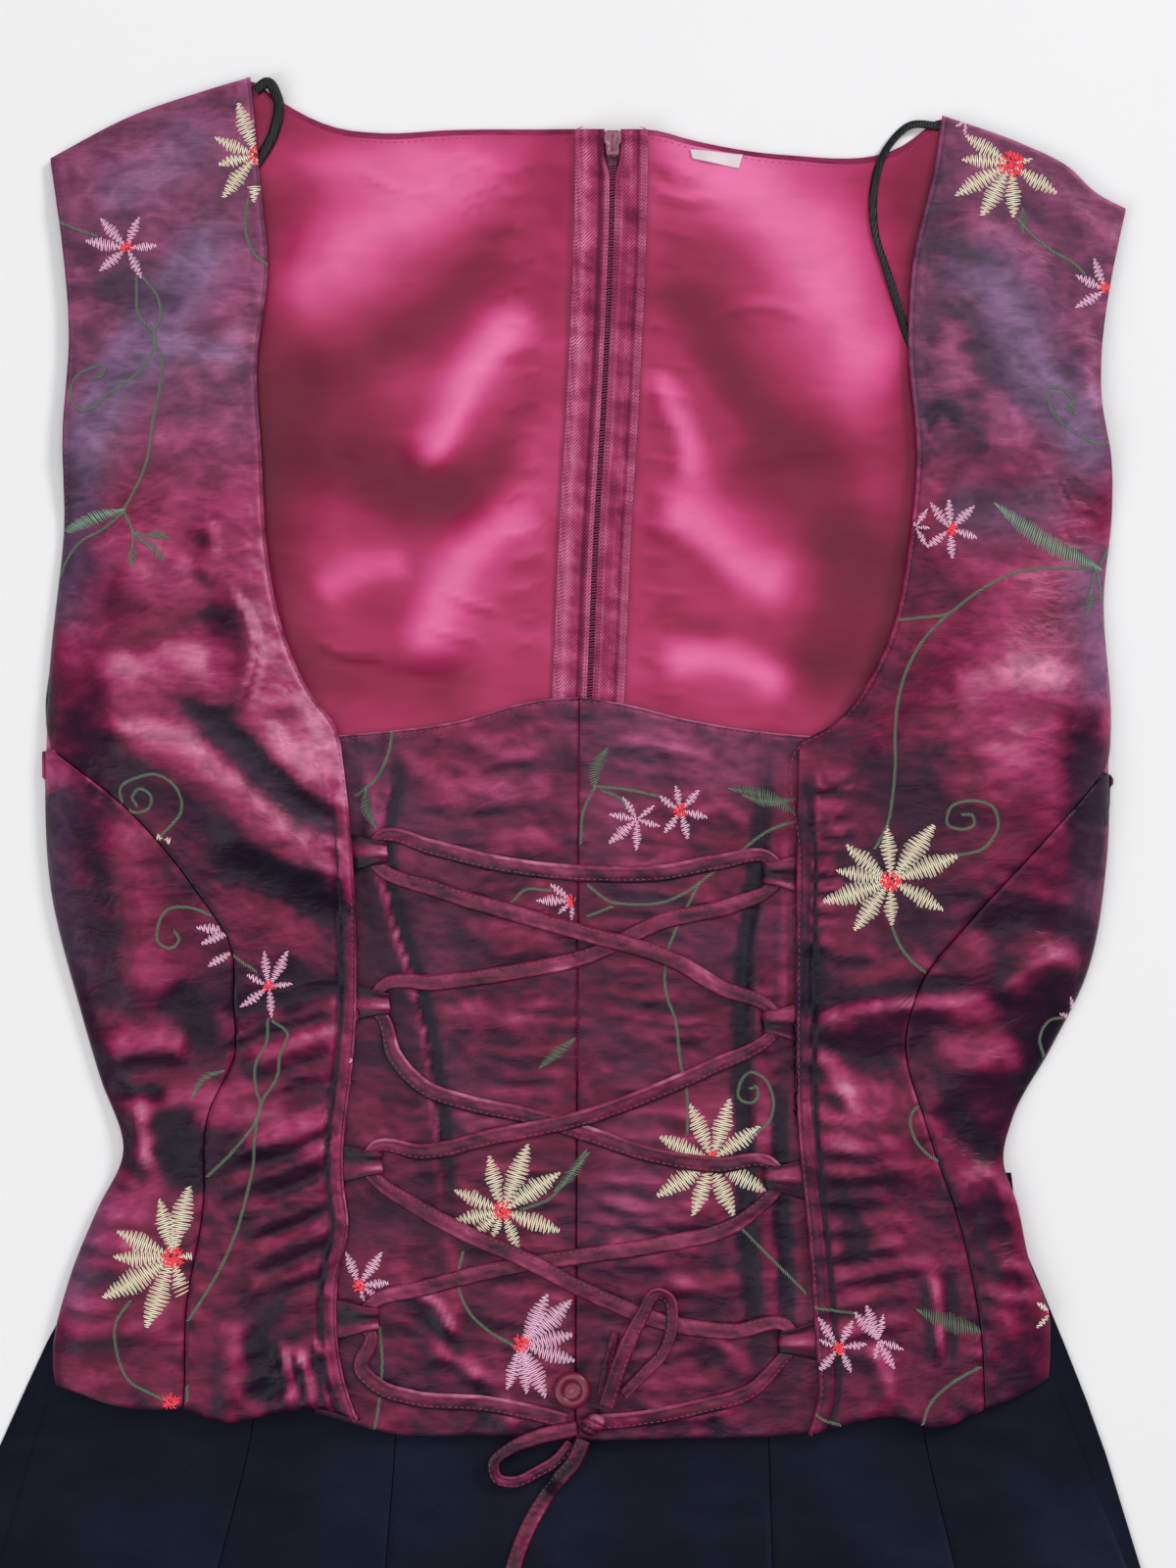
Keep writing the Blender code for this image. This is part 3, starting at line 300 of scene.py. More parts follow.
@dataclass(frozen=True)
class Fold:
    """A fold: a soft ridge or trough along a line, with its own reach on each side.

    Attributes:
        line: its run over the plan.
        rise: its height, below 0 for a trough.
        left: how far it reaches to the left of its run.
        right: how far it reaches to the right.
        tone: how much painted highlight lies along it, in the weave's pink, or below 0 how much painted shade, in its
            navy.
    """

    line: Line
    rise: float
    left: float
    right: float
    tone: float = 0.0

    def share(self, x: Array, y: Array, sharp: bool = False) -> Array:
        """How much of the fold each point has.

        Args:
            x: across the plan.
            y: up the plan.
            sharp: whether its sides are steep and ragged, as for the edges of painted light and shade on shot silk.

        Returns:
            Shares from 0 to 1, fading out at both ends.
        """
        run = smooth(self.line, even(10))
        off, along = measure(run, x, y)
        at = along / length_of(run)
        reach = np.where(off > 0, self.left, self.right)
        ends = step(-0.02, 0.22, at) * step(1.02, 0.78, at)
        if not sharp:
            return np.exp(-((off / reach) ** 2)) * ends
        ragged = np.abs(off / reach) * (1 + 0.5 * RIPPLE(x / 11, y / 7) + 0.3 * RIPPLE(x / 5 + 8, y / 4))
        return np.exp(-(ragged**4)) * ends


def rise_of(listed: Iterable[Fold], x: Array, y: Array) -> Array:
    """The summed height of folds."""
    return sum((fold.rise * fold.share(x, y) for fold in listed if fold.rise), np.zeros(np.shape(x)))


def tone_of(listed: Iterable[Fold], x: Array, y: Array, sharp: bool = True) -> Array:
    """The summed painted light and shade of folds."""
    return sum((fold.tone * fold.share(x, y, sharp) for fold in listed if fold.tone), np.zeros(np.shape(x)))


def facet_light_and_shade(x: Array, y: Array, size: float) -> Array:
    """Patches with crisp ragged borders: painted light and shade of the facets of crumpled silk.

    Args:
        x: across the plan.
        y: up the plan.
        size: about how wide a patch is, in mm.

    Returns:
        Numbers from -1 to 1.
    """
    u = x + 0.8 * size * RIPPLE(x / size + 3, y / size)
    v = y + 0.8 * size * RIPPLE(x / size, y / size + 9)
    return np.tanh(7 * CRUMPLE(u / size, v / (0.55 * size)))


def fan(starts: Line, ends: Line, count: int, rise: float, reach: float, seed: int, tone: float = 0.0) -> list[Fold]:
    """Drag lines side by side, as where cloth is pulled from one edge.

    Args:
        starts: the line on which they start.
        ends: the line on which they end.
        count: how many there are.
        rise: the height of the strongest.
        reach: the usual half-width.
        seed: the seed for their differences.
        tone: the painted light and shade of each.

    Returns:
        One fold for each.
    """
    draw = np.random.default_rng(seed)
    made = []
    for at in even(count - 1):
        a = smooth(starts, [at])[0]
        b = smooth(ends, [at])[0]
        b = a + (b - a) * draw.uniform(0.6, 1.0)
        bend = (a + b) / 2 + np.array([0, draw.uniform(-3, 3)])
        made.append(Fold([tuple(a), tuple(bend), tuple(b)], rise * draw.uniform(0.5, 1.0),
                         reach * draw.uniform(0.6, 1.2), reach * draw.uniform(0.5, 1.0), tone))
    return made


# ---------------------------------------------------------------- how high each layer lies

WHOLE_LEFT = SIDE_LEFT_LOW[:-1] + SIDE_LEFT_HIGH[1:]
WHOLE_RIGHT = SIDE_RIGHT_LOW[:-1] + SIDE_RIGHT_HIGH[1:]
ROLL = 34
BUSTS = ((-176, 10), (172, 10))
BUST_RISE = 13

LARGE_FRONT_FOLDS = [
    ((-205, 30), (-120, -32), 3.0, 15),
    ((-150, 105), (-140, 45), 2.5, 14),
    ((-190, -140), (-125, -150), 3.0, 13),
    ((120, -90), (190, -70), 3.0, 14),
    ((125, -150), (165, -120), 2.5, 13),
    ((170, 60), (130, 10), 2.5, 15),
    ((-190, 225), (-150, 195), 1.5, 14),
    ((160, 230), (200, 190), 1.5, 14),
]
LARGE_LINING_FOLDS = [
    ((-50, 262), (-128, 220), 3.0, 13),
    ((-60, 205), (-128, 165), 3.0, 14),
    ((-45, 140), (-120, 92), 3.0, 15),
    ((-52, 95), (-62, 58), 3.5, 13),
    ((50, 245), (118, 212), 3.0, 14),
    ((40, 178), (122, 128), 3.0, 15),
    ((45, 110), (100, 60), 3.0, 14),
]

SOFT_LINING_FOLDS = [(start, end, rise, 1.9 * reach) for start, end, rise, reach in LARGE_LINING_FOLDS]

# Creases of the fronts. The right-hand reach of a crease is on its right as its line runs.
FRONT_CREASES = [
    # left bust
    Fold([(-152, 84), (-141, 66), (-140, 51), (-147, 30)], 2.4, 1.5, 9, -0.3),
    Fold([(-179, 40), (-154, 31), (-131, 10), (-108, -9), (-99, -15)], 3.2, 14, 7),
    Fold([(-176, 34), (-156, 24), (-136, 3), (-112, -17), (-100, -24)], -0.8, 7, 8, -1.5),
    Fold([(-160, -19), (-138, -26), (-113, -40), (-98, -50)], 3.0, 12, 7),
    Fold([(-160, -27), (-138, -36), (-113, -50), (-99, -62)], -0.6, 8, 9, -1.5),
    Fold([(-212, 42), (-188, 46), (-160, 57)], 2.2, 8, 10, 0.5),
    Fold([(-200, 53), (-176, 60), (-152, 71)], -1.6, 7, 8, -0.35),
    Fold([(-206, 22), (-182, 16), (-160, 20)], 1.6, 8, 8, 0.5),
    Fold([(-140, 22), (-122, 8), (-114, -4)], 1.2, 8, 10, 0.8),
    Fold([(-128, 38), (-118, 24), (-112, 8)], 1.4, 5, 6, 0.4),
    Fold([(-200, 88), (-182, 82), (-164, 90)], 1.2, 9, 9, 0.5),
    Fold([(-150, -12), (-126, -22), (-106, -36)], 0, 5, 6, -0.5),
    # left side and waist
    Fold([(-199, -12), (-194, -62), (-190, -100)], 2.6, 14, 9, 0.6),
    Fold([(-178, -84), (-168, -98), (-163, -116)], -1.4, 8, 9, -1.3),
    Fold([(-208, -117), (-190, -113), (-166, -112)], 3.2, 9, 4.5, 0.5),
    Fold([(-206, -127), (-192, -131), (-178, -130)], -1.8, 3, 5, -1.3),
    Fold([(-193, -131), (-190, -147), (-187, -168)], 2.2, 4, 5, 0.6),
    Fold([(-178, -134), (-174, -152), (-172, -176)], -1.8, 9, 8, -1.7),
    Fold([(-198, -190), (-186, -214), (-188, -240)], 1.2, 9, 10, 0.35),
    # left panel below the bust
    Fold([(-122, -72), (-136, -92), (-158, -98)], -1.4, 8, 7, -0.8),
    Fold([(-102, -104), (-122, -112), (-146, -122)], 2.2, 8, 6, 0.5),
    Fold([(-101, -84), (-122, -92), (-134, -98)], -1.2, 5, 6, -1.0),
    Fold([(-143, -228), (-136, -246), (-139, -264)], -1.2, 5, 7, -1.7),
    Fold([(-131, -234), (-127, -252), (-128, -266)], 1.8, 2.6, 2.2, 0.3),
    Fold([(-124, -238), (-119, -252), (-118, -265)], 2.0, 2.6, 2.0, 0.3),
    Fold([(-115, -234), (-111, -250), (-111, -265)], 1.8, 2.4, 2.0, 0.1),
    Fold([(-150, -226), (-152, -246), (-150, -266)], 1.2, 5, 5, 0.3),
    # right bust and waist
    Fold([(88, -104), (111, -97), (134, -94), (160, -93), (173, -90)], 2.6, 3.5, 10, 0.75),
    Fold([(88, -97), (112, -90), (136, -86), (162, -84)], -0.8, 4, 4, -0.9),
    Fold([(160, -66), (186, -59), (214, -66)], -2.0, 8, 9, -0.8),
    Fold([(208, -71), (188, -79), (172, -93)], 2.8, 6, 5, 0.8),
    Fold([(92, -66), (95, -84), (91, -102)], -1.0, 5, 6, -1.5),
    Fold([(90, -66), (106, -72), (124, -72)], 1.4, 6, 3, 0.2),
    Fold([(178, 62), (168, 20), (166, -20)], 1.6, 22, 20, 0.45),
    Fold([(206, 40), (208, 0), (212, -44)], -0.6, 10, 9, -1.1),
    Fold([(205, -92), (197, -116), (186, -140)], -0.6, 7, 9, -1.0),
    Fold([(140, -108), (162, -118), (186, -118)], 1.8, 8, 8, 0.4),
    Fold([(90, -112), (104, -126), (112, -144)], 1.6, 5, 4, 0.4),
    Fold([(91, -108), (112, -116), (130, -118)], -1.2, 4, 5, -0.6),
    Fold([(148, -132), (160, -150), (174, -158)], -1.6, 6, 7, -0.9),
    Fold([(150, -176), (166, -170), (180, -172)], 1.6, 7, 6, 0.4),
    Fold([(96, -150), (116, -160), (150, -166)], 1.2, 8, 9, 0.3),
    Fold([(101, -168), (112, -186), (114, -206)], -1.0, 5, 7, -1.2),
    Fold([(144, -205), (146, -226), (148, -246)], 1.6, 2.5, 2.5, 0.2),
    Fold([(151, -205), (153, -226), (152, -246)], -1.0, 2.5, 3, -0.8),
    Fold([(116, -236), (124, -250), (126, -262)], 1.3, 4, 4, 0.3),
    Fold([(180, -196), (172, -216), (176, -240)], 1.2, 7, 8, 0.3),
    # straps
    Fold([(-219, 122), (-203, 158), (-182, 186), (-153, 220)], 2.2, 10, 13),
    Fold([(-214, 168), (-186, 183), (-144, 182)], 1.2, 7, 7),
    Fold([(-218, 208), (-192, 204), (-158, 214)], -0.8, 10, 9, -0.35),
    Fold([(-163, 172), (-154, 182), (-146, 196)], 0.8, 7, 7, 0.9),
    Fold([(-190, 148), (-172, 140), (-150, 142)], 1.2, 8, 8, 0.35),
    Fold([(-214, 92), (-196, 100), (-176, 96)], 1.3, 7, 7, 0.2),
    Fold([(-160, 112), (-158, 96), (-164, 84)], 1.2, 3, 5, 0.35),
    Fold([(148, 218), (166, 200), (182, 178), (205, 148)], 2.0, 12, 10),
    Fold([(158, 160), (152, 178), (156, 198)], 1.0, 7, 8, 0.85),
    Fold([(166, 166), (176, 152), (178, 138)], 1.0, 9, 9, 0.85),
    Fold([(141, 150), (150, 158), (156, 150)], -1.2, 4, 3, -0.9),
    Fold([(152, 238), (174, 228), (196, 214)], 1.3, 8, 8, 0.4),
    Fold([(214, 190), (210, 172), (214, 156)], 1.2, 4, 5, 0.5),
    Fold([(150, 128), (172, 124), (200, 128)], 1.0, 9, 8, -0.2),
    Fold([(140, 96), (168, 84), (196, 76)], 1.2, 9, 9, 0.3),
    Fold([(150, 30), (180, 42), (208, 36)], 1.3, 10, 8, 0.3),
]
FRONT_CREASES += fan([(-104, -92), (-106, -236)], [(-166, -112), (-158, -258)], 13, 1.7, 4.2, 5)
FRONT_CREASES += fan([(-106, -98), (-108, -240)], [(-150, -112), (-146, -262)], 10, -1.2, 3.4, 6, -0.55)
FRONT_CREASES += fan([(92, -118), (98, -236)], [(138, -122), (152, -222)], 11, 1.3, 3.8, 8)
FRONT_CREASES += fan([(93, 2), (92, -60)], [(112, 4), (108, -58)], 13, 1.1, 2.2, 9, 0.25)
FRONT_CREASES += fan([(96, 2), (96, -56)], [(114, 2), (112, -54)], 8, -0.9, 2.0, 10, -0.4)
FRONT_CREASES += fan([(-101, 12), (-103, -50)], [(-118, 14), (-120, -44)], 7, 0.8, 2.6, 12)
FRONT_CREASES += fan([(176, -164), (190, -216)], [(150, -172), (166, -214)], 6, 1.0, 3.4, 13)
FRONT_CREASES += fan([(-212, -150), (-222, -236)], [(-184, -160), (-186, -232)], 7, 1.0, 3.6, 14)

INSERT_CREASES = [
    # the pleats beside the lacing edges
    Fold([(-85, 22), (-84, -2), (-90, -26), (-84, -58), (-74, -88), (-67, -124), (-62, -186)], 1.5, 1.3, 9),
    Fold([(-83, 22), (-81, -2), (-86, -26), (-80, -58), (-71, -88), (-64, -124), (-59, -186)], -0.4, 3.4, 2, -1.8),
    Fold([(-97, 10), (-92, -10), (-96, -40)], 0.9, 3, 3, 0.2),
    Fold([(79, 21), (78, -10), (76, -34), (71, -60), (69, -104), (70, -150), (72, -200), (78, -256)], 1.6, 8, 1.3),
    Fold([(76, 10), (74, -10), (72, -34), (68, -60), (65, -104), (66, -150), (68, -200), (74, -256)],
         -0.4, 2, 4.2, -1.8),
    Fold([(86, 14), (85, -20), (83, -60), (82, -120)], 0.8, 2.4, 2.4, 0.2),
    Fold([(81, -120), (82, -170), (85, -236)], -0.7, 3, 4, -1.6),
    Fold([(-62, -186), (-58, -214), (-66, -250)], 1.2, 4, 5, 0.2),
    # crumples
    Fold([(-88, 16), (-70, 4), (-52, -10)], 0.8, 5, 5, 0.3),
    Fold([(-54, 20), (-40, 12), (-20, 14)], 0.9, 5, 4, 0.25),
    Fold([(-58, 0), (-36, -6), (-14, -2)], 0.9, 6, 5, 0.35),
    Fold([(-46, -30), (-28, -24), (-10, -30)], 0.7, 4, 5, 0.2),
    Fold([(8, 20), (30, 14), (54, 8)], 0.8, 5, 5, 0.3),
    Fold([(40, -16), (56, -12), (70, -20)], 0.7, 4, 4, 0.2),
    Fold([(4, -40), (24, -36), (44, -30)], 0.7, 4, 4, 0.2),
    Fold([(-60, -58), (-40, -66), (-12, -64)], 1.0, 6, 5, 0.2),
    Fold([(-70, -104), (-50, -98), (-24, -104)], 0.9, 5, 6, 0.35),
    Fold([(10, -100), (24, -108), (52, -100)], 0.8, 4, 5, 0.25),
    Fold([(8, -176), (28, -184), (56, -178)], 0.9, 4, 4, 0.25),
    Fold([(2, -190), (24, -200), (50, -196)], 0.9, 4, 4, 0.3),
    Fold([(30, -210), (52, -214), (70, -206)], 0.9, 4, 4, 0.3),
    Fold([(-56, -134), (-50, -150), (-56, -166)], 0.7, 4, 4, 0.2),
    Fold([(-82, -212), (-66, -220), (-56, -236)], 1.4, 3, 3, 0.5),
    Fold([(-76, -226), (-62, -232), (-54, -246)], -0.8, 3, 3, -0.8),
    Fold([(-70, -240), (-56, -244), (-44, -256)], 1.3, 4, 3, 0.4),
    Fold([(-48, -250), (-44, -262), (-46, -274)], -0.8, 3, 3, -1.1),
    Fold([(-38, -258), (-34, -266), (-36, -276)], 1.0, 3, 3, 0.4),
    Fold([(36, -232), (56, -238), (68, -250)], 0.9, 5, 4, 0.2),
    Fold([(20, -262), (40, -268), (66, -264)], 0.9, 3, 3, 0.3),
    Fold([(50, -268), (54, -272), (56, -277)], -0.7, 2.4, 2.4, -0.9),
]
INSERT_CREASES += fan([(-14, 26), (-16, -60)], [(-60, 16), (-70, -62)], 12, 0.55, 2.4, 31, 0.12)
INSERT_CREASES += fan([(4, 26), (4, -96)], [(60, 16), (60, -100)], 15, 0.55, 2.4, 32, 0.12)
INSERT_CREASES += fan([(-8, -70), (-8, -270)], [(-54, -74), (-60, -262)], 20, 0.6, 2.6, 33, 0.15)
INSERT_CREASES += fan([(0, -130), (0, -270)], [(58, -136), (62, -262)], 16, 0.7, 2.8, 34, 0.2)

LINING_CREASES = [
    # left of the zip: a sweep with painted highlight, a deep hollow with painted shade, and a ridge with painted
    # highlight that runs down from the zip
    Fold([(-150, 196), (-118, 216), (-84, 238), (-30, 268)], 1.4, 18, 16, 1.25),
    Fold([(-150, 268), (-110, 262), (-60, 272)], 0.6, 10, 10, 0.7),
    Fold([(-24, 244), (-58, 208), (-90, 184), (-146, 164)], -1.2, 13, 12, -1.0),
    Fold([(-156, 146), (-108, 138), (-66, 122), (-24, 118)], -0.8, 22, 17, -1.5),
    Fold([(-22, 200), (-40, 184), (-52, 166), (-62, 146), (-76, 126)], 2.4, 7, 11, 1.75),
    Fold([(-18, 168), (-34, 150), (-42, 126)], -0.6, 7, 6, -0.5),
    Fold([(-20, 116), (-42, 104), (-58, 86), (-70, 60), (-74, 44)], 2.2, 12, 12, 1.35),
    Fold([(-120, 78), (-98, 88), (-74, 92)], 0.8, 8, 8, 0.8),
    Fold([(-136, 60), (-104, 46), (-70, 38), (-40, 40)], -0.6, 12, 12, -0.6),
    # right of the zip
    Fold([(22, 268), (62, 254), (88, 226), (112, 186), (134, 150)], 1.8, 24, 17, 1.35),
    Fold([(24, 226), (46, 200), (64, 172), (84, 148), (124, 132)], -1.4, 13, 12, -1.25),
    Fold([(56, 142), (86, 122), (122, 112)], -0.6, 15, 16, -0.9),
    Fold([(100, 118), (110, 84), (100, 48), (84, 34)], -0.6, 20, 16, -1.35),
    Fold([(24, 178), (34, 160), (42, 138), (40, 122)], 1.4, 6, 6, 1.0),
    Fold([(24, 118), (48, 104), (66, 88), (88, 78)], 1.8, 12, 9, 1.2),
    Fold([(26, 48), (50, 52), (70, 46), (86, 34)], 1.2, 9, 8, 1.35),
    Fold([(24, 76), (42, 66), (60, 62)], -0.5, 6, 6, -0.4),
    Fold([(146, 262), (148, 210), (140, 150)], 0, 8, 12, -0.7),
    Fold([(-146, 262), (-140, 200), (-138, 130), (-118, 70)], 0, 12, 8, -0.35),
    # fine wrinkles of the thin satin, most with painted shade along them
    Fold([(-64, 82), (-50, 76), (-36, 72)], 0.5, 1.6, 1.6, -0.3),
    Fold([(-70, 66), (-56, 62), (-44, 60)], 0.5, 1.6, 1.6, -0.3),
    Fold([(-116, 60), (-98, 54), (-84, 56)], 0.6, 1.6, 1.6, -0.3),
    Fold([(26, 262), (40, 256), (52, 258)], 0.7, 1.4, 1.4, -0.4),
    Fold([(22, 254), (36, 248), (58, 246)], 0.6, 1.4, 1.4, -0.4),
    Fold([(44, 196), (70, 204), (96, 198)], 0.5, 1.8, 1.8, 0.3),
    Fold([(-100, 262), (-78, 252), (-58, 254)], 0.5, 1.8, 1.8, 0.3),
]
LINING_CREASES += fan([(-20, 262), (-16, 60)], [(-44, 256), (-38, 52)], 17, 0.5, 1.5, 51, -0.3)
LINING_CREASES += fan([(26, 262), (20, 40)], [(52, 258), (44, 36)], 17, 0.5, 1.5, 52, -0.3)
LINING_CREASES += fan([(-44, 268), (-30, 240)], [(-70, 258), (-54, 232)], 5, 0.5, 1.4, 53, -0.3)


def over_skirt(y: Array) -> Array:
    """How far the bodice is raised where the skirt lies under it."""
    return SKIRT_STACK * step(-126, -158, y)


def zip_x(y: Array) -> Array:
    """Where the zip's middle is at height y."""
    return across(ZIP_LINE, y)


def large(listed: Iterable[tuple[Point, Point, float, float]], x: Array, y: Array) -> Array:
    """The height of the large folds that the solids have too."""
    height = np.zeros(np.shape(x))
    for start, end, rise, half_width in listed:
        run = np.subtract(end, start)
        near = np.clip(((x - start[0]) * run[0] + (y - start[1]) * run[1]) / (run @ run), 0, 1)
        off = np.hypot(x - start[0] - near * run[0], y - start[1] - near * run[1])
        height = height + rise * np.exp(-((off / half_width) ** 2))
    return height


def back_z(x: Array, y: Array) -> Array:
    """The underside of the bodice's back."""
    beside = step(38, 10, np.abs(x - zip_x(y)))
    return over_skirt(y) + POCKET * beside * step(SLIDER_Y - 84, SLIDER_Y - 44, y)


def tape_z(y: Array) -> Array:
    """The underside of the zip's tapes."""
    return back_z(zip_x(y), y) * 1.3 + TAPE_Z


def stitched_edge(off: Array) -> Array:
    """The relief beside a turned edge: it rounds down at the edge and dips under its row of topstitching."""
    return -0.5 * step(0.9, 0, off) - 0.22 * np.exp(-(((off - TOPSTITCH_INSET) / 0.6) ** 2))


def seam_dip(off: Array) -> Array:
    """The relief beside a plain seam."""
    return -0.5 * np.exp(-((off / 0.9) ** 2))


def pucker(off: Array, along: Array, rise: float, reach: float, pitch: float) -> Array:
    """Small waves across a seam, strongest at the thread.

    Args:
        off: the distance from the seam.
        along: the distance along it.
        rise: their height.
        reach: how far they reach into the cloth.
        pitch: how far apart they are.

    Returns:
        Their height at each point.
    """
    return rise * 2 * RIPPLE(along / pitch, off / 16 + 3.3) * np.exp(-((off / reach) ** 2))


TOPSTITCH_INSET = 1.7
FACING_WIDTH = 7.5  # from a lacing edge to the seam of its facing
INNER_LEFT = LACING_LEFT + NECK_LEFT[1:]
INNER_RIGHT = LACING_RIGHT + NECK_RIGHT[1:]


def facing_seam(inner: Array, y: Array, width: float) -> Array:
    """How strongly the seam of a front's facing shows, all of it below the bust and none above.

    Args:
        inner: the distance from the lacing edge.
        y: the height up the plan.
        width: how far its mark spreads to each side.

    Returns:
        Its strength at each point.
    """
    return 0.9 * step(10, -60, y) * np.exp(-(((inner - FACING_WIDTH) / width) ** 2))


def side_gap(x: Array, y: Array) -> Array:
    """How far a point is from the nearer side of the bodice."""
    return np.minimum(np.abs(x - across(WHOLE_LEFT, y)), np.abs(across(WHOLE_RIGHT, y) - x))


class FrontLayer:
    """The fronts and side fronts: their height and their painted light and shade, over the plan."""

    def __init__(self) -> None:
        """Read the seams and edges once."""
        self.inner = [smooth(INNER_LEFT, even(90)), smooth(INNER_RIGHT, even(90))]
        self.princess = [smooth(PRINCESS_LEFT, even(40)), smooth(PRINCESS_RIGHT, even(40))]
        self.outer = [smooth(WHOLE_LEFT, even(70)), smooth(WHOLE_RIGHT, even(70))]
        self.shoulders = [smooth(SHOULDER_LEFT, even(12)), smooth(SHOULDER_RIGHT, even(12))]
        self.hems = [smooth(HEM_SIDE_LEFT[:-1] + HEM_FRONT_LEFT, even(24)),
                     smooth(HEM_FRONT_RIGHT[:-1] + HEM_SIDE_RIGHT, even(24))]

    def underside(self, x: Array, y: Array) -> Array:
        """The underside of the panels, as their solids lie."""
        inside = np.minimum(x - across(WHOLE_LEFT, y), across(WHOLE_RIGHT, y) - x)
        turn = np.sqrt(1 - (1 - np.clip(inside / ROLL, 0, 1)) ** 2)
        turn = turn + (1 - turn) * step(105, 150, y)
        full = np.interp(y, [-280, 20, 70, 180, 250, 300], [FRONT_Z, FRONT_Z, 7.5, 6.4, 5.4, 4.4])
        for bust_x, bust_y in BUSTS:
            full = full + BUST_RISE * np.exp(-(((x - bust_x) / 62) ** 2) - ((y - bust_y) / 88) ** 2)
        full = full + large(LARGE_FRONT_FOLDS, x, y) * step(0, 14, inside)
        left = np.interp(x, [p[0] for p in SHOULDER_LEFT], [p[1] for p in SHOULDER_LEFT])
        right = np.interp(x, [p[0] for p in SHOULDER_RIGHT], [p[1] for p in SHOULDER_RIGHT])
        below_shoulder = np.where(x < 0, left, right) - y
        full = 3.6 + (full - 3.6) * step(0, 24, below_shoulder)
        return over_skirt(y) + LINING_Z + (full - LINING_Z) * turn

    def beside(self, lines: Sequence[Array], x: Array, y: Array) -> tuple[Array, Array]:
        """The distance from the nearer of a left and a right line, and how far along it."""
        left_off, left_along = measure(lines[0], x, y)
        right_off, right_along = measure(lines[1], x, y)
        left_side = x < 0
        return np.where(left_side, np.abs(left_off), np.abs(right_off)), np.where(left_side, left_along, right_along)

    def crumple(self, x: Array, y: Array) -> Array:
        """The small crisp creases all over: level on the body, slanting on the straps."""
        strap = step(96, 150, y)
        slant = np.where(x < 0, 1, -1) * 0.75 * strap
        u, v = x + slant * y, y - slant * x
        body = 0.5 * CRUMPLE.crisp(u / 26, v / 11) + 0.36 * CRUMPLE.crisp(u / 11 + 40, v / 6.5)
        fine = 0.24 * CRUMPLE.crisp(u / 6 + 70, v / 3.4 + 9)
        amount = 0.75 + 1.1 * DRIFT(x / 42, y / 42)
        return np.clip(amount, 0.25, 1.5) * body * (1 - 0.35 * strap) + fine

    def top(self, x: Array, y: Array) -> Array:
        """The upper face of the cloth."""
        inner, inner_along = self.beside(self.inner, x, y)
        princess, princess_along = self.beside(self.princess, x, y)
        outer, outer_along = self.beside(self.outer, x, y)
        shoulder, _ = self.beside(self.shoulders, x, y)
        hem, hem_along = self.beside(self.hems, x, y)
        armhole = step(84, 96, y)
        relief = rise_of(FRONT_CREASES, x, y) + self.crumple(x, y)
        relief = relief * step(0, 7, outer) * step(0, 5, shoulder) * (0.35 + 0.65 * step(0, 4, inner))
        relief = np.maximum(relief, -1.0 - 2.6 * step(4, 24, inner))
        relief = relief + pucker(princess, princess_along, 0.5, 7, 6) + pucker(inner, inner_along, 0.32, 6, 5)
        relief = relief + pucker(hem, hem_along, 0.55, 9, 7) + 0.3 * armhole * pucker(outer, outer_along, 1, 5, 5)
        relief = relief + seam_dip(princess) + stitched_edge(inner) + armhole * stitched_edge(outer)
        relief = relief - facing_seam(inner, y, 0.9)
        relief = relief - 0.5 * step(1.4, 0, hem) - 0.5 * step(1.6, 0, shoulder)
        return self.underside(x, y) + TAFFETA + relief

    def tone(self, x: Array, y: Array) -> Array:
        """Painted light and shade of creases, edges, facing seam and crumpled facets, random patches, and darker below
        the bust and high on the right.
        """
        outer, _ = self.beside(self.outer, x, y)
        inner, _ = self.beside(self.inner, x, y)
        body = step(120, 60, y)
        # Painted shade along the right side's edge, and painted light along the left side's edge that offsets the
        # painted shade of its slopes.
        painted_edge_shade = np.where(x > 0, 0.85 * np.exp(-((outer / 20) ** 2)), -0.6 * np.exp(-((outer / 20) ** 2)))
        # Painted shadow along the seam of each front's facing.
        gap = facing_seam(inner, y, 1.6)
        low = 0.2 * step(20, -80, y) + 0.02 + 0.2 * step(20, 80, x) * step(40, 90, y)
        # Painted light and shade of small crumpled facets, stronger on the straps.
        crisp = (0.1 * facet_light_and_shade(x, y, 26) + 0.07 * facet_light_and_shade(x + 60, y, 10)) * (1 + 0.6 * step(96, 150, y))
        return (0.75 * tone_of(FRONT_CREASES, x, y) - painted_edge_shade * body - gap + crisp - low
                + 0.35 * DRIFT(x / 30 + 9, y / 24))

    def slate(self, x: Array, y: Array) -> Array:
        """How much painted slate sheen lies on the weave, most of it on the straps."""
        return np.clip(tone_of(PAINTED_SLATE_SHEEN, x, y, False) + 0.35 * step(110, 170, y), 0, 1)


# Painted slate sheen: where a greyish mauve is laid over the weave's colours, mostly on the straps.
PAINTED_SLATE_SHEEN = [
    Fold([(-224, 108), (-208, 160), (-182, 200), (-150, 246)], 0, 9, 13, 0.9),
    Fold([(-200, 180), (-170, 184), (-140, 180)], 0, 6, 6, 0.5),
    Fold([(-226, 60), (-222, 96), (-216, 128)], 0, 12, 14, 0.6),
    Fold([(-212, 244), (-180, 262), (-156, 282)], 0, 12, 12, 0.4),
    Fold([(146, 222), (170, 212), (188, 172), (208, 150), (214, 118)], 0, 13, 11, 0.9),
    Fold([(212, 108), (215, 70), (218, 26)], 0, 16, 12, 0.7),
    Fold([(216, 24), (216, -20), (204, -78)], 0, 12, 10, 0.35),
    Fold([(146, 120), (176, 112), (206, 124)], 0, 12, 12, 0.5),
    Fold([(-176, 34), (-156, 24), (-136, 3), (-112, -17), (-100, -24)], 0, 3, 5, 0.3),
    Fold([(-222, 10), (-226, -40), (-214, -90)], 0, 9, 7, 0.5),
    Fold([(-206, -150), (-214, -190), (-222, -230)], 0, 9, 9, 0.5),
]


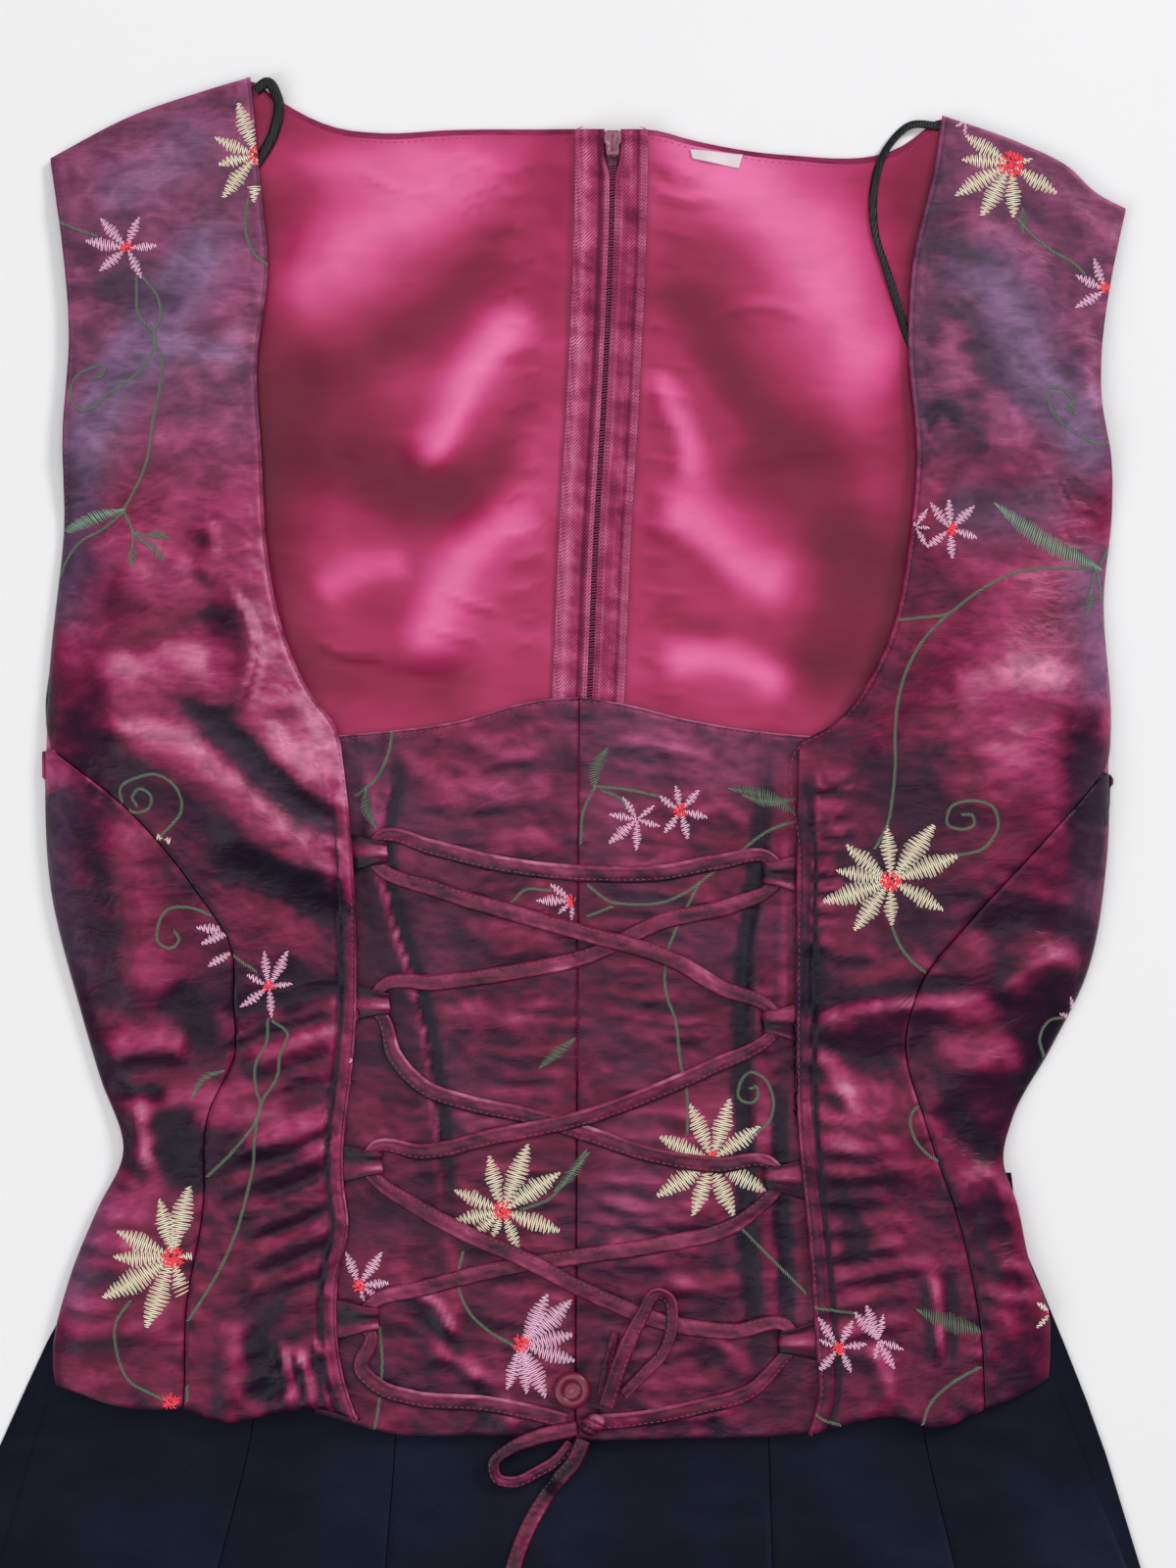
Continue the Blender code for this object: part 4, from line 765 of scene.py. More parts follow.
class InsertLayer:
    """The two halves behind the lacing."""

    def __init__(self) -> None:
        """Read the edges once."""
        self.top_edge = smooth(INSERT_TOP_LEFT + INSERT_TOP_RIGHT[1:], even(50))
        self.hem = smooth(INSERT_HEM_LEFT + INSERT_HEM_RIGHT[1:], even(50))
        self.seam = smooth(CENTRE_SEAM, even(1))
        self.edges = [smooth(LACING_LEFT, even(40)), smooth(LACING_RIGHT, even(40))]

    def top(self, x: Array, y: Array) -> Array:
        """The upper face of the cloth."""
        top_off, top_along = measure(self.top_edge, x, y)
        hem_off, hem_along = measure(self.hem, x, y)
        seam_off, seam_along = measure(self.seam, x, y)
        left_edge, _ = measure(self.edges[0], x, y)
        right_edge, _ = measure(self.edges[1], x, y)
        shown = np.minimum(-left_edge, right_edge)  # how far inside the lacing edges
        level = 0.6 * CRUMPLE.crisp((x + 0.5 * y) / 21 + 11, (y - 0.3 * x) / 9)
        level = level + 0.36 * CRUMPLE.crisp((x - 0.6 * y) / 12 + 51, (y + 0.3 * x) / 6)
        fine = 0.2 * CRUMPLE.crisp(x / 7 + 5, y / 4 + 60)
        relief = rise_of(INSERT_CREASES, x, y) + level * np.clip(0.8 + 1.2 * DRIFT(x / 34, y / 40 + 7), 0.3, 1.5)
        relief = (relief + fine) * step(-1, 9, shown)
        relief = np.maximum(relief, -1.2)
        relief = relief + pucker(np.abs(seam_off), seam_along, 0.45, 7, 5.5) + seam_dip(np.abs(seam_off))
        relief = relief + pucker(np.abs(top_off), top_along, 0.35, 6, 5) + stitched_edge(np.abs(top_off))
        relief = relief + pucker(np.abs(hem_off), hem_along, 0.5, 9, 8) - 0.5 * step(1.4, 0, np.abs(hem_off))
        return over_skirt(y) + INSERT_Z + TAFFETA - 0.35 + relief * 0.8

    def tone(self, x: Array, y: Array) -> Array:
        """Painted light and shade of the insert's creases and crumpled facets, random patches, and darker overall and
        lower down.
        """
        # Painted light and shade of small crumpled facets.
        crisp = 0.08 * facet_light_and_shade(x, y, 22) + 0.06 * facet_light_and_shade(x + 60, y, 9)
        return tone_of(INSERT_CREASES, x, y) - 0.16 - 0.16 * step(0, -60, y) + crisp + 0.35 * DRIFT(x / 34 + 30, y / 22)

    def slate(self, x: Array, y: Array) -> Array:
        """How much painted slate sheen lies on it: a little near the top, and random patches."""
        return np.clip(0.12 * step(-40, 20, y) + 0.25 * DRIFT(x / 40, y / 40), 0, 1)


class LiningLayer:
    """The satin back lining in the neck opening."""

    def top(self, x: Array, y: Array) -> Array:
        """The upper face of the satin, with loose folds between the zip and the necklines."""
        beside_zip = step(14, 34, np.abs(x - zip_x(y)))
        loose = beside_zip * step(42, 60, y) * step(272, 255, y) * step(132, 104, np.abs(x))
        base = back_z(x, y) * 1.15 + LINING_Z + LINING + 0.55 * loose * large(SOFT_LINING_FOLDS, x, y)
        near = step(13, 26, np.abs(x - zip_x(y))) * step(24, 44, y) * step(276, 262, y)
        near = near * step(138, 120, np.abs(x))
        relief = rise_of(LINING_CREASES, x, y) + 0.5 * CRUMPLE(x / 30, y / 16 + 31) + 0.12 * CRUMPLE(x / 12, y / 4)
        beside_tape = pucker(np.abs(x - zip_x(y)) - 15, y, 0.5, 14, 9)
        return base + near * np.maximum(relief, -0.5) * 1.25 + near * beside_tape

    def tone(self, x: Array, y: Array) -> Array:
        """Painted highlights and shade on the satin's folds, painted shade under the fronts, and random patches."""
        # Painted shade where the satin runs under the fronts.
        shade_under_front = step(104, 138, np.abs(x)) * 0.5
        return 0.75 * tone_of(LINING_CREASES, x, y, False) - shade_under_front + 0.3 * DRIFT(x / 34, y / 22 + 15)


class BackLayer:
    """The plain back, seen only along its edges and from below."""

    def top(self, x: Array, y: Array) -> Array:
        """The upper face of the cloth."""
        return back_z(x, y) + TAFFETA - 0.1 - 0.5 * step(1.2, 0, side_gap(x, y))

    def tone(self, x: Array, y: Array) -> Array:
        """Lighter and pinker along the turned neck edge, and much lighter along the sides."""
        return 0.45 * step(258, 268, y) * step(146, 136, np.abs(x)) + 1.2 * step(6, 2, side_gap(x, y))


class SkirtLayer:
    """The skirt's front, in flutes between its seams."""

    def __init__(self) -> None:
        """Read the seams once."""
        self.seams = [smooth(line[::-1], even(40)) for line in SKIRT_LINES]

    def place(self, x: Array, y: Array) -> tuple[Array, Array]:
        """Which gore a point is on, as a number with its share, and its distance from the outer seams."""
        seams = np.array([np.interp(y, line[:, 1], line[:, 0]) for line in self.seams])
        at = np.zeros(np.shape(x))
        for low, high in zip(seams, seams[1:]):
            at = at + np.clip((x - low) / (high - low), 0, 1)
        return at, np.minimum(x - seams[0], seams[-1] - x)

    def top(self, x: Array, y: Array) -> Array:
        """The upper face of the cloth."""
        at, edge = self.place(x, y)
        rise = 3.2 * step(-282, -345, y) + 9 * step(-345, -800, y)
        flute = rise * np.sin(np.pi * (at % 1)) ** 2 * step(0, 30, edge)
        seam = np.full(np.shape(x), 1e3)
        for line in self.seams:
            seam = np.minimum(seam, np.abs(x - np.interp(y, line[:, 1], line[:, 0])))
        soft = step(-290, -340, y)
        drape = (1.3 * DRIFT(x / 34, y / 150) + 0.35 * CRUMPLE(x / 16, y / 40)) * soft * step(0, 16, edge)
        hem = hem_y(x)
        hem_seam = -0.4 * np.exp(-(((y - hem - HEM_DEPTH) / 1.6) ** 2))
        sewn = -0.7 * np.exp(-((seam / 2.0) ** 2)) + pucker(seam, y, 0.3, 8, 9)
        relief = np.maximum(drape * (0.3 + 0.7 * step(0, 14, seam)), -0.7) + sewn * soft + hem_seam
        return SKIRT_FRONT_Z + TWILL + flute + relief


HEM_DEPTH = 30


def hem_y(x: Array) -> Array:
    """The skirt's rounded hem."""
    return HEM_DROP + 37 * (np.abs(x + 31) / 490) ** 2


# ---------------------------------------------------------------- finishes

def linear(code: str) -> tuple[float, float, float]:
    """The linear red, green and blue of an sRGB hex value."""
    parts = [int(code[i:i + 2], 16) / 255 for i in (1, 3, 5)]
    return tuple(c / 12.92 if c <= 0.04045 else ((c + 0.055) / 1.055) ** 2.4 for c in parts)


def per_mm(*pitches: float) -> tuple[float, ...]:
    """A mapping scale that turns metres into waves of the given lengths in mm."""
    return tuple(1 / (pitch * MM) for pitch in pitches)


def add_node(tree: bpy.types.NodeTree, kind: str, settings: dict | None = None, links: dict | None = None,
             **options: object) -> bpy.types.Node:
    """Add one shader node.

    Args:
        tree: the material's node tree.
        kind: the node's type, without "ShaderNode".
        settings: the value of each input, by name or number.
        links: the output that feeds each input.
        options: the node's own properties.

    Returns:
        The node.
    """
    node = tree.nodes.new("ShaderNode" + kind)
    for key, value in options.items():
        setattr(node, key, value)
    for key, value in (settings or {}).items():
        node.inputs[key].default_value = value
    for key, output in (links or {}).items():
        tree.links.new(output, node.inputs[key])
    return node


class Grain(Enum):
    """How a cloth's threads run over it."""

    WEFT = "level slubs"
    TWILL = "slanting ribs"
    TAPE = "slanting ribs on a narrow tape"
    GROSGRAIN = "ribs across a ribbon"
    SATIN = "long floats"


@dataclass(frozen=True)
class ClothFinish:
    """A woven finish: its colours from painted shade to painted highlight, its grain and its sheen.

    Attributes:
        name: what the cloth is.
        tones: sRGB colours from the darkest, for painted shade, to the lightest, for painted highlight.
        slate: the colour of the painted sheen that lies over it.
        grain: how its threads run.
        roughness: of the threads.
        sheen: how strongly the fibres catch light along the surface.
        sheen_tint: the colour of that.
        grain_depth: the height of the grain, in mm.
        crumple: the height of the creases that are too fine for the mesh, in mm.
        streak: how much the grain changes the colour.
        anisotropy: how much the highlight stretches across the threads.
        crease: how far apart those creases are, in mm.
        crease_tone: how much painted light lies on their crests and painted shade in their troughs.
        specular: the strength of the plain reflection.
    """

    name: str
    tones: tuple[str, ...]
    slate: str
    grain: Grain
    roughness: float
    sheen: float
    sheen_tint: str
    grain_depth: float = 0.06
    crumple: float = 0.25
    streak: float = 0.16
    anisotropy: float = 0.3
    crease: float = 7.0
    crease_tone: float = 0.0
    specular: float = 0.3

    def colours(self, tone: Array, slate: Array) -> Array:
        """The linear colour of each point.

        Args:
            tone: from painted shade at -1 to painted highlight at 1.
            slate: how much painted slate sheen lies over it, from 0 to 1.

        Returns:
            Red, green, blue and alpha for each point.
        """
        given = np.array([linear(code) for code in self.tones])
        at = np.linspace(-1, 1, len(given))
        made = np.column_stack([np.interp(tone, at, column) for column in given.T])
        share = np.clip(slate, 0, 1)[:, None]
        # Painted slate sheen, lighter where the painted light is.
        made = made * (1 - share) + np.array(linear(self.slate)) * (0.9 + 0.6 * np.clip(tone, -1, 1)[:, None]) * share
        return np.column_stack([made, np.ones(len(made))])

    def grain_of(self, tree: bpy.types.NodeTree) -> bpy.types.NodeSocket:
        """The grain as a number from 0 to 1 over the cloth."""
        place = add_node(tree, "TexCoord").outputs["Object"]
        if self.grain in (Grain.WEFT, Grain.SATIN):
            # Slubs run across the cloth: about 16 mm long and 0.8 mm apart, or longer and finer on satin.
            pitches = (16, 0.8, 0.8) if self.grain is Grain.WEFT else (30, 1.1, 1.1)
            mapped = add_node(tree, "Mapping", {"Scale": per_mm(*pitches)}, {"Vector": place})
            noise = add_node(tree, "TexNoise", {"Scale": 1.0, "Detail": 3.0, "Roughness": 0.6},
                             {"Vector": mapped.outputs[0]})
            return noise.outputs["Fac"]
        # Ribs 0.9 mm apart on the skirt and 1 mm on the tape, coarser than real ones so that they show.
        pitch = {Grain.TWILL: 0.95, Grain.TAPE: 1.05, Grain.GROSGRAIN: 1.2}[self.grain]
        turn = {Grain.TWILL: 0.95, Grain.TAPE: 0.75, Grain.GROSGRAIN: 0.2}[self.grain]
        turned = add_node(tree, "Mapping", {"Rotation": (0, 0, turn), "Scale": per_mm(1, 1, 1)}, {"Vector": place})
        wave = add_node(tree, "TexWave", {"Scale": 0.314 / pitch, "Distortion": 1.2, "Detail": 2.0,
                                          "Detail Scale": 2.0}, {"Vector": turned.outputs[0]})
        fleck = add_node(tree, "TexNoise", {"Scale": 1.1, "Detail": 2.0}, {"Vector": turned.outputs[0]})
        return add_node(tree, "Mix", {0: 0.35}, {2: wave.outputs["Fac"], 3: fleck.outputs["Fac"]}).outputs[0]

    def make(self) -> bpy.types.Material:
        """The material, made once."""
        made = bpy.data.materials.get(self.name)
        if made:
            return made
        made = bpy.data.materials.new(self.name)
        made.use_nodes = True
        tree = made.node_tree
        shader = tree.nodes["Principled BSDF"]
        weave = add_node(tree, "Attribute", attribute_name="weave").outputs["Color"]
        grain = self.grain_of(tree)
        place = add_node(tree, "TexCoord").outputs["Object"]
        # Sharp creases, mostly level, about 9 mm and 3.5 mm apart: the folded lines of a noise.
        ridges = []
        for pitches, seed in (((self.crease * 2.1, self.crease, self.crease), 0.0),
                              ((self.crease * 0.85, self.crease * 0.42, self.crease * 0.42), 0.31)):
            mapped = add_node(tree, "Mapping", {"Location": (seed, seed, 0), "Rotation": (0, 0, seed),
                                                "Scale": per_mm(*pitches)}, {"Vector": place})
            noise = add_node(tree, "TexNoise", {"Scale": 1.0, "Detail": 2.5, "Roughness": 0.5, "Distortion": 0.5},
                             {"Vector": mapped.outputs[0]}).outputs["Fac"]
            middle = add_node(tree, "Math", {1: 0.5}, {0: noise}, operation="SUBTRACT").outputs[0]
            ridges.append(add_node(tree, "Math", links={0: middle}, operation="ABSOLUTE").outputs[0])
        folded = add_node(tree, "Math", {1: 0.45}, {0: ridges[1]}, operation="MULTIPLY").outputs[0]
        crumple = add_node(tree, "Math", links={0: ridges[0], 1: folded}, operation="ADD").outputs[0]
        shade = add_node(tree, "MapRange", {"To Min": 1 - self.streak, "To Max": 1 + self.streak,
                                            "From Min": 0.25, "From Max": 0.75}, {"Value": grain}).outputs[0]
        # Painted light on the crests of the fine creases and painted shade in their troughs.
        crease = add_node(tree, "MapRange", {"To Min": 1 + self.crease_tone, "To Max": 1 - self.crease_tone,
                                             "From Min": 0.0, "From Max": 0.2}, {"Value": crumple}).outputs[0]
        both = add_node(tree, "Math", links={0: shade, 1: crease}, operation="MULTIPLY").outputs[0]
        colour = add_node(tree, "VectorMath", links={0: weave, 1: both}, operation="MULTIPLY").outputs[0]
        tree.links.new(colour, shader.inputs["Base Color"])
        rough = add_node(tree, "MapRange", {"To Min": self.roughness - 0.07, "To Max": self.roughness + 0.09,
                                            "From Min": 0.0, "From Max": 0.3}, {"Value": crumple}).outputs[0]
        tree.links.new(rough, shader.inputs["Roughness"])
        creased = add_node(tree, "Bump", {"Strength": 1.0, "Distance": self.crumple * MM}, {"Height": crumple})
        creased.invert = True
        ribbed = add_node(tree, "Bump", {"Strength": 1.0, "Distance": self.grain_depth * MM},
                          {"Height": grain, "Normal": creased.outputs[0]})
        tree.links.new(ribbed.outputs[0], shader.inputs["Normal"])
        shader.inputs["Specular IOR Level"].default_value = self.specular
        shader.inputs["Sheen Weight"].default_value = self.sheen
        shader.inputs["Sheen Roughness"].default_value = 0.35
        shader.inputs["Sheen Tint"].default_value = (*linear(self.sheen_tint), 1)
        shader.inputs["Anisotropic"].default_value = self.anisotropy
        shader.inputs["IOR"].default_value = 1.54
        made.diffuse_color = (*linear(self.tones[len(self.tones) // 2]), 1)
        return made


@dataclass(frozen=True)
class HardFinish:
    """A plain moulded, painted or spun finish.

    Attributes:
        name: what it is and how it was made.
        colour: its sRGB colour.
        roughness: of its surface.
        speckle: how much small spots change the colour.
        grit: the size of its surface grain, in mm.
        depth: the height of that grain, in mm.
        coat: the weight of a clear outer layer.
        tinted: whether the piece carries its own "weave" colours, which then replace colour.
        sheen: how strongly fibres catch light.
    """

    name: str
    colour: str
    roughness: float
    speckle: float = 0.06
    grit: float = 1.5
    depth: float = 0.02
    coat: float = 0.0
    tinted: bool = False
    sheen: float = 0.0

    def make(self) -> bpy.types.Material:
        """The material, made once."""
        made = bpy.data.materials.get(self.name)
        if made:
            return made
        made = bpy.data.materials.new(self.name)
        made.use_nodes = True
        tree = made.node_tree
        shader = tree.nodes["Principled BSDF"]
        place = add_node(tree, "TexCoord").outputs["Object"]
        grit = add_node(tree, "TexNoise", {"Scale": per_mm(self.grit)[0], "Detail": 3.0},
                        {"Vector": place}).outputs["Fac"]
        shade = add_node(tree, "MapRange", {"To Min": 1 - self.speckle, "To Max": 1 + self.speckle},
                         {"Value": grit}).outputs[0]
        if self.tinted:
            base = {0: add_node(tree, "Attribute", attribute_name="weave").outputs["Color"], 1: shade}
            colour = add_node(tree, "VectorMath", links=base, operation="MULTIPLY")
        else:
            colour = add_node(tree, "VectorMath", {0: linear(self.colour)}, {1: shade}, operation="MULTIPLY")
        tree.links.new(colour.outputs[0], shader.inputs["Base Color"])
        rough = add_node(tree, "MapRange", {"To Min": self.roughness - 0.05, "To Max": self.roughness + 0.07},
                         {"Value": grit}).outputs[0]
        tree.links.new(rough, shader.inputs["Roughness"])
        bump = add_node(tree, "Bump", {"Strength": 1.0, "Distance": self.depth * MM}, {"Height": grit})
        tree.links.new(bump.outputs[0], shader.inputs["Normal"])
        shader.inputs["Coat Weight"].default_value = self.coat
        shader.inputs["Coat Roughness"].default_value = 0.12
        shader.inputs["Sheen Weight"].default_value = self.sheen
        shader.inputs["IOR"].default_value = 1.49
        made.diffuse_color = (*linear(self.colour), 1)
        return made


# Shot taffeta: silk-like polyester with a burgundy warp and a navy weft; its slopes get painted light and shade in
# these colours, pink in the painted highlights and navy in the painted shade.
TAFFETA_FINISH = ClothFinish("shot taffeta, plain woven", ("#110b1c", "#34102a", "#721a3d", "#9e3762", "#d484a4"),
                             "#7d5c80", Grain.WEFT, 0.38, 0.03, "#a58fb8", crumple=1.1, crease=11, crease_tone=0.25,
                             grain_depth=0.05, streak=0.14, specular=0.14)
LACE_FINISH = ClothFinish("shot taffeta, folded and stitched", ("#150d1a", "#3e122a", "#6c1a3c", "#94345c", "#c87898"),
                          "#75557a", Grain.WEFT, 0.4, 0.03, "#a58fb8", crumple=0.4, crease=4, crease_tone=0.2,
                          grain_depth=0.04, specular=0.2)
# Lining: polyester satin in magenta with long floats; its broad soft highlights are painted into its colours.
SATIN_FINISH = ClothFinish("polyester satin, woven", ("#5c0826", "#86123f", "#ae2a5c", "#d4508a", "#f080b4"),
                           "#a54c84", Grain.SATIN, 0.34, 0.02, "#f0b8d4", grain_depth=0.015, crumple=0.3,
                           streak=0.03, anisotropy=0.5, crease=22, crease_tone=0.05, specular=0.16)
# Skirt: navy worsted-look twill, matt, with fine slanting ribs.
TWILL_FINISH = ClothFinish("navy polyester twill, woven", ("#04050c", "#080a16", "#0d1122", "#181d34", "#2b3149"),
                           "#1c2130", Grain.TWILL, 0.8, 0.01, "#7d86a0", grain_depth=0.2, crumple=0.5,
                           streak=0.7, anisotropy=0.0, crease=40, crease_tone=0.1, specular=0.14)
# Zip tape: woven polyester twill dyed to match the lining.
TAPE_FINISH = ClothFinish("zip tape, twill woven", ("#430c28", "#741c42", "#a0345e", "#c05c84", "#dc8eac"),
                          "#7c2046", Grain.TAPE, 0.62, 0.1, "#f0b8d4", grain_depth=0.2, crumple=0.5,
                          streak=0.42, anisotropy=0.0, crease=8, crease_tone=0.12, specular=0.15)
# Hanging loops: black polyester grosgrain, softly shiny on its ribs.
HANGER_FINISH = ClothFinish("black grosgrain ribbon", ("#040506", "#08090b", "#0d0f12", "#181b20", "#2a2e34"),
                            "#0d0f12", Grain.GROSGRAIN, 0.5, 0.1, "#8a93a0", grain_depth=0.2, crumple=0.2,
                            streak=0.4, anisotropy=0.0)
LABEL_FINISH = ClothFinish("satin label tape", ("#8f6d7d", "#b79aa8", "#dccdd4", "#efe6ea", "#f8f4f6"),
                           "#efe6ea", Grain.SATIN, 0.45, 0.05, "#ffffff", grain_depth=0.02, crumple=0.1,
                           streak=0.03, anisotropy=0.2)
THREAD_FINISH = HardFinish("rayon embroidery thread", "#e8d8a4", 0.5, speckle=0.08, grit=0.6, depth=0.03,
                           tinted=True, sheen=0.05)
# Coil: nylon monofilament; slider: zinc with enamel paint; button: cast polyester, polished.
COIL_FINISH = HardFinish("nylon coil, extruded", "#6a1c3e", 0.4, speckle=0.05, grit=0.8, depth=0.01)
SLIDER_FINISH = HardFinish("enamelled zinc slider", "#8a4c62", 0.38, speckle=0.05, grit=0.5, depth=0.02, coat=0.3)
BUTTON_FINISH = HardFinish("cast polyester button", "#6e0c34", 0.34, speckle=0.12, grit=4, depth=0.01, coat=0.1)
FLOOR_FINISH = HardFinish("matt white board", "#f5f5f7", 0.85, speckle=0.006, grit=90, depth=0.0)

PAINTED_LIGHT_FROM = np.array([0.62, 0.78])  # in the plan, slopes that face this way get painted light and those that face away painted shade


# ---------------------------------------------------------------- making pieces

BUTTON_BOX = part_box("button")
PLAN_ZERO = np.array([(BUTTON_BOX[0][i] + BUTTON_BOX[1][i]) / 2 / MM - BUTTON_AT[i] for i in (0, 1)] + [0.0])


def in_frame(points: Array) -> Array:
    """Points of the plan, in mm, as points of the frame, in metres."""
    return (np.asarray(points, float).reshape(-1, 3) + PLAN_ZERO) * MM


def piece(name: str, points: Array, faces: Sequence, finish: ClothFinish | HardFinish, slot: str,
          replaces: Sequence[str] = (), colours: Array | None = None, body: str = "garment",
          wall: float = 0.0) -> bpy.types.Object:
    """One finished piece of the set.

    Args:
        name: its name.
        points: its points in the plan, in mm.
        faces: the points of each face.
        finish: its finish.
        slot: not used.
        replaces: the solids that it stands for.
        colours: a linear colour for each point.
        body: the body that it rides on.
        wall: its thickness in mm, where the points are the upper face of a cloth.

    Returns:
        The object.
    """
    mesh = bpy.data.meshes.new(name)
    mesh.from_pydata(in_frame(points).tolist(), [], faces.tolist() if isinstance(faces, np.ndarray) else list(faces))
    mesh.shade_smooth()
    if colours is None:
        flat = linear(finish.tones[2]) if isinstance(finish, ClothFinish) else linear(finish.colour)
        colours = np.tile((*flat, 1.0), (len(mesh.vertices), 1))
    layer = mesh.color_attributes.new("weave", "FLOAT_COLOR", "POINT")
    layer.data.foreach_set("color", np.clip(colours, 0, 1).astype(np.float32).ravel())
    mesh.materials.append(finish.make())
    obj = bpy.data.objects.new(name + "_seen", mesh)
    bpy.context.scene.collection.objects.link(obj)
    if wall:
        cloth = obj.modifiers.new("cloth", "SOLIDIFY")
        cloth.thickness = wall * MM
        cloth.offset = -1
    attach(obj, body)
    if replaces:
        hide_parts(*replaces)
    log.info("%s: %d points", name, len(mesh.vertices))
    return obj


def net(columns: int, rows: int, closed: bool = False) -> Array:
    """The faces of a grid of points, stored column by column.

    Args:
        columns: how many columns it has.
        rows: how many points a column has.
        closed: whether each column is a ring.

    Returns:
        Four point numbers for each face.
    """
    index = np.arange(columns * rows).reshape(columns, rows)
    if closed:
        index = np.column_stack([index, index[:, 0]])
    low, high = index[:-1], index[1:]
    return np.stack([low[:, :-1], high[:, :-1], high[:, 1:], low[:, 1:]], axis=-1).reshape(-1, 4)


def tube_faces(rings: int, sides: int) -> list:
    """The faces of a closed tube of rings, with its two ends."""
    faces = net(rings, sides, closed=True).tolist()
    last = (rings - 1) * sides
    return faces + [list(range(sides)), list(range(last + sides - 1, last - 1, -1))]


def fractions(length: float, pitch: float, start: Sequence[float] = (), end: Sequence[float] = ()) -> Array:
    """Where the lines of a panel's net run across it.

    Args:
        length: the panel's usual width, in mm.
        pitch: the usual distance between lines.
        start: the distances of closer lines near its start.
        end: the distances of closer lines near its end.

    Returns:
        Fractions from 0 to 1.
    """
    low = list(start) or [0.0]
    high = list(end) or [0.0]
    run = length - low[-1] - high[-1]
    middle = low[-1] + np.linspace(0, run, max(2, round(run / pitch) + 1))
    return np.r_[low[:-1], middle, length - np.array(high[:-1])[::-1]] / length


EDGE_LINES = (0, 0.35, 0.75, 1.2, 1.7, 2.2, 2.8, 3.8, 5.2)
FACING_LINES = EDGE_LINES[:-1] + (5.0, 5.9, 6.6, 7.1, 7.5, 7.9, 8.4, 9.2, 10.6)
SEAM_LINES = (0, 0.7, 1.5, 2.4, 3.6)
JOINT = 12 / 23  # where a front's side leaves the seam of the side front


def two_part(low: Line, high: Line, at: Array) -> Array:
    """Points of an edge that is made of two lines, the first up to JOINT."""
    first = at[at <= JOINT]
    second = at[at > JOINT]
    return np.vstack([smooth(low, first / JOINT), smooth(high, (second - JOINT) / (1 - JOINT))])


def moved(line: Array, distance: float) -> Array:
    """The line moved to its own left."""
    return line + distance * left_of(line)


def fill(bottom: Array, right: Array, top: Array, left: Array, u: Array, v: Array) -> Array:
    """The plan points of a panel between its four edge lines, drawn back from each by the seam gap.

    Args:
        bottom: the hem edge, from the left.
        right: the right edge, from the hem.
        top: the top edge, from the left.
        left: the left edge, from the hem.
        u: fractions across.
        v: fractions up.

    Returns:
        One point for each column and row.
    """
    low, high = moved(bottom, SEAM_GAP), moved(top, -SEAM_GAP)
    start, end = moved(left, -SEAM_GAP), moved(right, SEAM_GAP)
    ll = low[0] + start[0] - bottom[0]
    lr = low[-1] + end[0] - bottom[-1]
    hl = high[0] + start[-1] - top[0]
    hr = high[-1] + end[-1] - top[-1]
    low[0], low[-1], high[0], high[-1] = ll, lr, hl, hr
    start[0], start[-1], end[0], end[-1] = ll, hl, lr, hr
    u, v = u[:, None, None], v[None, :, None]
    ruled = (1 - v) * low[:, None] + v * high[:, None] + (1 - u) * start[None] + u * end[None]
    return ruled - ((1 - u) * (1 - v) * ll + u * (1 - v) * lr + (1 - u) * v * hl + u * v * hr)


def slopes(net_points: Array) -> Array:
    """How much each point of a net faces the painted light's direction in the plan, which sets its painted light and
    shade.
    """
    along = np.gradient(net_points, axis=0)
    up = np.gradient(net_points, axis=1)
    normal = np.cross(along, up)
    normal /= np.maximum(np.linalg.norm(normal, axis=2), 1e-9)[..., None]
    return normal[..., 0] * PAINTED_LIGHT_FROM[0] + normal[..., 1] * PAINTED_LIGHT_FROM[1]


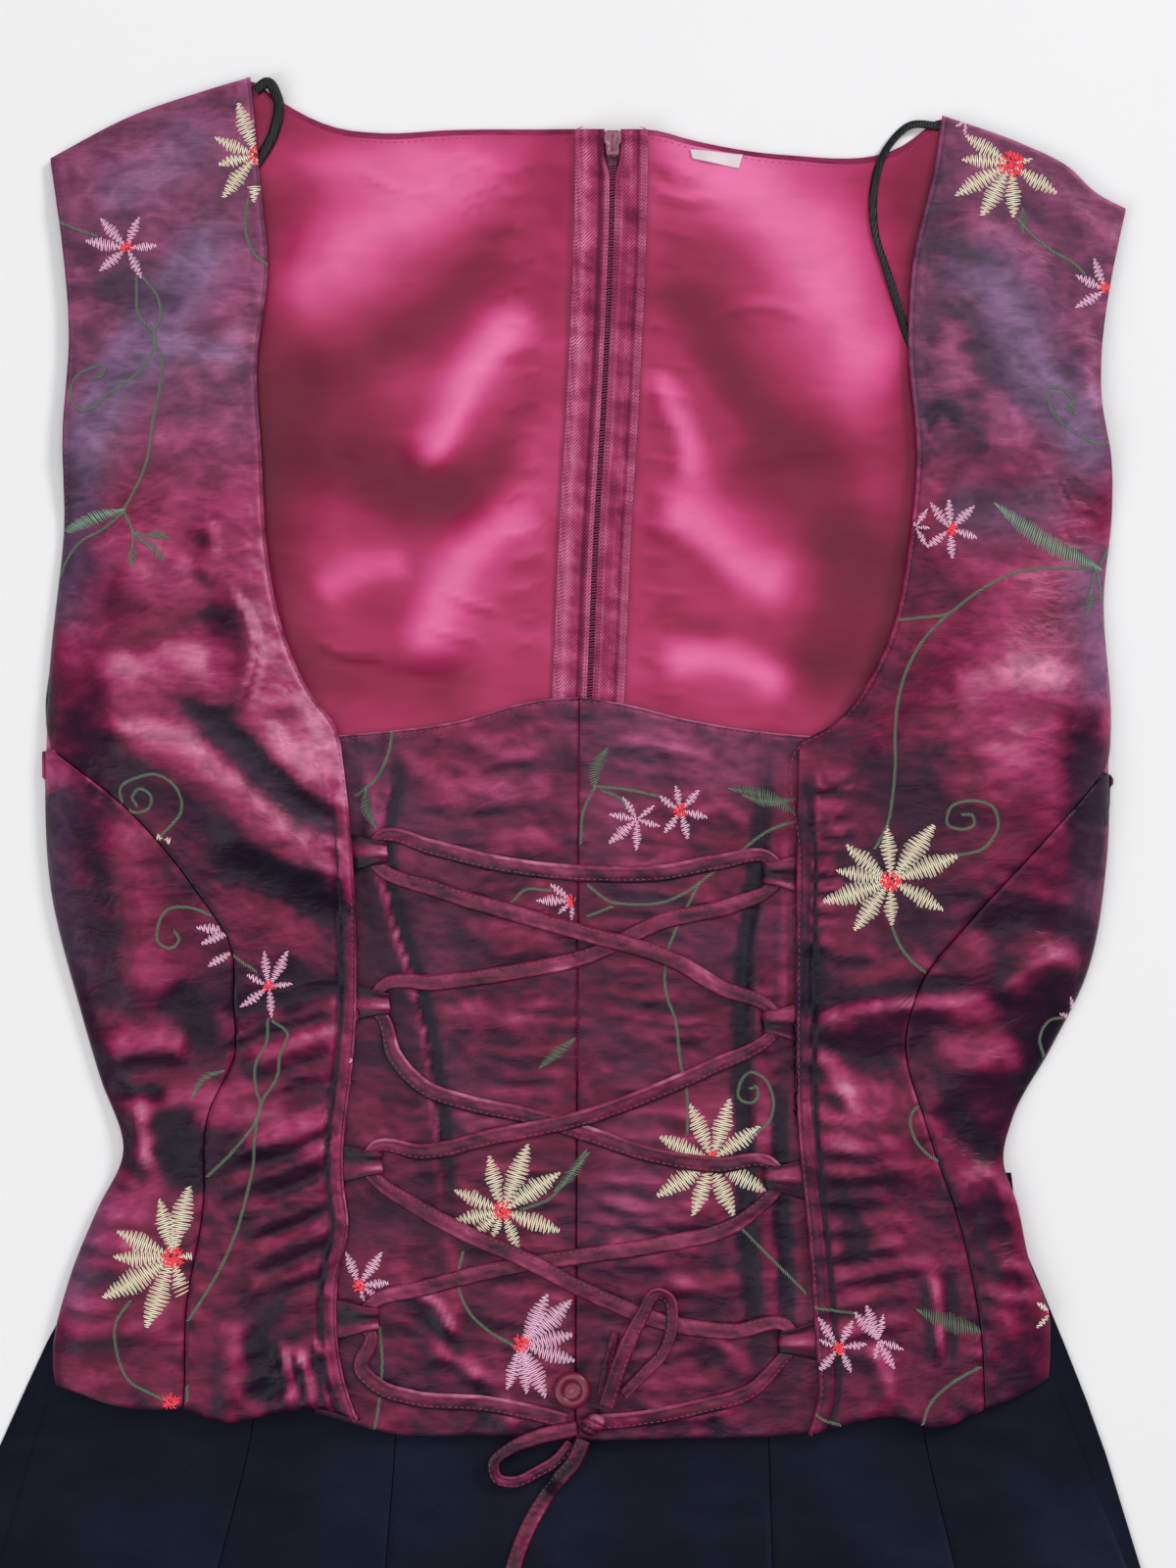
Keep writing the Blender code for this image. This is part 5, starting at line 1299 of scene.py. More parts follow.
@dataclass
class Panel:
    """A flat-cut piece of cloth between four edges, lying at the height that its layer gives.

    Attributes:
        name: the piece's and the solid's name.
        bottom: its lower edge at u.
        right: its right edge at v.
        top: its upper edge at u.
        left: its left edge at v.
        u: fractions across.
        v: fractions up.
        height: the layer's upper face.
        finish: its cloth.
        slot: a name for its finish, handed to piece, which does not use it.
        wall: its thickness.
        fullness: the cut's area for each unit of the plan that it covers; not used.
        tone: painted light and shade and random patches, added to that of its slopes.
        slate: its painted slate sheen.
        contrast: how strongly its slopes get painted light and shade.
        rests_on: what it lies on; not used.
    """

    name: str
    bottom: Array
    right: Array
    top: Array
    left: Array
    u: Array
    v: Array
    height: Height
    finish: ClothFinish
    slot: str
    wall: float
    rests_on: tuple[str, ...]
    fullness: float = 1.03
    tone: Height | None = None
    slate: Height | None = None
    contrast: float = 2.6
    points: Array = field(init=False)

    def __post_init__(self) -> None:
        """Work out the net."""
        self.points = fill(self.bottom, self.right, self.top, self.left, self.u, self.v)

    @property
    def outline(self) -> Array:
        """Its closed outline in the plan."""
        p = self.points
        return np.vstack([p[:, 0], p[-1, 1:], p[-2::-1, -1], p[0, -2:0:-1]])

    def build(self) -> bpy.types.Object:
        """Make the piece.

        Returns:
            The object.
        """
        x, y = self.points[..., 0], self.points[..., 1]
        placed = np.dstack([self.points, self.height(x, y)])
        # Painted light and shade: each slope is lighter as it faces the painted light's direction and darker as it
        # faces away.
        turn = self.contrast * slopes(placed)
        # The turned edges keep the painted light and shade of the cloth beside them.
        turn[:3], turn[-3:] = turn[3], turn[-4]
        turn[:, 0], turn[:, -1] = turn[:, 1], turn[:, -2]
        widths = np.ptp(x, axis=0)
        turn[:, widths < 0.3 * widths.max()] = -0.3  # where the panel runs out to a point, a fixed darker tone takes the place of the painted light and shade of its slopes
        if self.tone:
            turn = turn + self.tone(x, y)
        slate = self.slate(x, y) if self.slate else np.zeros(x.shape)
        colours = self.finish.colours(np.tanh(turn).ravel(), slate.ravel())
        made = piece(self.name, placed, net(*x.shape), self.finish, self.slot, [self.name], colours, wall=self.wall)
        if np.ptp(y) < 12:
            return made  # small pieces are returned the same way
        return made


@dataclass
class Bodice:
    """The bodice's cloth: fronts, side fronts, the insert, the back and its lining."""

    front: FrontLayer
    insert: InsertLayer
    lining: LiningLayer
    back: BackLayer

    def front_rows(self, side_pitch: float) -> Array:
        """Fractions up a front, which its two-part edges share."""
        low = even(round(294 / side_pitch)) * JOINT
        high = JOINT + (1 - JOINT) * fractions(284, side_pitch, (), (0, 0.6, 1.4, 2.6, 4.4))
        return np.r_[low, high[1:]]

    def build_fronts(self) -> list[Panel]:
        """The two fronts, from the shoulders to the hem, and the side fronts below the bust.

        Returns:
            The panels.
        """
        rows = self.front_rows(2.2)
        laid = dict(height=self.front.top, finish=TAFFETA_FINISH, slot="taffeta", wall=TAFFETA,
                    tone=self.front.tone, slate=self.front.slate, fullness=1.06)
        at = fractions(96, 2.2, SEAM_LINES, FACING_LINES)
        made = [Panel("bodice_front_left", smooth(HEM_FRONT_LEFT, at), two_part(LACING_LEFT, NECK_LEFT, rows),
                      smooth(SHOULDER_LEFT, at), two_part(PRINCESS_LEFT, SIDE_LEFT_HIGH, rows), at, rows,
                      rests_on=("back_lining_left", "insert_left"), **laid)]
        at = fractions(96, 2.2, FACING_LINES, SEAM_LINES)
        made.append(Panel("bodice_front_right", smooth(HEM_FRONT_RIGHT, at),
                          two_part(PRINCESS_RIGHT, SIDE_RIGHT_HIGH, rows), smooth(SHOULDER_RIGHT, at),
                          two_part(LACING_RIGHT, NECK_RIGHT, rows), at, rows,
                          rests_on=("back_lining_right", "insert_right"), **laid))
        rows = fractions(300, 2.4, (0, 0.6, 1.4, 2.6))
        at = fractions(58, 2.4, (0, 0.8, 1.8), SEAM_LINES)
        made.append(Panel("side_front_left", smooth(HEM_SIDE_LEFT, at), smooth(PRINCESS_LEFT, rows),
                          smooth([SIDE_LEFT_LOW[-1], PRINCESS_LEFT[-1]], at), smooth(SIDE_LEFT_LOW, rows), at, rows,
                          rests_on=("bodice_back_left",), **laid))
        at = fractions(58, 2.4, SEAM_LINES, (0, 0.8, 1.8))
        made.append(Panel("side_front_right", smooth(HEM_SIDE_RIGHT, at), smooth(SIDE_RIGHT_LOW, rows),
                          smooth([PRINCESS_RIGHT[-1], SIDE_RIGHT_LOW[-1]], at), smooth(PRINCESS_RIGHT, rows),
                          at, rows, rests_on=("bodice_back_right",), **laid))
        return made

    def build_insert(self) -> list[Panel]:
        """The insert's two halves, with their centre seam.

        Returns:
            The panels.
        """
        rows = fractions(314, 1.7, (0, 0.6, 1.4, 2.4), (0, 0.35, 0.75, 1.2, 1.7, 2.2, 2.8, 3.8))
        laid = dict(height=self.insert.top, finish=TAFFETA_FINISH, slot="taffeta", wall=TAFFETA,
                    tone=self.insert.tone, slate=self.insert.slate, contrast=2.9)
        centre = smooth(CENTRE_SEAM, rows)
        at = fractions(110, 1.9, (), SEAM_LINES)
        made = [Panel("insert_left", smooth(INSERT_HEM_LEFT, at), centre, smooth(INSERT_TOP_LEFT, at),
                      smooth([INSERT_HEM_LEFT[0], INSERT_TOP_LEFT[0]], rows), at, rows,
                      rests_on=("bodice_back_left",), **laid)]
        at = fractions(108, 1.9, SEAM_LINES, ())
        made.append(Panel("insert_right", smooth(INSERT_HEM_RIGHT, at),
                          smooth([INSERT_HEM_RIGHT[-1], INSERT_TOP_RIGHT[-1]], rows), smooth(INSERT_TOP_RIGHT, at),
                          centre, at, rows, rests_on=("bodice_back_right",), **laid))
        return made

    def build_back(self) -> list[Panel]:
        """The back's two plain halves, which part in a narrow V at the slider.

        Returns:
            The panels.
        """
        rows = even(104)
        straight = [(-2, -268), (-1.6, -5), (3.3, 103), (7, 167)]
        middle_left = straight + [(8.2, 205), (8.9, 238), (8.2, 262), (7.2, 278)]
        middle_right = straight + [(8.9, 205), (10.9, 238), (12.4, 262), (13.6, 278)]
        laid = dict(height=self.back.top, finish=TAFFETA_FINISH, slot="taffeta", wall=TAFFETA, tone=self.back.tone,
                    rests_on=("skirt_side_left", "skirt_front_centre", "skirt_side_right"))
        shoulder, neck = 0.4, 0.6
        at = fractions(226, 5.6, (0, 0.8, 1.8, 3.2), (0, 0.8, 1.8, 3.2))
        top = np.vstack([smooth(SHOULDER_LEFT, at[at <= shoulder] / shoulder),
                         smooth(NECK_BACK_LEFT, (at[at > shoulder] - shoulder) / neck)])
        made = [Panel("bodice_back_left", smooth(HEM_BACK_LEFT, at), smooth(middle_left, rows), top,
                      smooth(WHOLE_LEFT, rows), at, rows, **laid)]
        top = np.vstack([smooth(NECK_BACK_RIGHT, at[at <= neck] / neck),
                         smooth(SHOULDER_RIGHT, (at[at > neck] - neck) / shoulder)])
        made.append(Panel("bodice_back_right", smooth(HEM_BACK_RIGHT, at), smooth(WHOLE_RIGHT, rows), top,
                          smooth(middle_right, rows), at, rows, **laid))
        return made

    def build_lining(self) -> list[Panel]:
        """The satin lining of the back, as far as the neck opening shows it.

        Returns:
            The panels.
        """
        rows = fractions(285, 2.6, (), (0, 0.6, 1.4, 2.6))
        laid = dict(height=self.lining.top, finish=SATIN_FINISH, slot="lining_satin", wall=0.6,
                    tone=self.lining.tone, contrast=1.8, fullness=1.08)
        at = fractions(140, 2.6, (), (0, 0.7, 1.6))
        made = [Panel("back_lining_left", smooth(LINING_LOW_LEFT, at), smooth(LINING_MIDDLE_LEFT, rows),
                      smooth(LINING_TOP_LEFT, at), smooth(LINING_SIDE_LEFT, rows), at, rows,
                      rests_on=("bodice_back_left",), **laid)]
        at = fractions(132, 2.6, (0, 0.7, 1.6), ())
        made.append(Panel("back_lining_right", smooth(LINING_LOW_RIGHT, at), smooth(LINING_SIDE_RIGHT, rows),
                          smooth(LINING_TOP_RIGHT, at), smooth(LINING_MIDDLE_RIGHT, rows), at, rows,
                          rests_on=("bodice_back_right",), **laid))
        return made

    def build(self) -> None:
        """Make every panel of the bodice."""
        for panel in self.build_back() + self.build_lining() + self.build_insert() + self.build_fronts():
            panel.build()


@dataclass
class Skirt:
    """The gored skirt, folded under the bodice: five front gores in flutes, four back gores and two waistbands."""

    front: SkirtLayer

    def edge(self, line: Line, at: Array) -> Array:
        """A gore's seam from the hem up."""
        made = smooth(line[::-1], at)
        made[0, 1] = hem_y(made[0, 0])
        return made

    def gore(self, name: str, lines: tuple[Line, Line], height: Height, fine: bool, rests_on: tuple[str, ...]) -> Panel:
        """One gore between two seams.

        Args:
            name: its name.
            lines: its left and right seams, from the waist down.
            height: of its upper face.
            fine: whether it shows.
            rests_on: what it lies on.

        Returns:
            The panel.
        """
        rows = fractions(770, 4.4 if fine else 24, (0, 1.2, 3.0))
        left, right = (self.edge(line, rows) for line in lines)
        wide = np.linalg.norm(right - left, axis=1).mean()
        at = fractions(wide, 5.4 if fine else 20, SEAM_LINES if fine else (), SEAM_LINES if fine else ())
        low_x = np.interp(at, [0, 1], [left[0, 0], right[0, 0]])
        return Panel(name, np.column_stack([low_x, hem_y(low_x)]), right, smooth([left[-1], right[-1]], at), left,
                     at, rows, height, TWILL_FINISH, "skirt_twill", TWILL, rests_on,
                     tone=lambda x, y: 0.5 * DRIFT(x / 50, y / 160), contrast=2.4, fullness=1.04 if fine else 1.0)

    def build(self) -> None:
        """Make every gore and both waistbands."""
        backs = ["skirt_back_far_left", "skirt_back_left", "skirt_back_right", "skirt_back_far_right"]
        fronts = ["skirt_side_left", "skirt_front_left", "skirt_front_centre", "skirt_front_right",
                  "skirt_side_right"]
        lines = [SKIRT_BACK_EDGES[0]]
        ends = [(SKIRT_BACK_EDGES[0][i][0], SKIRT_BACK_EDGES[1][i][0]) for i in (0, -1)]
        for share in (0.27, 0.5, 0.73):
            top, foot = (low * (1 - share) + high * share for low, high in ends)
            lines.append([(top, WAIST_SEAM), (foot, float(hem_y(foot)))])
        lines.append(SKIRT_BACK_EDGES[1])
        for name, pair in zip(backs, zip(lines, lines[1:])):
            self.gore(name, pair, lambda x, y: TWILL + 0 * x, False, ("floor",)).build()
        for name, pair in zip(fronts, zip(SKIRT_LINES, SKIRT_LINES[1:])):
            self.gore(name, pair, self.front.top, True, tuple(backs)).build()
        for name, left, right, low in (("waistband_back", -203, 183, 0.0),
                                       ("waistband_front", -195, 177, SKIRT_FRONT_Z)):
            foot, head = WAIST_SEAM + SEAM_GAP, WAIST_TOP
            at, rows = even(60), even(9)
            Panel(name, smooth([(left, foot), (right, foot)], at), smooth([(right, foot), (right - 3, head)], rows),
                  smooth([(left + 3, head), (right - 3, head)], at), smooth([(left, foot), (left + 3, head)], rows),
                  at, rows, lambda x, y, z=low: z + TWILL + 0 * x, TWILL_FINISH, "skirt_twill", TWILL,
                  ("floor",) if low == 0 else ("waistband_back",), fullness=1.0).build()


# ---------------------------------------------------------------- bands and threads

def band(line: Array, widths: Array, thickness: float, lift: Array | None = None, columns: int = 6,
         tilt: Array | None = None, crown: float = 0.15) -> tuple[Array, list]:
    """A folded flat band along a line, with rounded edges and closed ends.

    Args:
        line: the points of its middle.
        widths: its width at each point.
        thickness: of the band.
        lift: the height added to each point across it, one row for each point of the line.
        columns: how many steps it has across.
        tilt: how far it tips about its line at each point, in radians.
        crown: how much its middle is raised.

    Returns:
        Its points and faces.
    """
    run = np.gradient(line, axis=0)
    along = run / np.linalg.norm(run, axis=1)[:, None]
    side = np.column_stack([-run[:, 1], run[:, 0], np.zeros(len(run))])
    side /= np.maximum(np.linalg.norm(side, axis=1), 1e-9)[:, None]
    up = np.cross(along, side)
    if tilt is not None:
        turn = tilt[:, None]
        side, up = side * np.cos(turn) + up * np.sin(turn), up * np.cos(turn) - side * np.sin(turn)
    place = np.linspace(1, -1, columns + 1)
    round_off = np.sqrt(np.clip(1 - np.abs(place) ** 6, 0.03, 1)) * thickness / 2
    rings = []
    for i, centre in enumerate(line):
        half = widths[i] / 2
        rise = crown * (1 - place**2) + (lift[i] if lift is not None else 0)
        high = centre + np.outer(place * half, side[i]) + np.outer(rise + round_off, up[i])
        low = centre + np.outer(place * half, side[i]) + np.outer(rise - round_off, up[i])
        rings.append(np.vstack([high, low[::-1]]))
    sides = 2 * (columns + 1)
    return np.vstack(rings), tube_faces(len(line), sides)


def painted_light_of_rings(points: Array, sides: int, finish: ClothFinish, contrast: float, shift: Array | float = 0.0) -> Array:
    """Painted light and shade over a band's rings, from how its slopes face the painted light's direction.

    Args:
        points: its points, ring by ring.
        sides: how many points a ring has.
        finish: its cloth.
        contrast: how strongly its slopes get painted light and shade.
        shift: the tone added at each point.

    Returns:
        A linear colour for each point.
    """
    rings = points.reshape(-1, sides, 3)
    around = np.roll(rings, -1, axis=1) - np.roll(rings, 1, axis=1)
    run = np.gradient(rings, axis=0)
    normal = np.cross(run, around)
    normal /= np.maximum(np.linalg.norm(normal, axis=2), 1e-9)[..., None]
    facing = np.sign(np.median(normal[:, : sides // 2, 2])) or 1.0
    slope = facing * (normal[..., 0] * PAINTED_LIGHT_FROM[0] + normal[..., 1] * PAINTED_LIGHT_FROM[1])
    tone = np.tanh(contrast * np.clip(slope, -0.8, 0.8)).ravel() + shift
    return finish.colours(np.clip(tone, -1, 1), np.zeros(len(points)))


def tubes(lines: list[Array], radius: float, taper: bool = True) -> tuple[Array, list]:
    """Many short threads as one mesh, each flattened as a taut stitch is.

    Args:
        lines: the points of each thread, all with the same count.
        radius: of the thread.
        taper: whether it narrows at both ends.

    Returns:
        Their points and faces.
    """
    stack = np.array(lines)
    count, rings = stack.shape[:2]
    run = np.gradient(stack, axis=1)
    run /= np.maximum(np.linalg.norm(run, axis=2), 1e-9)[..., None]
    across_it = np.stack([-run[..., 1], run[..., 0], np.zeros(run.shape[:2])], axis=-1)
    across_it /= np.maximum(np.linalg.norm(across_it, axis=2), 1e-6)[..., None]
    over = np.cross(run, across_it)
    size = np.full(rings, radius)
    if taper:
        size[[0, -1]] = radius * 0.4
    section = np.array([(0.5, 0.45), (-0.5, 0.45), (-1.05, -0.4), (1.05, -0.4)])
    sides = len(section)
    ring = section[:, 0, None, None, None] * across_it + section[:, 1, None, None, None] * over
    points = stack[:, :, None, :] + np.moveaxis(ring, 0, 2) * size[None, :, None, None]
    base = np.array(net(rings, sides, closed=True))
    caps = np.array([list(range(sides))[::-1], [(rings - 1) * sides + i for i in range(sides)]])
    faces = np.concatenate([base, caps])
    offsets = (np.arange(count) * rings * sides)[:, None, None]
    return points.reshape(-1, 3), (faces[None] + offsets).reshape(-1, faces.shape[1])


def cord_of(line: Array, radius: float | Array, sides: int = 8) -> tuple[Array, list]:
    """A round cord along a line, with closed ends."""
    run = np.gradient(line, axis=0)
    run /= np.linalg.norm(run, axis=1)[:, None]
    first = np.cross(run, [0.0, 0.0, 1.0])
    weak = np.linalg.norm(first, axis=1) < 1e-3
    first[weak] = [1, 0, 0]
    first /= np.linalg.norm(first, axis=1)[:, None]
    second = np.cross(run, first)
    angle = np.linspace(0, 2 * np.pi, sides, endpoint=False)
    size = np.broadcast_to(radius, len(line))[:, None, None]
    points = line[:, None] + size * (np.cos(angle)[None, :, None] * first[:, None]
                                     + np.sin(angle)[None, :, None] * second[:, None])
    return points.reshape(-1, 3), tube_faces(len(line), sides)


def merged(parts: Iterable[tuple[Array, Sequence]]) -> tuple[Array, list]:
    """Several meshes as one."""
    points, faces, base = [], [], 0
    for part_points, part_faces in parts:
        points.append(part_points)
        faces.extend([[int(i) + base for i in face] for face in part_faces])
        base += len(part_points)
    return np.vstack(points), faces


# ---------------------------------------------------------------- the zip and the trims

@dataclass
class Zip:
    """The concealed zip, seen from inside: two tapes, the coil, the slider and its pull on the outside."""

    TAPE = 0.7
    PARTING = 1.0
    OPENED = 2.4
    OPENS = (256, 267)
    TOOTH = 1.15
    SLIDER = (7.6, 10.5, 2.2)
    PULL_AXIS = 1.4
    PULL = (5.0, 22.0, 0.8)
    PULL_ROUND = 2.5
    SLOT_MIDDLE = (0.0, -2.5)
    SLOT_HALF = (1.4, 2.1)
    RIM_POINTS = 72

    def half_gap(self, y: Array) -> Array:
        """How far each tape's inner edge is from the zip's line."""
        return self.PARTING + self.OPENED * step(*self.OPENS, y)

    def tape_top(self, x: Array, y: Array) -> Array:
        """The upper face of a tape: a raised welt beside the coil, flat out to a thick overlocked edge."""
        off = np.abs(x - zip_x(y))
        reach = TAPE_REACH[1] - 0.5
        welt = 0.7 * np.exp(-(((off - 3.2 - 1.6 * step(*self.OPENS, y)) / 1.4) ** 2))
        stitched = -0.3 * np.exp(-(((off - 6.3) / 0.4) ** 2)) - 0.3 * np.exp(-(((off - 8.3) / 0.4) ** 2))
        edge = 0.7 * step(reach - 4.0, reach - 2.8, off) + 0.35 * RIPPLE(off / 2, y / 1.7)
        folded = 0.8 * step(271, 274, y)
        wave = 0.9 * RIPPLE(x / 22, y / 11) + 0.5 * RIPPLE(x / 13 + 5, y / 5)
        wave = wave * step(1, 6, off)
        return tape_z(y) + LINING - 0.1 + welt + stitched + edge * step(4, 8, off) + folded + wave

    def tone(self, x: Array, y: Array) -> Array:
        """The tape's tone: lighter beside the coil and on its thick edge, darker just beyond the raised welt, with
        random patches.
        """
        off = np.abs(x - zip_x(y))
        return (0.35 * np.exp(-(((off - 1.8) / 1.2) ** 2)) - 0.5 * np.exp(-(((off - 5.2) / 1.0) ** 2))
                + 0.4 * step(10.5, 12.5, off) + 0.5 * DRIFT(x / 7, y / 9))

    def build_tapes(self) -> None:
        """Make the two woven tapes."""
        rows = fractions(399, 1.5)
        line = smooth(ZIP_LINE, rows)
        gap = self.half_gap(line[:, 1])
        near = (0, 0.5, 1.1, 1.8, 2.6, 3.4)
        for name, side, far in (("zip_tape_left", -1, TAPE_REACH[0]), ("zip_tape_right", 1, TAPE_REACH[1])):
            inner = line + np.column_stack([side * gap, 0 * gap])
            outer = line + np.array([far, 0])
            left, right = (outer, inner) if side < 0 else (inner, outer)
            at = fractions(14, 0.9, (), near) if side < 0 else fractions(14, 0.9, near, ())
            Panel(name, smooth([left[0], right[0]], at), right, smooth([left[-1], right[-1]], at), left, at, rows,
                  self.tape_top, TAPE_FINISH, "zip_tape", self.TAPE, ("back_lining" + name[8:],), tone=self.tone,
                  contrast=2.0, fullness=1.0).build()

    def build_coil(self) -> None:
        """Make the coil as close turns, each a bead across the line."""
        line = spaced([(x, y) for x, y in ZIP_LINE], self.TOOTH)
        line = line[(line[:, 1] < SLIDER_Y - 8) & (line[:, 1] > -20)]
        beads = []
        for i, (x, y) in enumerate(line):
            z = float(tape_z(y)) + LINING / 2 + 0.1
            lean = 0.45 if i % 2 else -0.45
            beads.append(np.array([(x - 1.5, y - 0.3, z - 0.25), (x + lean, y, z + 0.55),
                                   (x + 1.5, y + 0.3, z - 0.25)]))
        low = [(x, y) for x, y in spaced(ZIP_LINE, 4) if y <= -18]
        core = np.array([(x, y, float(tape_z(y)) + LINING / 2) for x, y in low])
        made = merged([tubes(beads, 0.47, taper=False), cord_of(core, 0.85, 8)])
        piece("zip_coil", *made, COIL_FINISH, "zip_coil", ["zip_coil"])

    def build_slider(self) -> None:
        """Make the slider's arched plate, its shallow wells, and the bridge on the outside that holds the pull."""
        x = float(zip_x(SLIDER_Y))
        wide, long, thick = self.SLIDER
        low = POCKET * 1.3 + TAPE_Z + LINING + LAY
        # The plate seen from above: a broad round head that narrows to a squared foot.
        shape = [(0.5, 0.5), (0.5, 0.18), (0.47, 0.02), (0.37, -0.08), (0.35, -0.44), (0.3, -0.5)]
        half = np.array([(0.0, 0.5), (0.28, 0.5), (0.43, 0.44)] + shape[1:] + [(0.0, -0.5)])
        ring = np.vstack([half, half[-2:0:-1] * [-1, 1]])
        ring = spaced(np.vstack([ring, ring[:1]]), 0.05)[:-1] * [wide, long]
        levels = [(0.0, 0.93), (0.12, 0.99), (0.5, 1.0), (0.82, 0.99), (0.96, 0.94), (1.0, 0.86), (0.98, 0.6),
                  (0.92, 0.56), (0.9, 0.3), (0.9, 0.02)]
        rings = [np.column_stack([ring * size + [x, SLIDER_Y], np.full(len(ring), low + level * thick)])
                 for level, size in levels]
        plate = (np.vstack(rings), tube_faces(len(levels), len(ring)))
        rib = cord_of(np.array([(x, SLIDER_Y + 3.6, low + 1.9), (x, SLIDER_Y + 1, low + 2.15),
                                (x, SLIDER_Y - 3.6, low + 2.0)]), 0.5)
        deep = low + 0.5 * thick
        bridge = np.array([(x, SLIDER_Y - 2.35, deep), (x, SLIDER_Y - 2.4, 1.2), (x, SLIDER_Y - 2.0, 0.65),
                           (x, SLIDER_Y - 1.2, 0.47), (x, SLIDER_Y + 1.2, 0.47), (x, SLIDER_Y + 2.0, 0.65),
                           (x, SLIDER_Y + 2.4, 1.2), (x, SLIDER_Y + 2.35, deep)])
        made = merged([plate, rib, cord_of(smooth(bridge, even(30)), 0.33, 8)])
        piece("zip_slider", *made, SLIDER_FINISH, "slider_paint", ["zip_slider"])

    def build_pull(self) -> None:
        """Make the pull: a flat drop with a slot at its bar, rounded at its end."""
        x = float(zip_x(SLIDER_Y))
        wide, long, thick = self.PULL
        half = wide / 2
        low = self.PULL_ROUND - long
        outer = [(-2.3, 0.4), (2.3, 0.4), (2.3, -6), (half, -8), (half, low)]
        outer += [(half * math.cos(a), low - self.PULL_ROUND * math.sin(a)) for a in np.linspace(0.3, 2.84, 9)]
        outer += [(-half, low), (-half, -8), (-2.3, -6)]
        around = np.vstack([outer, outer[:1]])
        count = self.RIM_POINTS
        gone = gone_along(around)
        at = even(count)[:-1] * gone[-1]
        rim = np.column_stack([np.interp(at, gone, around[:, i]) for i in (0, 1)])
        # Each point of the rim is joined to the point of the slot's edge in its direction.
        middle = np.array(self.SLOT_MIDDLE)
        slot = []
        for px, py in rim - middle:
            scale = min(self.SLOT_HALF[0] / max(abs(px), 1e-6), self.SLOT_HALF[1] / max(abs(py), 1e-6))
            slot.append((px * scale, py * scale))
        slot = np.array(slot) + middle
        levels = [(slot, -0.36), (slot, 0.36), (slot * 0.93 + rim * 0.07, 0.5), (rim * 0.93 + slot * 0.07, 0.5),
                  (rim, 0.3), (rim, -0.3), (rim * 0.93 + slot * 0.07, -0.5), (slot * 0.93 + rim * 0.07, -0.5)]
        rings = np.stack([np.column_stack([ring[:, 0] + x, ring[:, 1] + SLIDER_Y,
                                           np.full(count, self.PULL_AXIS + level * thick)])
                          for ring, level in levels])
        index = np.arange(len(levels) * count).reshape(len(levels), count)
        index = np.vstack([index, index[:1]])
        index = np.column_stack([index, index[:, 0]])
        faces = np.stack([index[:-1, :-1], index[1:, :-1], index[1:, 1:], index[:-1, 1:]], axis=-1).reshape(-1, 4)
        piece("zip_pull", rings.reshape(-1, 3), faces, SLIDER_FINISH, "slider_paint", ["zip_pull"], body="zip_pull")

    def build(self) -> None:
        """Make the whole zip."""
        self.build_tapes()
        self.build_coil()
        self.build_slider()
        self.build_pull()


@dataclass
class Trims:
    """The folded neck label, left plain, and the two hanging loops."""

    lining: LiningLayer

    def build(self) -> None:
        """Make the label and the loops."""
        rows, columns = even(6), even(18)
        Panel("neck_label", smooth([(44, 265), (64, 260.5)], columns), smooth([(64, 260.5), (65.8, 267)], rows),
              smooth([(43, 269.5), (65.8, 267)], columns), smooth([(44, 265), (43, 269.5)], rows), columns, rows,
              lambda x, y: self.lining.top(x, y) + 1.1 + 0.5 * step(44, 50, x) * np.sin((x - 44) / 3.4),
              LABEL_FINISH, "label_satin", 0.5, ("back_lining_right",), contrast=1.0, fullness=1.0).build()
        left = [(-141, 294), (-136, 297.5), (-131.5, 290), (-133, 277), (-140, 264), (-147, 255)]
        right = [(149, 279), (137, 279.5), (127, 270), (121, 250), (122, 233), (127, 217), (131, 204), (137, 186),
                 (146, 172)]
        self.hanger("hanger_loop_left", left, 4.6, 1.7, 0.25)
        self.hanger("hanger_loop_right", right, 3.6, 0.8, 0.5)

    def hanger(self, name: str, route: Line, width: float, thickness: float, twist: float) -> None:
        """One loop of ribbed ribbon.

        Args:
            name: its name.
            route: where it lies.
            width: of the ribbon.
            thickness: of the ribbon.
            twist: how far it tips as it runs, in radians.
        """
        line = spaced(route, 1.1)
        lie = self.lining.top(line[:, 0], line[:, 1]) + LAY + thickness / 2 + 0.5
        at = even(len(line) - 1)
        made = band(np.column_stack([line, lie]), np.full(len(line), width), thickness, columns=8,
                    tilt=twist * np.sin(at * 9), crown=0.2)
        # Painted light and shade from how the ribbon's slopes face the painted light's direction.
        piece(name, *made, HANGER_FINISH, "hanger_tape", [name], painted_light_of_rings(made[0], 18, HANGER_FINISH, 0.9))


# ---------------------------------------------------------------- the lacing

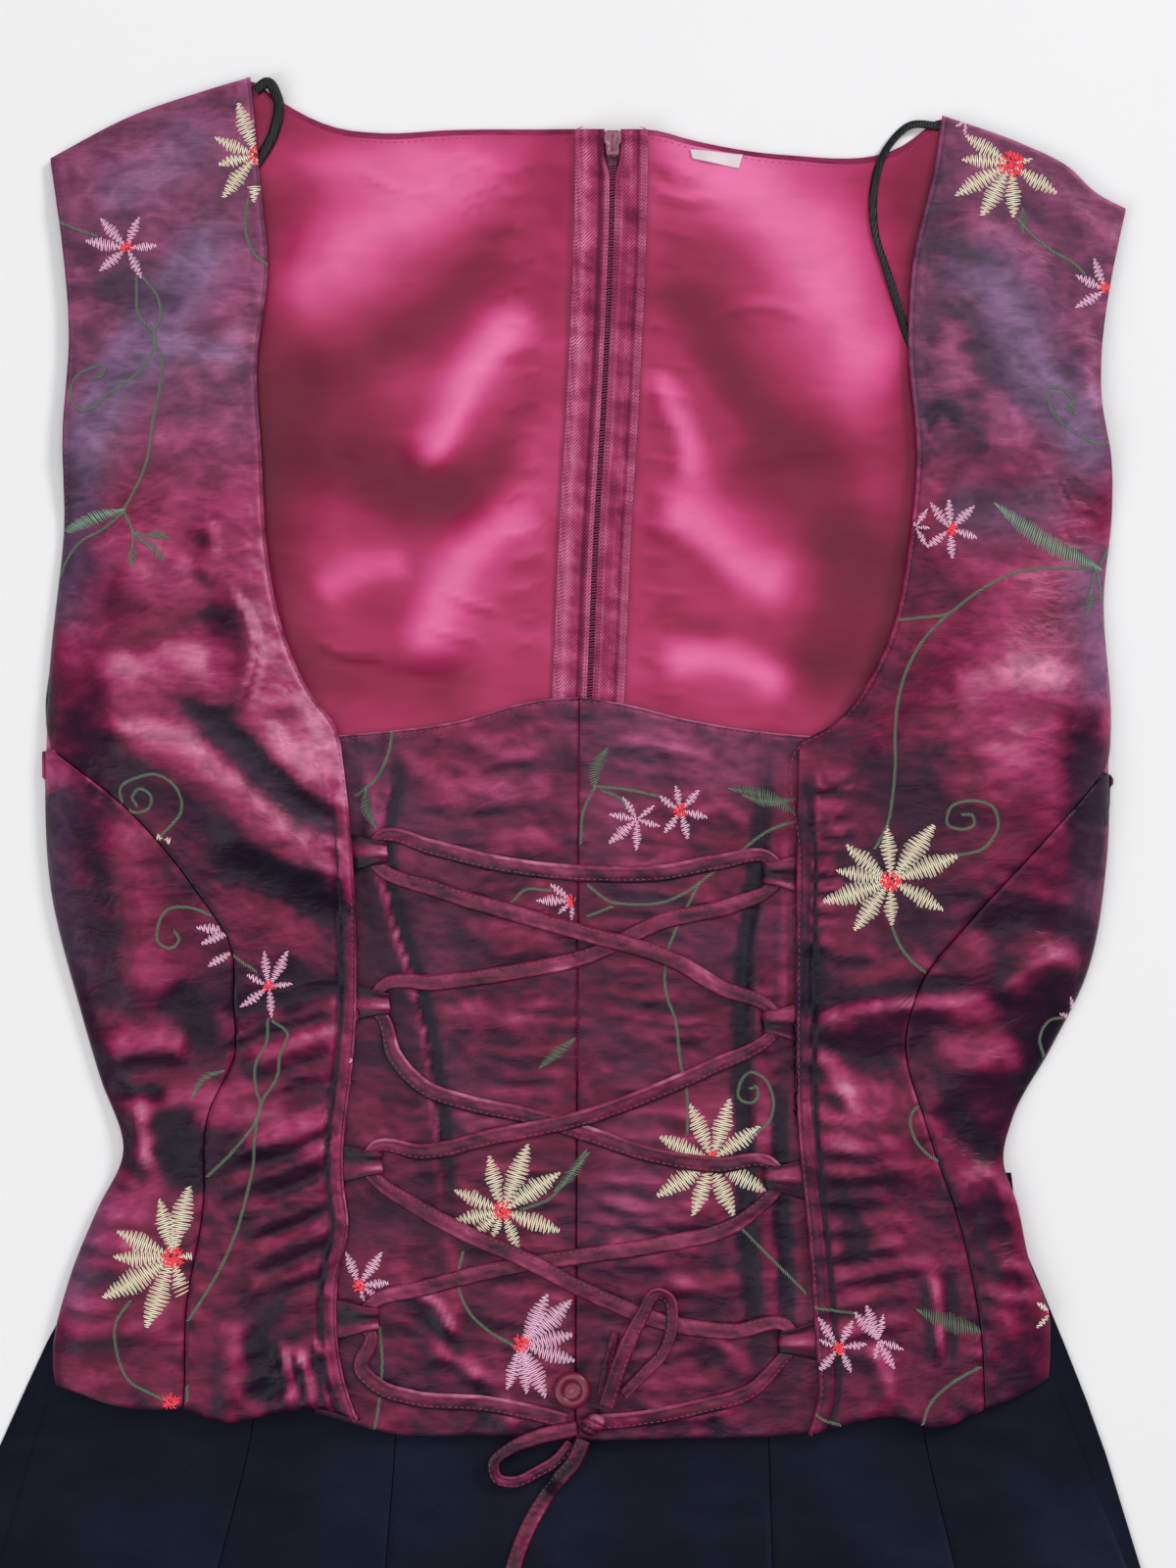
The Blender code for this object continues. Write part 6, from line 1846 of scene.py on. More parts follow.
@dataclass
class Lacing:
    """The flat lace through four pairs of folded loops, with its bow and its two free ends."""

    LACE_STEPS = 1100
    TAIL_STEPS = 240
    KNOT_SIDES = 48
    KNOT_RINGS = 26
    KNOT_TURN = 0.5  # in radians

    insert: InsertLayer
    skirt: SkirtLayer
    route: Array = field(init=False)
    widths: Array = field(init=False)
    seams: "Stitches" = field(default_factory=lambda: Stitches())

    def __post_init__(self) -> None:
        """Lay the lace."""
        given = np.array(self.lace_route())
        gone = gone_along(given[:, :3])
        self.route = smooth(given[:, :3], even(self.LACE_STEPS))
        self.widths = np.interp(even(self.LACE_STEPS) * gone[-1], gone, given[:, 3])

    def lace_route(self) -> list[tuple[float, float, float, float]]:
        """The lace from the knot round the eyes and back.

        Returns:
            Its points, as x, y, z and width, by the heights above the insert's stack.
        """
        eye_z = INSERT_TOP + LAY + 1.9
        crossings = {  # how the lace bends between two eyes, and whether it lies over or under
            ("knot", "R4"): [(5, -269.8, UNDER), (20, -268.5, UNDER), (48, -263, UNDER), (68, -257, UNDER)],
            ("R4", "L3"): [(62, -231, OVER), (35, -228, OVER + 0.6), (0, -214.5, OVER + 1.1),
                           (-27, -200.5, OVER + 1.1), (-51, -190, OVER + 0.7), (-70, -180, OVER)],
            ("L3", "R2"): [(-70, -155.5, OVER), (-42, -149.5, OVER + 0.6), (0, -140.5, OVER + 1.2),
                           (24, -132, OVER + 1.1), (52, -120, OVER)],
            ("R2", "L1"): [(56, -86, OVER), (37, -75, OVER + 0.6), (0, -63.5, OVER + 1.1), (-34, -54, OVER + 0.7),
                           (-66, -44, OVER)],
            ("L1", "R1"): [(-66, -27, UNDER), (-42, -33, UNDER), (0, -38, UNDER), (33, -37.5, UNDER),
                           (56, -33, UNDER)],
            ("R1", "L2"): [(62, -51, UNDER), (32, -58, UNDER), (0, -72.5, UNDER), (-34, -80, UNDER),
                           (-64, -84, UNDER)],
            ("L2", "R3"): [(-82, -115, UNDER + 0.3), (-70, -128, UNDER + 0.7), (-51, -135, UNDER + 0.9),
                           (-27, -140, UNDER + 0.8), (0, -148, UNDER + 0.5), (24, -156, UNDER), (54, -161, UNDER)],
            ("R3", "L4"): [(62, -186, UNDER), (28, -195, UNDER), (0, -199, UNDER), (-27, -203, UNDER),
                           (-51, -208, UNDER), (-70, -213, UNDER)],
            ("L4", "knot"): [(-96, -247, UNDER), (-88, -255, UNDER), (-74, -259.5, UNDER), (-43, -262, UNDER),
                             (-20, -266.5, UNDER), (-9, -269.5, UNDER)],
        }
        order = ["knot", "R4", "L3", "R2", "L1", "R1", "L2", "R3", "L4", "knot"]
        eyes = {f"L{n}": at for n, at in enumerate(EYES_LEFT, 1)}
        eyes.update({f"R{n}": at for n, at in enumerate(EYES_RIGHT, 1)})
        route = []
        for start, end in zip(order, order[1:]):
            route += [(x, y, z + float(over_skirt(y)), LACE_WIDTH) for x, y, z in crossings[start, end]]
            if end in eyes:
                x, y = eyes[end]
                inwards = 5 if x < 0 else -5
                way = 1 if end in ("R4", "L3", "R2", "L1") else -1
                z = eye_z + float(over_skirt(y))
                route += [(x + 0.5 * inwards, y - way * 6.2, z, 5.6), (x - 0.1 * inwards, y - way * 3, z, LACE_IN_EYE),
                          (x - 0.1 * inwards, y + way * 3, z, LACE_IN_EYE), (x + 0.5 * inwards, y + way * 6.2, z, 5.6)]
        return route

    def crinkled(self, line: Array, seed: int, columns: int = 6, strength: float = 1.0) -> tuple[Array, Array]:
        """How a folded lace rises and tips along its run.

        Args:
            line: its middle.
            seed: the seed of its crinkles.
            columns: how many steps it has across.
            strength: how strong they are.

        Returns:
            The lift across each point, and the tip at each point.
        """
        gone = gone_along(line)
        place = np.linspace(1, -1, columns + 1)
        lift = strength * (0.5 * RIPPLE(gone[:, None] / 7 + seed, place[None] * 0.8 + seed)
                           + 0.3 * RIPPLE(gone[:, None] / 2.6 + seed, place[None] * 1.1 + 9))
        # A narrow folded edge stands up on one side, and a row of stitches sinks in near the other.
        lift = lift + 0.28 * (place[None] > 0.62) - 0.3 * np.exp(-(((place[None] + 0.62) / 0.16) ** 2))
        tip = 0.22 * strength * RIPPLE(gone / 34 + seed, 0 * gone + 3)
        return lift, tip

    def ribbon(self, name: str, line: Array, widths: Array, seed: int, columns: int = 8, strength: float = 1.0,
               shift: float = 0.0, tip: Array | None = None) -> bpy.types.Object:
        """A stretch of lace.

        Args:
            name: its name.
            line: its middle.
            widths: its width at each point.
            seed: the seed of its crinkles.
            columns: how many steps it has across.
            strength: how strong its crinkles are.
            shift: how much darker or lighter it is overall.
            tip: how far it tips at each point, in radians.

        Returns:
            The object.
        """
        lift, tilt = self.crinkled(line, seed, columns, strength)
        if tip is not None:
            tilt = tilt + tip
        made = band(line, widths, LACE_THICKNESS, lift, columns, tilt)
        gone = gone_along(line)
        place = np.linspace(1, -1, columns + 1)
        # Painted highlight on the raised folded edge, painted shade at both edges and, 0.5 darker, on the underside;
        # the ripples along it are random.
        across_it = 0.5 * (place > 0.6) - 0.35 * np.abs(place) ** 4
        tone = (shift - 0.12 + 0.8 * RIPPLE(gone[:, None] / 20 + seed, place[None] * 0.4) + across_it[None]
                + 0.14 * np.tanh(4 * RIPPLE(gone[:, None] / 9 + seed, place[None] * 0.9 + 4)))
        tone = np.concatenate([tone, tone[:, ::-1] - 0.5], axis=1)
        colours = painted_light_of_rings(made[0], 2 * (columns + 1), LACE_FINISH, 1.5, tone.ravel())
        rings = made[0].reshape(-1, 2 * (columns + 1), 3)
        row = rings[:, columns - 1] * 0.5 + rings[:, columns - 2] * 0.5 + [0, 0, 0.12]
        self.seams.add(Thread.ROSE, dashes(row, 1.9, 2.6))
        return piece(name, *made, LACE_FINISH, "lace_taffeta", [name], colours)

    def build_loops(self) -> None:
        """Make the folded bands that come out from under the fronts and close round the lace."""
        for side, eyes in (("left", EYES_LEFT), ("right", EYES_RIGHT)):
            way = 1 if side == "left" else -1
            for number, (x, y) in enumerate(eyes, 1):
                low = float(over_skirt(y)) + INSERT_TOP + LAY
                # Along the band's side view: under the front, over the lace, round the eye and back under.
                side_view = [(-13.5, 1.9), (-9, 2.2), (-5, 3.1), (-1, 3.9), (2.6, 3.75), (5.0, 2.9), (5.9, 1.6),
                             (5.0, 0.5), (2.0, 0.2), (-3, 0.3), (-13.5, 0.3)]
                widths = np.interp(even(60), [0, 0.14, 0.26, 0.36, 0.46, 0.56, 0.75, 1],
                                   [17.5, 15.5, 12.5, 10.2, 9.2, 9.0, 9.5, 10])
                bent = smooth(side_view, even(60))
                slant = (RIPPLE(np.array([number * 3.1]), np.array([way * 2.2]))[0]) * 3
                line = np.column_stack([x + way * bent[:, 0], y + slant * (bent[:, 0] + 8) / -14,
                                        low + bent[:, 1]])
                self.loop(f"lace_loop_{side}_{number}", line, widths, number + (10 if way < 0 else 0))

    def loop(self, name: str, line: Array, widths: Array, seed: int) -> None:
        """One folded loop with its gathers.

        Args:
            name: its name.
            line: its side view, placed.
            widths: its width along that.
            seed: the seed of its gathers.
        """
        columns = 16
        run = np.gradient(line, axis=0)
        along = run / np.linalg.norm(run, axis=1)[:, None]
        place = np.linspace(1, -1, columns + 1)
        at = even(len(line) - 1)
        gather = (0.5 * np.cos(place * 4.2 + seed)[None] + 0.22 * np.cos(place * 11 + 2 * seed)[None])
        gather = gather * (0.25 + 0.75 * step(0.0, 0.22, at) * step(0.72, 0.5, at))[:, None]
        up = np.cross(along, [0.0, 1.0, 0.0])
        up *= np.sign(up[len(up) // 4, 2] or 1)
        fold = 0.55
        rings = []
        for i, centre in enumerate(line):
            offset = place[:, None] * widths[i] / 2 * np.array([0, 1.0, 0])
            outer = centre + offset + up[i] * (gather[i] * 0.5 + fold / 2)[:, None]
            inner = centre + offset + up[i] * (gather[i] * 0.5 - fold / 2)[:, None]
            rings.append(np.vstack([outer, inner[::-1]]))
        points = np.vstack(rings)
        # Painted light and shade on the slopes of the gathers, painted shade at the edges and on the inner face, and
        # painted shade where the loop comes out from under the front.
        tone = 0.3 * np.sin(place * 4.2 + seed) + 0.3 * np.sin(place * 2 + seed) - 0.4 * np.abs(place) ** 6
        tone = np.concatenate([tone, tone[::-1] - 0.5])
        shift = np.tile(tone, (len(line), 1)) - 0.35 * step(0.3, 0.0, at)[:, None] - 0.2
        colours = painted_light_of_rings(points, 2 * (columns + 1), LACE_FINISH, 1.2, shift.ravel())
        piece(name, points, tube_faces(len(line), 2 * (columns + 1)), LACE_FINISH, "lace_taffeta", [name], colours)

    def build_bow(self) -> None:
        """Make the knot, the two loops of the bow and the two free ends."""
        x, y = KNOT_AT
        base = float(over_skirt(y)) + INSERT_TOP
        bow = {
            "bow_loop_right": ([(7.5, -262.5, 7.2), (15, -240, 8.2), (22.5, -224, 8.4), (29, -214.5, 7.4),
                                (34, -217, 5.3), (35.5, -224, 4.4), (32, -239, 4.2), (22.5, -249.5, 4.0),
                                (14.5, -258, 3.8)], [7, 7, 7, 6, 5, 5, 5, 5, 5]),
            "bow_loop_left": ([(-4.5, -271.8, 3.2), (-22.5, -276, 2.6), (-33, -280.5, 2.2), (-40, -287, 0.8),
                               (-38.5, -294, -1.2), (-31, -295.5, -1.6), (-22, -291.5, -1.4), (-13, -286, -1),
                               (-7, -278.5, 0.6)], [6, 6.5, 6, 5, 5, 5, 5, 5, 5]),
            "lace_tail_short": ([(5.5, -259, 0.9), (7.2, -250, 0.8), (9.5, -240, 0.8), (11.5, -231.5, 0.8)],
                                [4, 4, 4, 3.6]),
        }
        for number, (name, (points, widths)) in enumerate(bow.items()):
            line = smooth([(px, py, base + rise) for px, py, rise in points], even(90))
            wide = np.interp(even(90), even(len(widths) - 1), widths)
            self.ribbon(name, line, wide, 20 + number, strength=0.8, shift=-0.1)
        self.build_knot(np.array([x, y, base + 5.2]))

    def build_knot(self, middle: Array) -> None:
        """The knot: a ball of lace with the wraps of its bands showing as creases."""
        sides, rings = self.KNOT_SIDES, self.KNOT_RINGS
        cos, sin = math.cos(self.KNOT_TURN), math.sin(self.KNOT_TURN)
        around, up = np.meshgrid(np.linspace(0, 2 * np.pi, sides, endpoint=False), np.linspace(-1.45, 1.45, rings))
        direction = np.stack([np.cos(up) * np.cos(around), np.cos(up) * np.sin(around), np.sin(up)], axis=-1)
        size = np.array([5.5, 4.2, 3.4])
        turned = cos * direction[..., 0] + sin * direction[..., 1]
        crease = 1 - 0.09 * np.exp(-(((turned * 5.5 - 1.6) / 0.5) ** 2))
        crease = crease - 0.08 * np.exp(-(((turned * 5.5 + 2.2) / 0.55) ** 2))
        crease = crease - 0.07 * np.exp(-(((direction[..., 1] * 4 - turned * 2) / 0.45) ** 2))
        local = direction * size * (crease + 0.05 * RIPPLE(direction[..., 0] * 3, direction[..., 1] * 3))[..., None]
        spin = np.array([[cos, -sin, 0], [sin, cos, 0], [0, 0, 1]])
        points = (local @ spin.T + middle).reshape(-1, 3)
        # Painted light and shade from the slopes, turned the other way round, with random patches.
        colours = painted_light_of_rings(points, sides, LACE_FINISH, -1.2, (0.5 * RIPPLE(turned * 2, up * 2)).ravel())
        piece("bow_knot", points, tube_faces(rings, sides), LACE_FINISH, "lace_taffeta", ["bow_knot"], colours)

    def build_tail(self) -> bpy.types.Object:
        """Make the long free end, which hangs over the hem and lies on the skirt.

        Returns:
            The object.
        """
        line, wide = self.tail_line()
        return self.ribbon("lace_tail_long", line, wide, 31, strength=0.9, shift=-0.25)

    def tail_line(self) -> tuple[Array, Array]:
        """The long free end's middle and its widths."""
        base = float(over_skirt(KNOT_AT[1])) + INSERT_TOP
        plan = [(-2, -276.5, 4.2), (-6, -285.5, 3.6), (-12, -293, 1.6), (-18, -302, None), (-24, -312, None),
                (-28.5, -322, None), (-32, -333, None), (-36, -352, None), (-35, -372, None), (-28, -392, None),
                (-26, -408, None)]
        path = []
        for px, py, rise in plan:
            on_skirt = float(self.skirt.top(np.array([px]), np.array([py]))[0]) + 1.2
            path.append((px, py, base + rise if rise is not None else on_skirt))
        return smooth(path, even(self.TAIL_STEPS)), np.linspace(6.5, 7, self.TAIL_STEPS + 1)

    def build(self) -> None:
        """Make the whole lacing."""
        lace = self.ribbon("lace", self.route, self.widths, 3)
        tail = self.build_tail()
        self.build_loops()
        self.build_bow()
        for made, line, end in ((lace, self.route, "knot"), (tail, self.tail_line()[0], "bare")):
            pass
        self.seams.build("lace_stitching", 0.17, "lace_taffeta")


@dataclass
class Button:
    """The round button with a raised rim, a dished middle and its thread."""

    PROFILE = ((0, 1.9), (2.2, 1.9), (3.4, 2.05), (4.1, 2.75), (4.7, 3.1), (5.8, 3.22), (6.8, 3.0), (7.5, 2.5),
               (7.9, 1.7), (7.7, 0.9), (7.1, 0.5), (4, 0), (0, 0))
    SIDES = 64

    def build(self) -> None:
        """Make the button and the knot of thread in its middle."""
        x, y = BUTTON_AT
        z = float(over_skirt(y)) + INSERT_TOP + LAY
        line = smooth(self.PROFILE, even(44))
        line[0, 0] = line[-1, 0] = 0.02
        around = np.linspace(0, 2 * np.pi, self.SIDES, endpoint=False)
        rings = np.stack([np.column_stack([x + r * np.cos(around), y + r * np.sin(around),
                                           np.full(self.SIDES, z + h)]) for r, h in line])
        piece("button", rings.reshape(-1, 3), tube_faces(len(line), self.SIDES), BUTTON_FINISH, "button_plastic",
              ["button"])
        strands = [np.array([(x - 1.3 + 0.3 * i, y - 0.9 + 0.35 * i, z + 1.9),
                             (x + 0.1 * i, y + 0.2 * (i - 2), z + 2.6),
                             (x + 1.2 - 0.2 * i, y + 1.0 - 0.4 * i, z + 1.9)]) for i in range(5)]
        points, faces = tubes(strands, 0.3)
        piece("button_thread", points, faces, THREAD_FINISH, "taffeta",
              colours=np.tile((*linear("#c8587f"), 1), (len(points), 1)))


# ---------------------------------------------------------------- embroidery

class Thread(Enum):
    """The thread colours."""

    CREAM = "#ffe6cc"
    PINK = "#ffbeda"
    RED = "#f23c50"
    GREEN = "#62725f"
    PALE_GREEN = "#82a08a"
    MAGENTA = "#8f2f5c"
    ROSE = "#9c4068"
    BLACK = "#171319"


Petals = Sequence[tuple[float, float]]


@dataclass(frozen=True)
class Flower:
    """A flower of satin stitch.

    Attributes:
        panel: the panel that it is cut to.
        at: its middle.
        petals: each petal's direction, in degrees from the right, and its length.
        thread: its colour.
        heart: the radius of its red middle, or 0.
        plump: a petal's width by its length.
    """

    panel: str
    at: Point
    petals: Petals
    thread: Thread
    heart: float = 2.6
    plump: float = 0.31


@dataclass(frozen=True)
class Stem:
    """A stem or leaf of slanting stitches.

    Attributes:
        panel: the panel that it is cut to.
        line: its run.
        width: its width, at its widest where it is a leaf.
        leaf: whether it narrows to both ends.
        thread: its colour.
    """

    panel: str
    line: Line
    width: float = 1.5
    leaf: bool = False
    thread: Thread = Thread.GREEN


FLOWERS = [
    Flower("front_left", (-140.4, 266.2), [(111, 24), (160, 19), (-167, 17), (-130, 23), (-94, 20)], Thread.CREAM, 3.4),
    Flower("front_right", (179.2, 262.5), [(146, 23), (172, 21), (-153, 27), (-120, 26), (-86, 23), (-34, 23),
                                           (13, 9)], Thread.CREAM, 5.2),
    Flower("front_right", (127.5, -40.8), [(144, 24), (169, 23), (-160, 30), (-127, 26), (-91, 19), (-28, 25),
                                           (21, 30), (52, 30), (94, 23)], Thread.CREAM, 4.2),
    Flower("side_left", (-175, -199.6), [(103, 25), (80, 31), (154, 26), (-178, 25), (-147, 34), (-112, 32),
                                         (-76, 24), (6, 11)], Thread.CREAM, 4.6),
    Flower("insert", (-36.2, -180.4), [(68, 30), (106, 24), (158, 22), (-167, 21), (-140, 17), (-108, 13),
                                       (-67, 18), (-20, 26), (34, 29)], Thread.CREAM, 3.8),
    Flower("insert", (52.1, -158.8), [(156, 24), (108, 25), (70, 27), (32, 25), (-30, 27), (-71, 26), (-105, 25),
                                      (-143, 28), (173, 14)], Thread.CREAM, 3.8),
    Flower("front_left", (-195, 226.7), [(132, 17), (72, 14), (2, 13), (-63, 14), (-140, 15), (172, 18)], Thread.PINK),
    Flower("front_right", (219.2, 209.2), [(114, 14), (157, 14), (-148, 15)], Thread.PINK),
    Flower("front_right", (152.9, 107.5), [(92, 13), (44, 14), (-16, 12), (-88, 13), (-142, 13), (128, 14)],
           Thread.PINK),
    Flower("front_right", (138.3, 108.3), [(60, 9), (110, 11), (-60, 9), (0, 6)], Thread.PINK, 0),
    Flower("insert", (20.8, -15), [(121, 11), (37, 9), (-19, 10), (-90, 13), (-140, 16), (168, 12)], Thread.PINK, 0),
    Flower("insert", (39.2, -11.2), [(99, 11), (46, 12), (-14, 12), (-73, 13), (-123, 12), (149, 11)], Thread.PINK),
    Flower("insert_left", (-6.7, -49.6), [(178, 15), (142, 12), (-90, 8), (-140, 8)], Thread.PINK),
    Flower("front_left", (-134.6, -85.4), [(100, 15), (60, 17), (5, 10), (-86, 13), (-143, 15), (152, 11)],
           Thread.PINK, 2.2, 0.28),
    Flower("insert_left", (-96.7, -212.1), [(109, 15), (56, 17), (8, 13), (-74, 7), (-30, 10)], Thread.PINK),
    Flower("insert_left", (-28.3, -236.7), [(59, 24), (38, 28), (8, 23), (-20, 24), (-63, 25), (-81, 21),
                                            (-105, 20)], Thread.PINK, 3.6, 0.32),
    Flower("front_right", (105.8, -237.5), [(127, 15), (63, 13), (4, 12), (-62, 12), (-128, 14), (162, 9)],
           Thread.PINK),
    Flower("front_right", (122.5, -234.6), [(110, 16), (80, 11), (-21, 11), (-63, 14), (-102, 8), (132, 16)],
           Thread.PINK, 0),
    Flower("side_left", (-150, -62), [(172, 15), (-160, 14)], Thread.PINK, 0),
    Flower("side_left", (-149, -70), [(-148, 13)], Thread.PINK, 0),
    Flower("side_left", (-176, -261), [(90, 5), (140, 5), (30, 5)], Thread.RED, 3.0),
    Flower("front_right", (160, 281), [(-90, 6), (-150, 5)], Thread.PINK, 0),
    Flower("front_left", (-98.2, -42), [(95, 14), (-92, 15)], Thread.CREAM, 0, 0.22),
    Flower("front_left", (-99.6, -126), [(92, 10), (-91, 11)], Thread.PINK, 0, 0.3),
    Flower("side_right", (196, -224), [(96, 17), (-86, 17), (140, 8), (-140, 9)], Thread.CREAM, 2.0),
    Flower("side_right", (207, -99), [(110, 9), (-100, 9), (170, 8)], Thread.PINK, 0),
    Flower("front_right", (92.5, -218), [(96, 11), (-88, 12)], Thread.PINK, 0, 0.3),
    Flower("front_left", (-178, -23), [(160, 3.5), (-20, 3.5)], Thread.CREAM, 0, 0.9),
]

STEMS = [Stem(panel, line) for panel, lines in {
    "front_left": [
        [(-224, 238), (-217, 235), (-208, 232)],
        [(-191, 214), (-190, 198), (-183, 189), (-185, 180), (-191, 173), (-202, 165), (-214, 158), (-218, 161),
         (-218, 170), (-210, 176), (-204, 176), (-205, 173), (-209, 171)],
        [(-188, 214), (-182, 206), (-181, 196), (-184, 189), (-180, 180), (-181, 168), (-184, 153), (-186, 138),
         (-191, 125), (-196, 116)],
        [(-144, 248), (-145, 235), (-141, 224), (-129, 217)],
        [(-196, 115), (-204, 108), (-215, 102), (-221, 94), (-225, 83)],
        [(-196, 115), (-192, 106), (-192, 98)], [(-192, 106), (-184, 99)], [(-192, 106), (-181, 104)],
        [(-180, -23), (-170, -9), (-172, -2), (-181, 4), (-188, 3), (-196, -2), (-195, -8), (-190, -12),
         (-184, -10), (-183, -5), (-188, -2), (-191, -6), (-189, -9)],
        [(-150, -72), (-140, -79)],
        [(-135, -99), (-136, -110), (-140, -118), (-140, -129), (-138, -135), (-140, -142), (-148, -153),
         (-161, -166)],
        [(-133, -100), (-127, -105), (-130, -115), (-131, -123), (-138, -135), (-140, -147), (-141, -160),
         (-144, -174), (-148, -188), (-156, -206), (-169, -227)],
        [(-169, -260), (-169, -256), (-169, -254)]],
    "side_left": [
        [(-159, -55), (-167, -52), (-177, -53), (-181, -61), (-181, -66), (-175, -69), (-172, -65), (-174, -62)],
        [(-193, -218), (-199, -227), (-199, -238), (-194, -251), (-180, -259)]],
    "front_right": [
        [(182, 239), (187, 233), (196, 226), (206, 220), (210, 216)],
        [(221, 144), (215, 144), (207, 148), (200, 153), (195, 160), (195, 167), (200, 167), (205, 161), (202, 159),
         (206, 157)],
        [(128, 69), (140, 70), (152, 72), (160, 78), (169, 84), (180, 89), (195, 91), (207, 91), (215, 92),
         (221, 103), (222, 110)],
        [(151, 71), (143, 63), (135, 50), (131, 38), (129, 23), (129, 9), (128, -5), (126, -17), (121, -27)],
        [(215, 92), (212, 80)], [(215, 92), (218, 78)],
        [(155, -30), (166, -27), (172, -17), (170, -10), (161, -7), (152, -10), (151, -17), (156, -19), (162, -17),
         (161, -13), (157, -13)],
        [(128, -60), (132, -69), (139, -77), (145, -81)],
        [(141, -134), (136, -140), (137, -148), (143, -156), (150, -160)],
        [(141, -271), (144, -262), (153, -253), (167, -245)], [(92, -262), (99, -268), (109, -271)],
        [(96, -221), (104, -222), (112, -223)]],
    "side_right": [[(203, -99), (195, -100), (191, -108), (193, -115)]],
    "insert": [
        [(3, -1), (-2, -12), (-3, -25)], [(3, -1), (14, -2), (30, -5)], [(6, -3), (12, -5), (17, -10)],
        [(90, -15), (78, -19), (64, -29), (52, -38), (43, -45), (32, -50), (19, -51), (10, -50), (0, -43)],
        [(47, -42), (42, -52), (37, -62), (33, -75), (33, -88), (37, -100), (39, -117), (42, -132), (42, -148)],
        [(-32, -50), (-27, -45), (-16, -45)], [(0, -56), (10, -52)],
        [(70, -148), (77, -142), (78, -131), (74, -124), (69, -122), (64, -128), (64, -133), (69, -135), (72, -132),
         (71, -128), (69, -129)],
        [(60, -183), (67, -190), (76, -199), (85, -208), (92, -215)],
        [(-28, -180), (-16, -175), (-8, -166), (0, -156)],
        [(-53, -198), (-55, -211), (-51, -222), (-41, -232), (-32, -237)],
        [(-88, -230), (-87, -243), (-88, -259), (-90, -272)], [(-83, 23), (-84, 15), (-90, 2), (-98, -5)]],
}.items() for line in lines]
STEMS += [
    Stem("front_left", [(-196, 116), (-210, 112), (-224, 105)], 6, True, Thread.PALE_GREEN),
    Stem("front_left", [(-192, 100), (-192, 92)], 4.5, True), Stem("front_left", [(-185, 101), (-179, 95)], 4, True),
    Stem("front_left", [(-184, 106), (-177, 104)], 4, True),
    Stem("side_left", [(-154, -121), (-162, -124), (-167, -132)], 3, True),
    Stem("front_right", [(184, 243), (184, 234)], 4.5, True),
    Stem("front_right", [(172, 118), (192, 103), (217, 91)], 8, True, Thread.PALE_GREEN),
    Stem("front_right", [(213, 82), (211, 72)], 4.5, True), Stem("front_right", [(217, 80), (219, 69)], 4.5, True),
    Stem("front_right", [(139, -222), (152, -227), (168, -231)], 8, True),
    Stem("insert", [(3, -2), (3, 6), (8, 15)], 6, True), Stem("insert", [(60, -2), (75, -5), (89, -13)], 6, True),
    Stem("insert", [(88, -6), (76, -8), (66, -5)], 4, True),
    Stem("insert", [(-20, -120), (-12, -113), (-6, -108)], 5, True),
    Stem("insert", [(-14, -172), (-7, -165), (-1, -155)], 5, True),
    Stem("insert", [(-94, -2), (-94, -10), (-90, -18)], 5, True),
]


@dataclass
class Stitches:
    """Short threads over a layer, gathered by colour and then made as one piece for each."""

    rows: dict[Thread, list[Array]] = field(default_factory=dict)

    def add(self, thread: Thread, lines: Array) -> None:
        """Keep stitches, each of three points, in the colour."""
        if len(lines):
            self.rows.setdefault(thread, []).append(np.asarray(lines, float))

    def build(self, name: str, radius: float, slot: str = "taffeta") -> None:
        """Make one piece for each colour.

        Args:
            name: the start of their names.
            radius: of the thread.
            slot: handed to piece, which does not use it.
        """
        draw = np.random.default_rng(12)
        for thread, rows in self.rows.items():
            lines = np.concatenate(rows)
            points, faces = tubes(list(lines), radius)
            each = len(points) // len(lines)
            # Every stitch is 1 to 1.25 times its thread's colour: a random difference from stitch to stitch, and a
            # painted lift of light that makes the threads brighter than their colour.
            shade = np.repeat(draw.uniform(1.0, 1.25, len(lines)), each)[:, None]
            colours = np.column_stack([shade * np.array(linear(thread.value)), np.ones(len(points))])
            piece(f"{name}_{thread.name.lower()}", points, faces, THREAD_FINISH, slot, colours=colours)


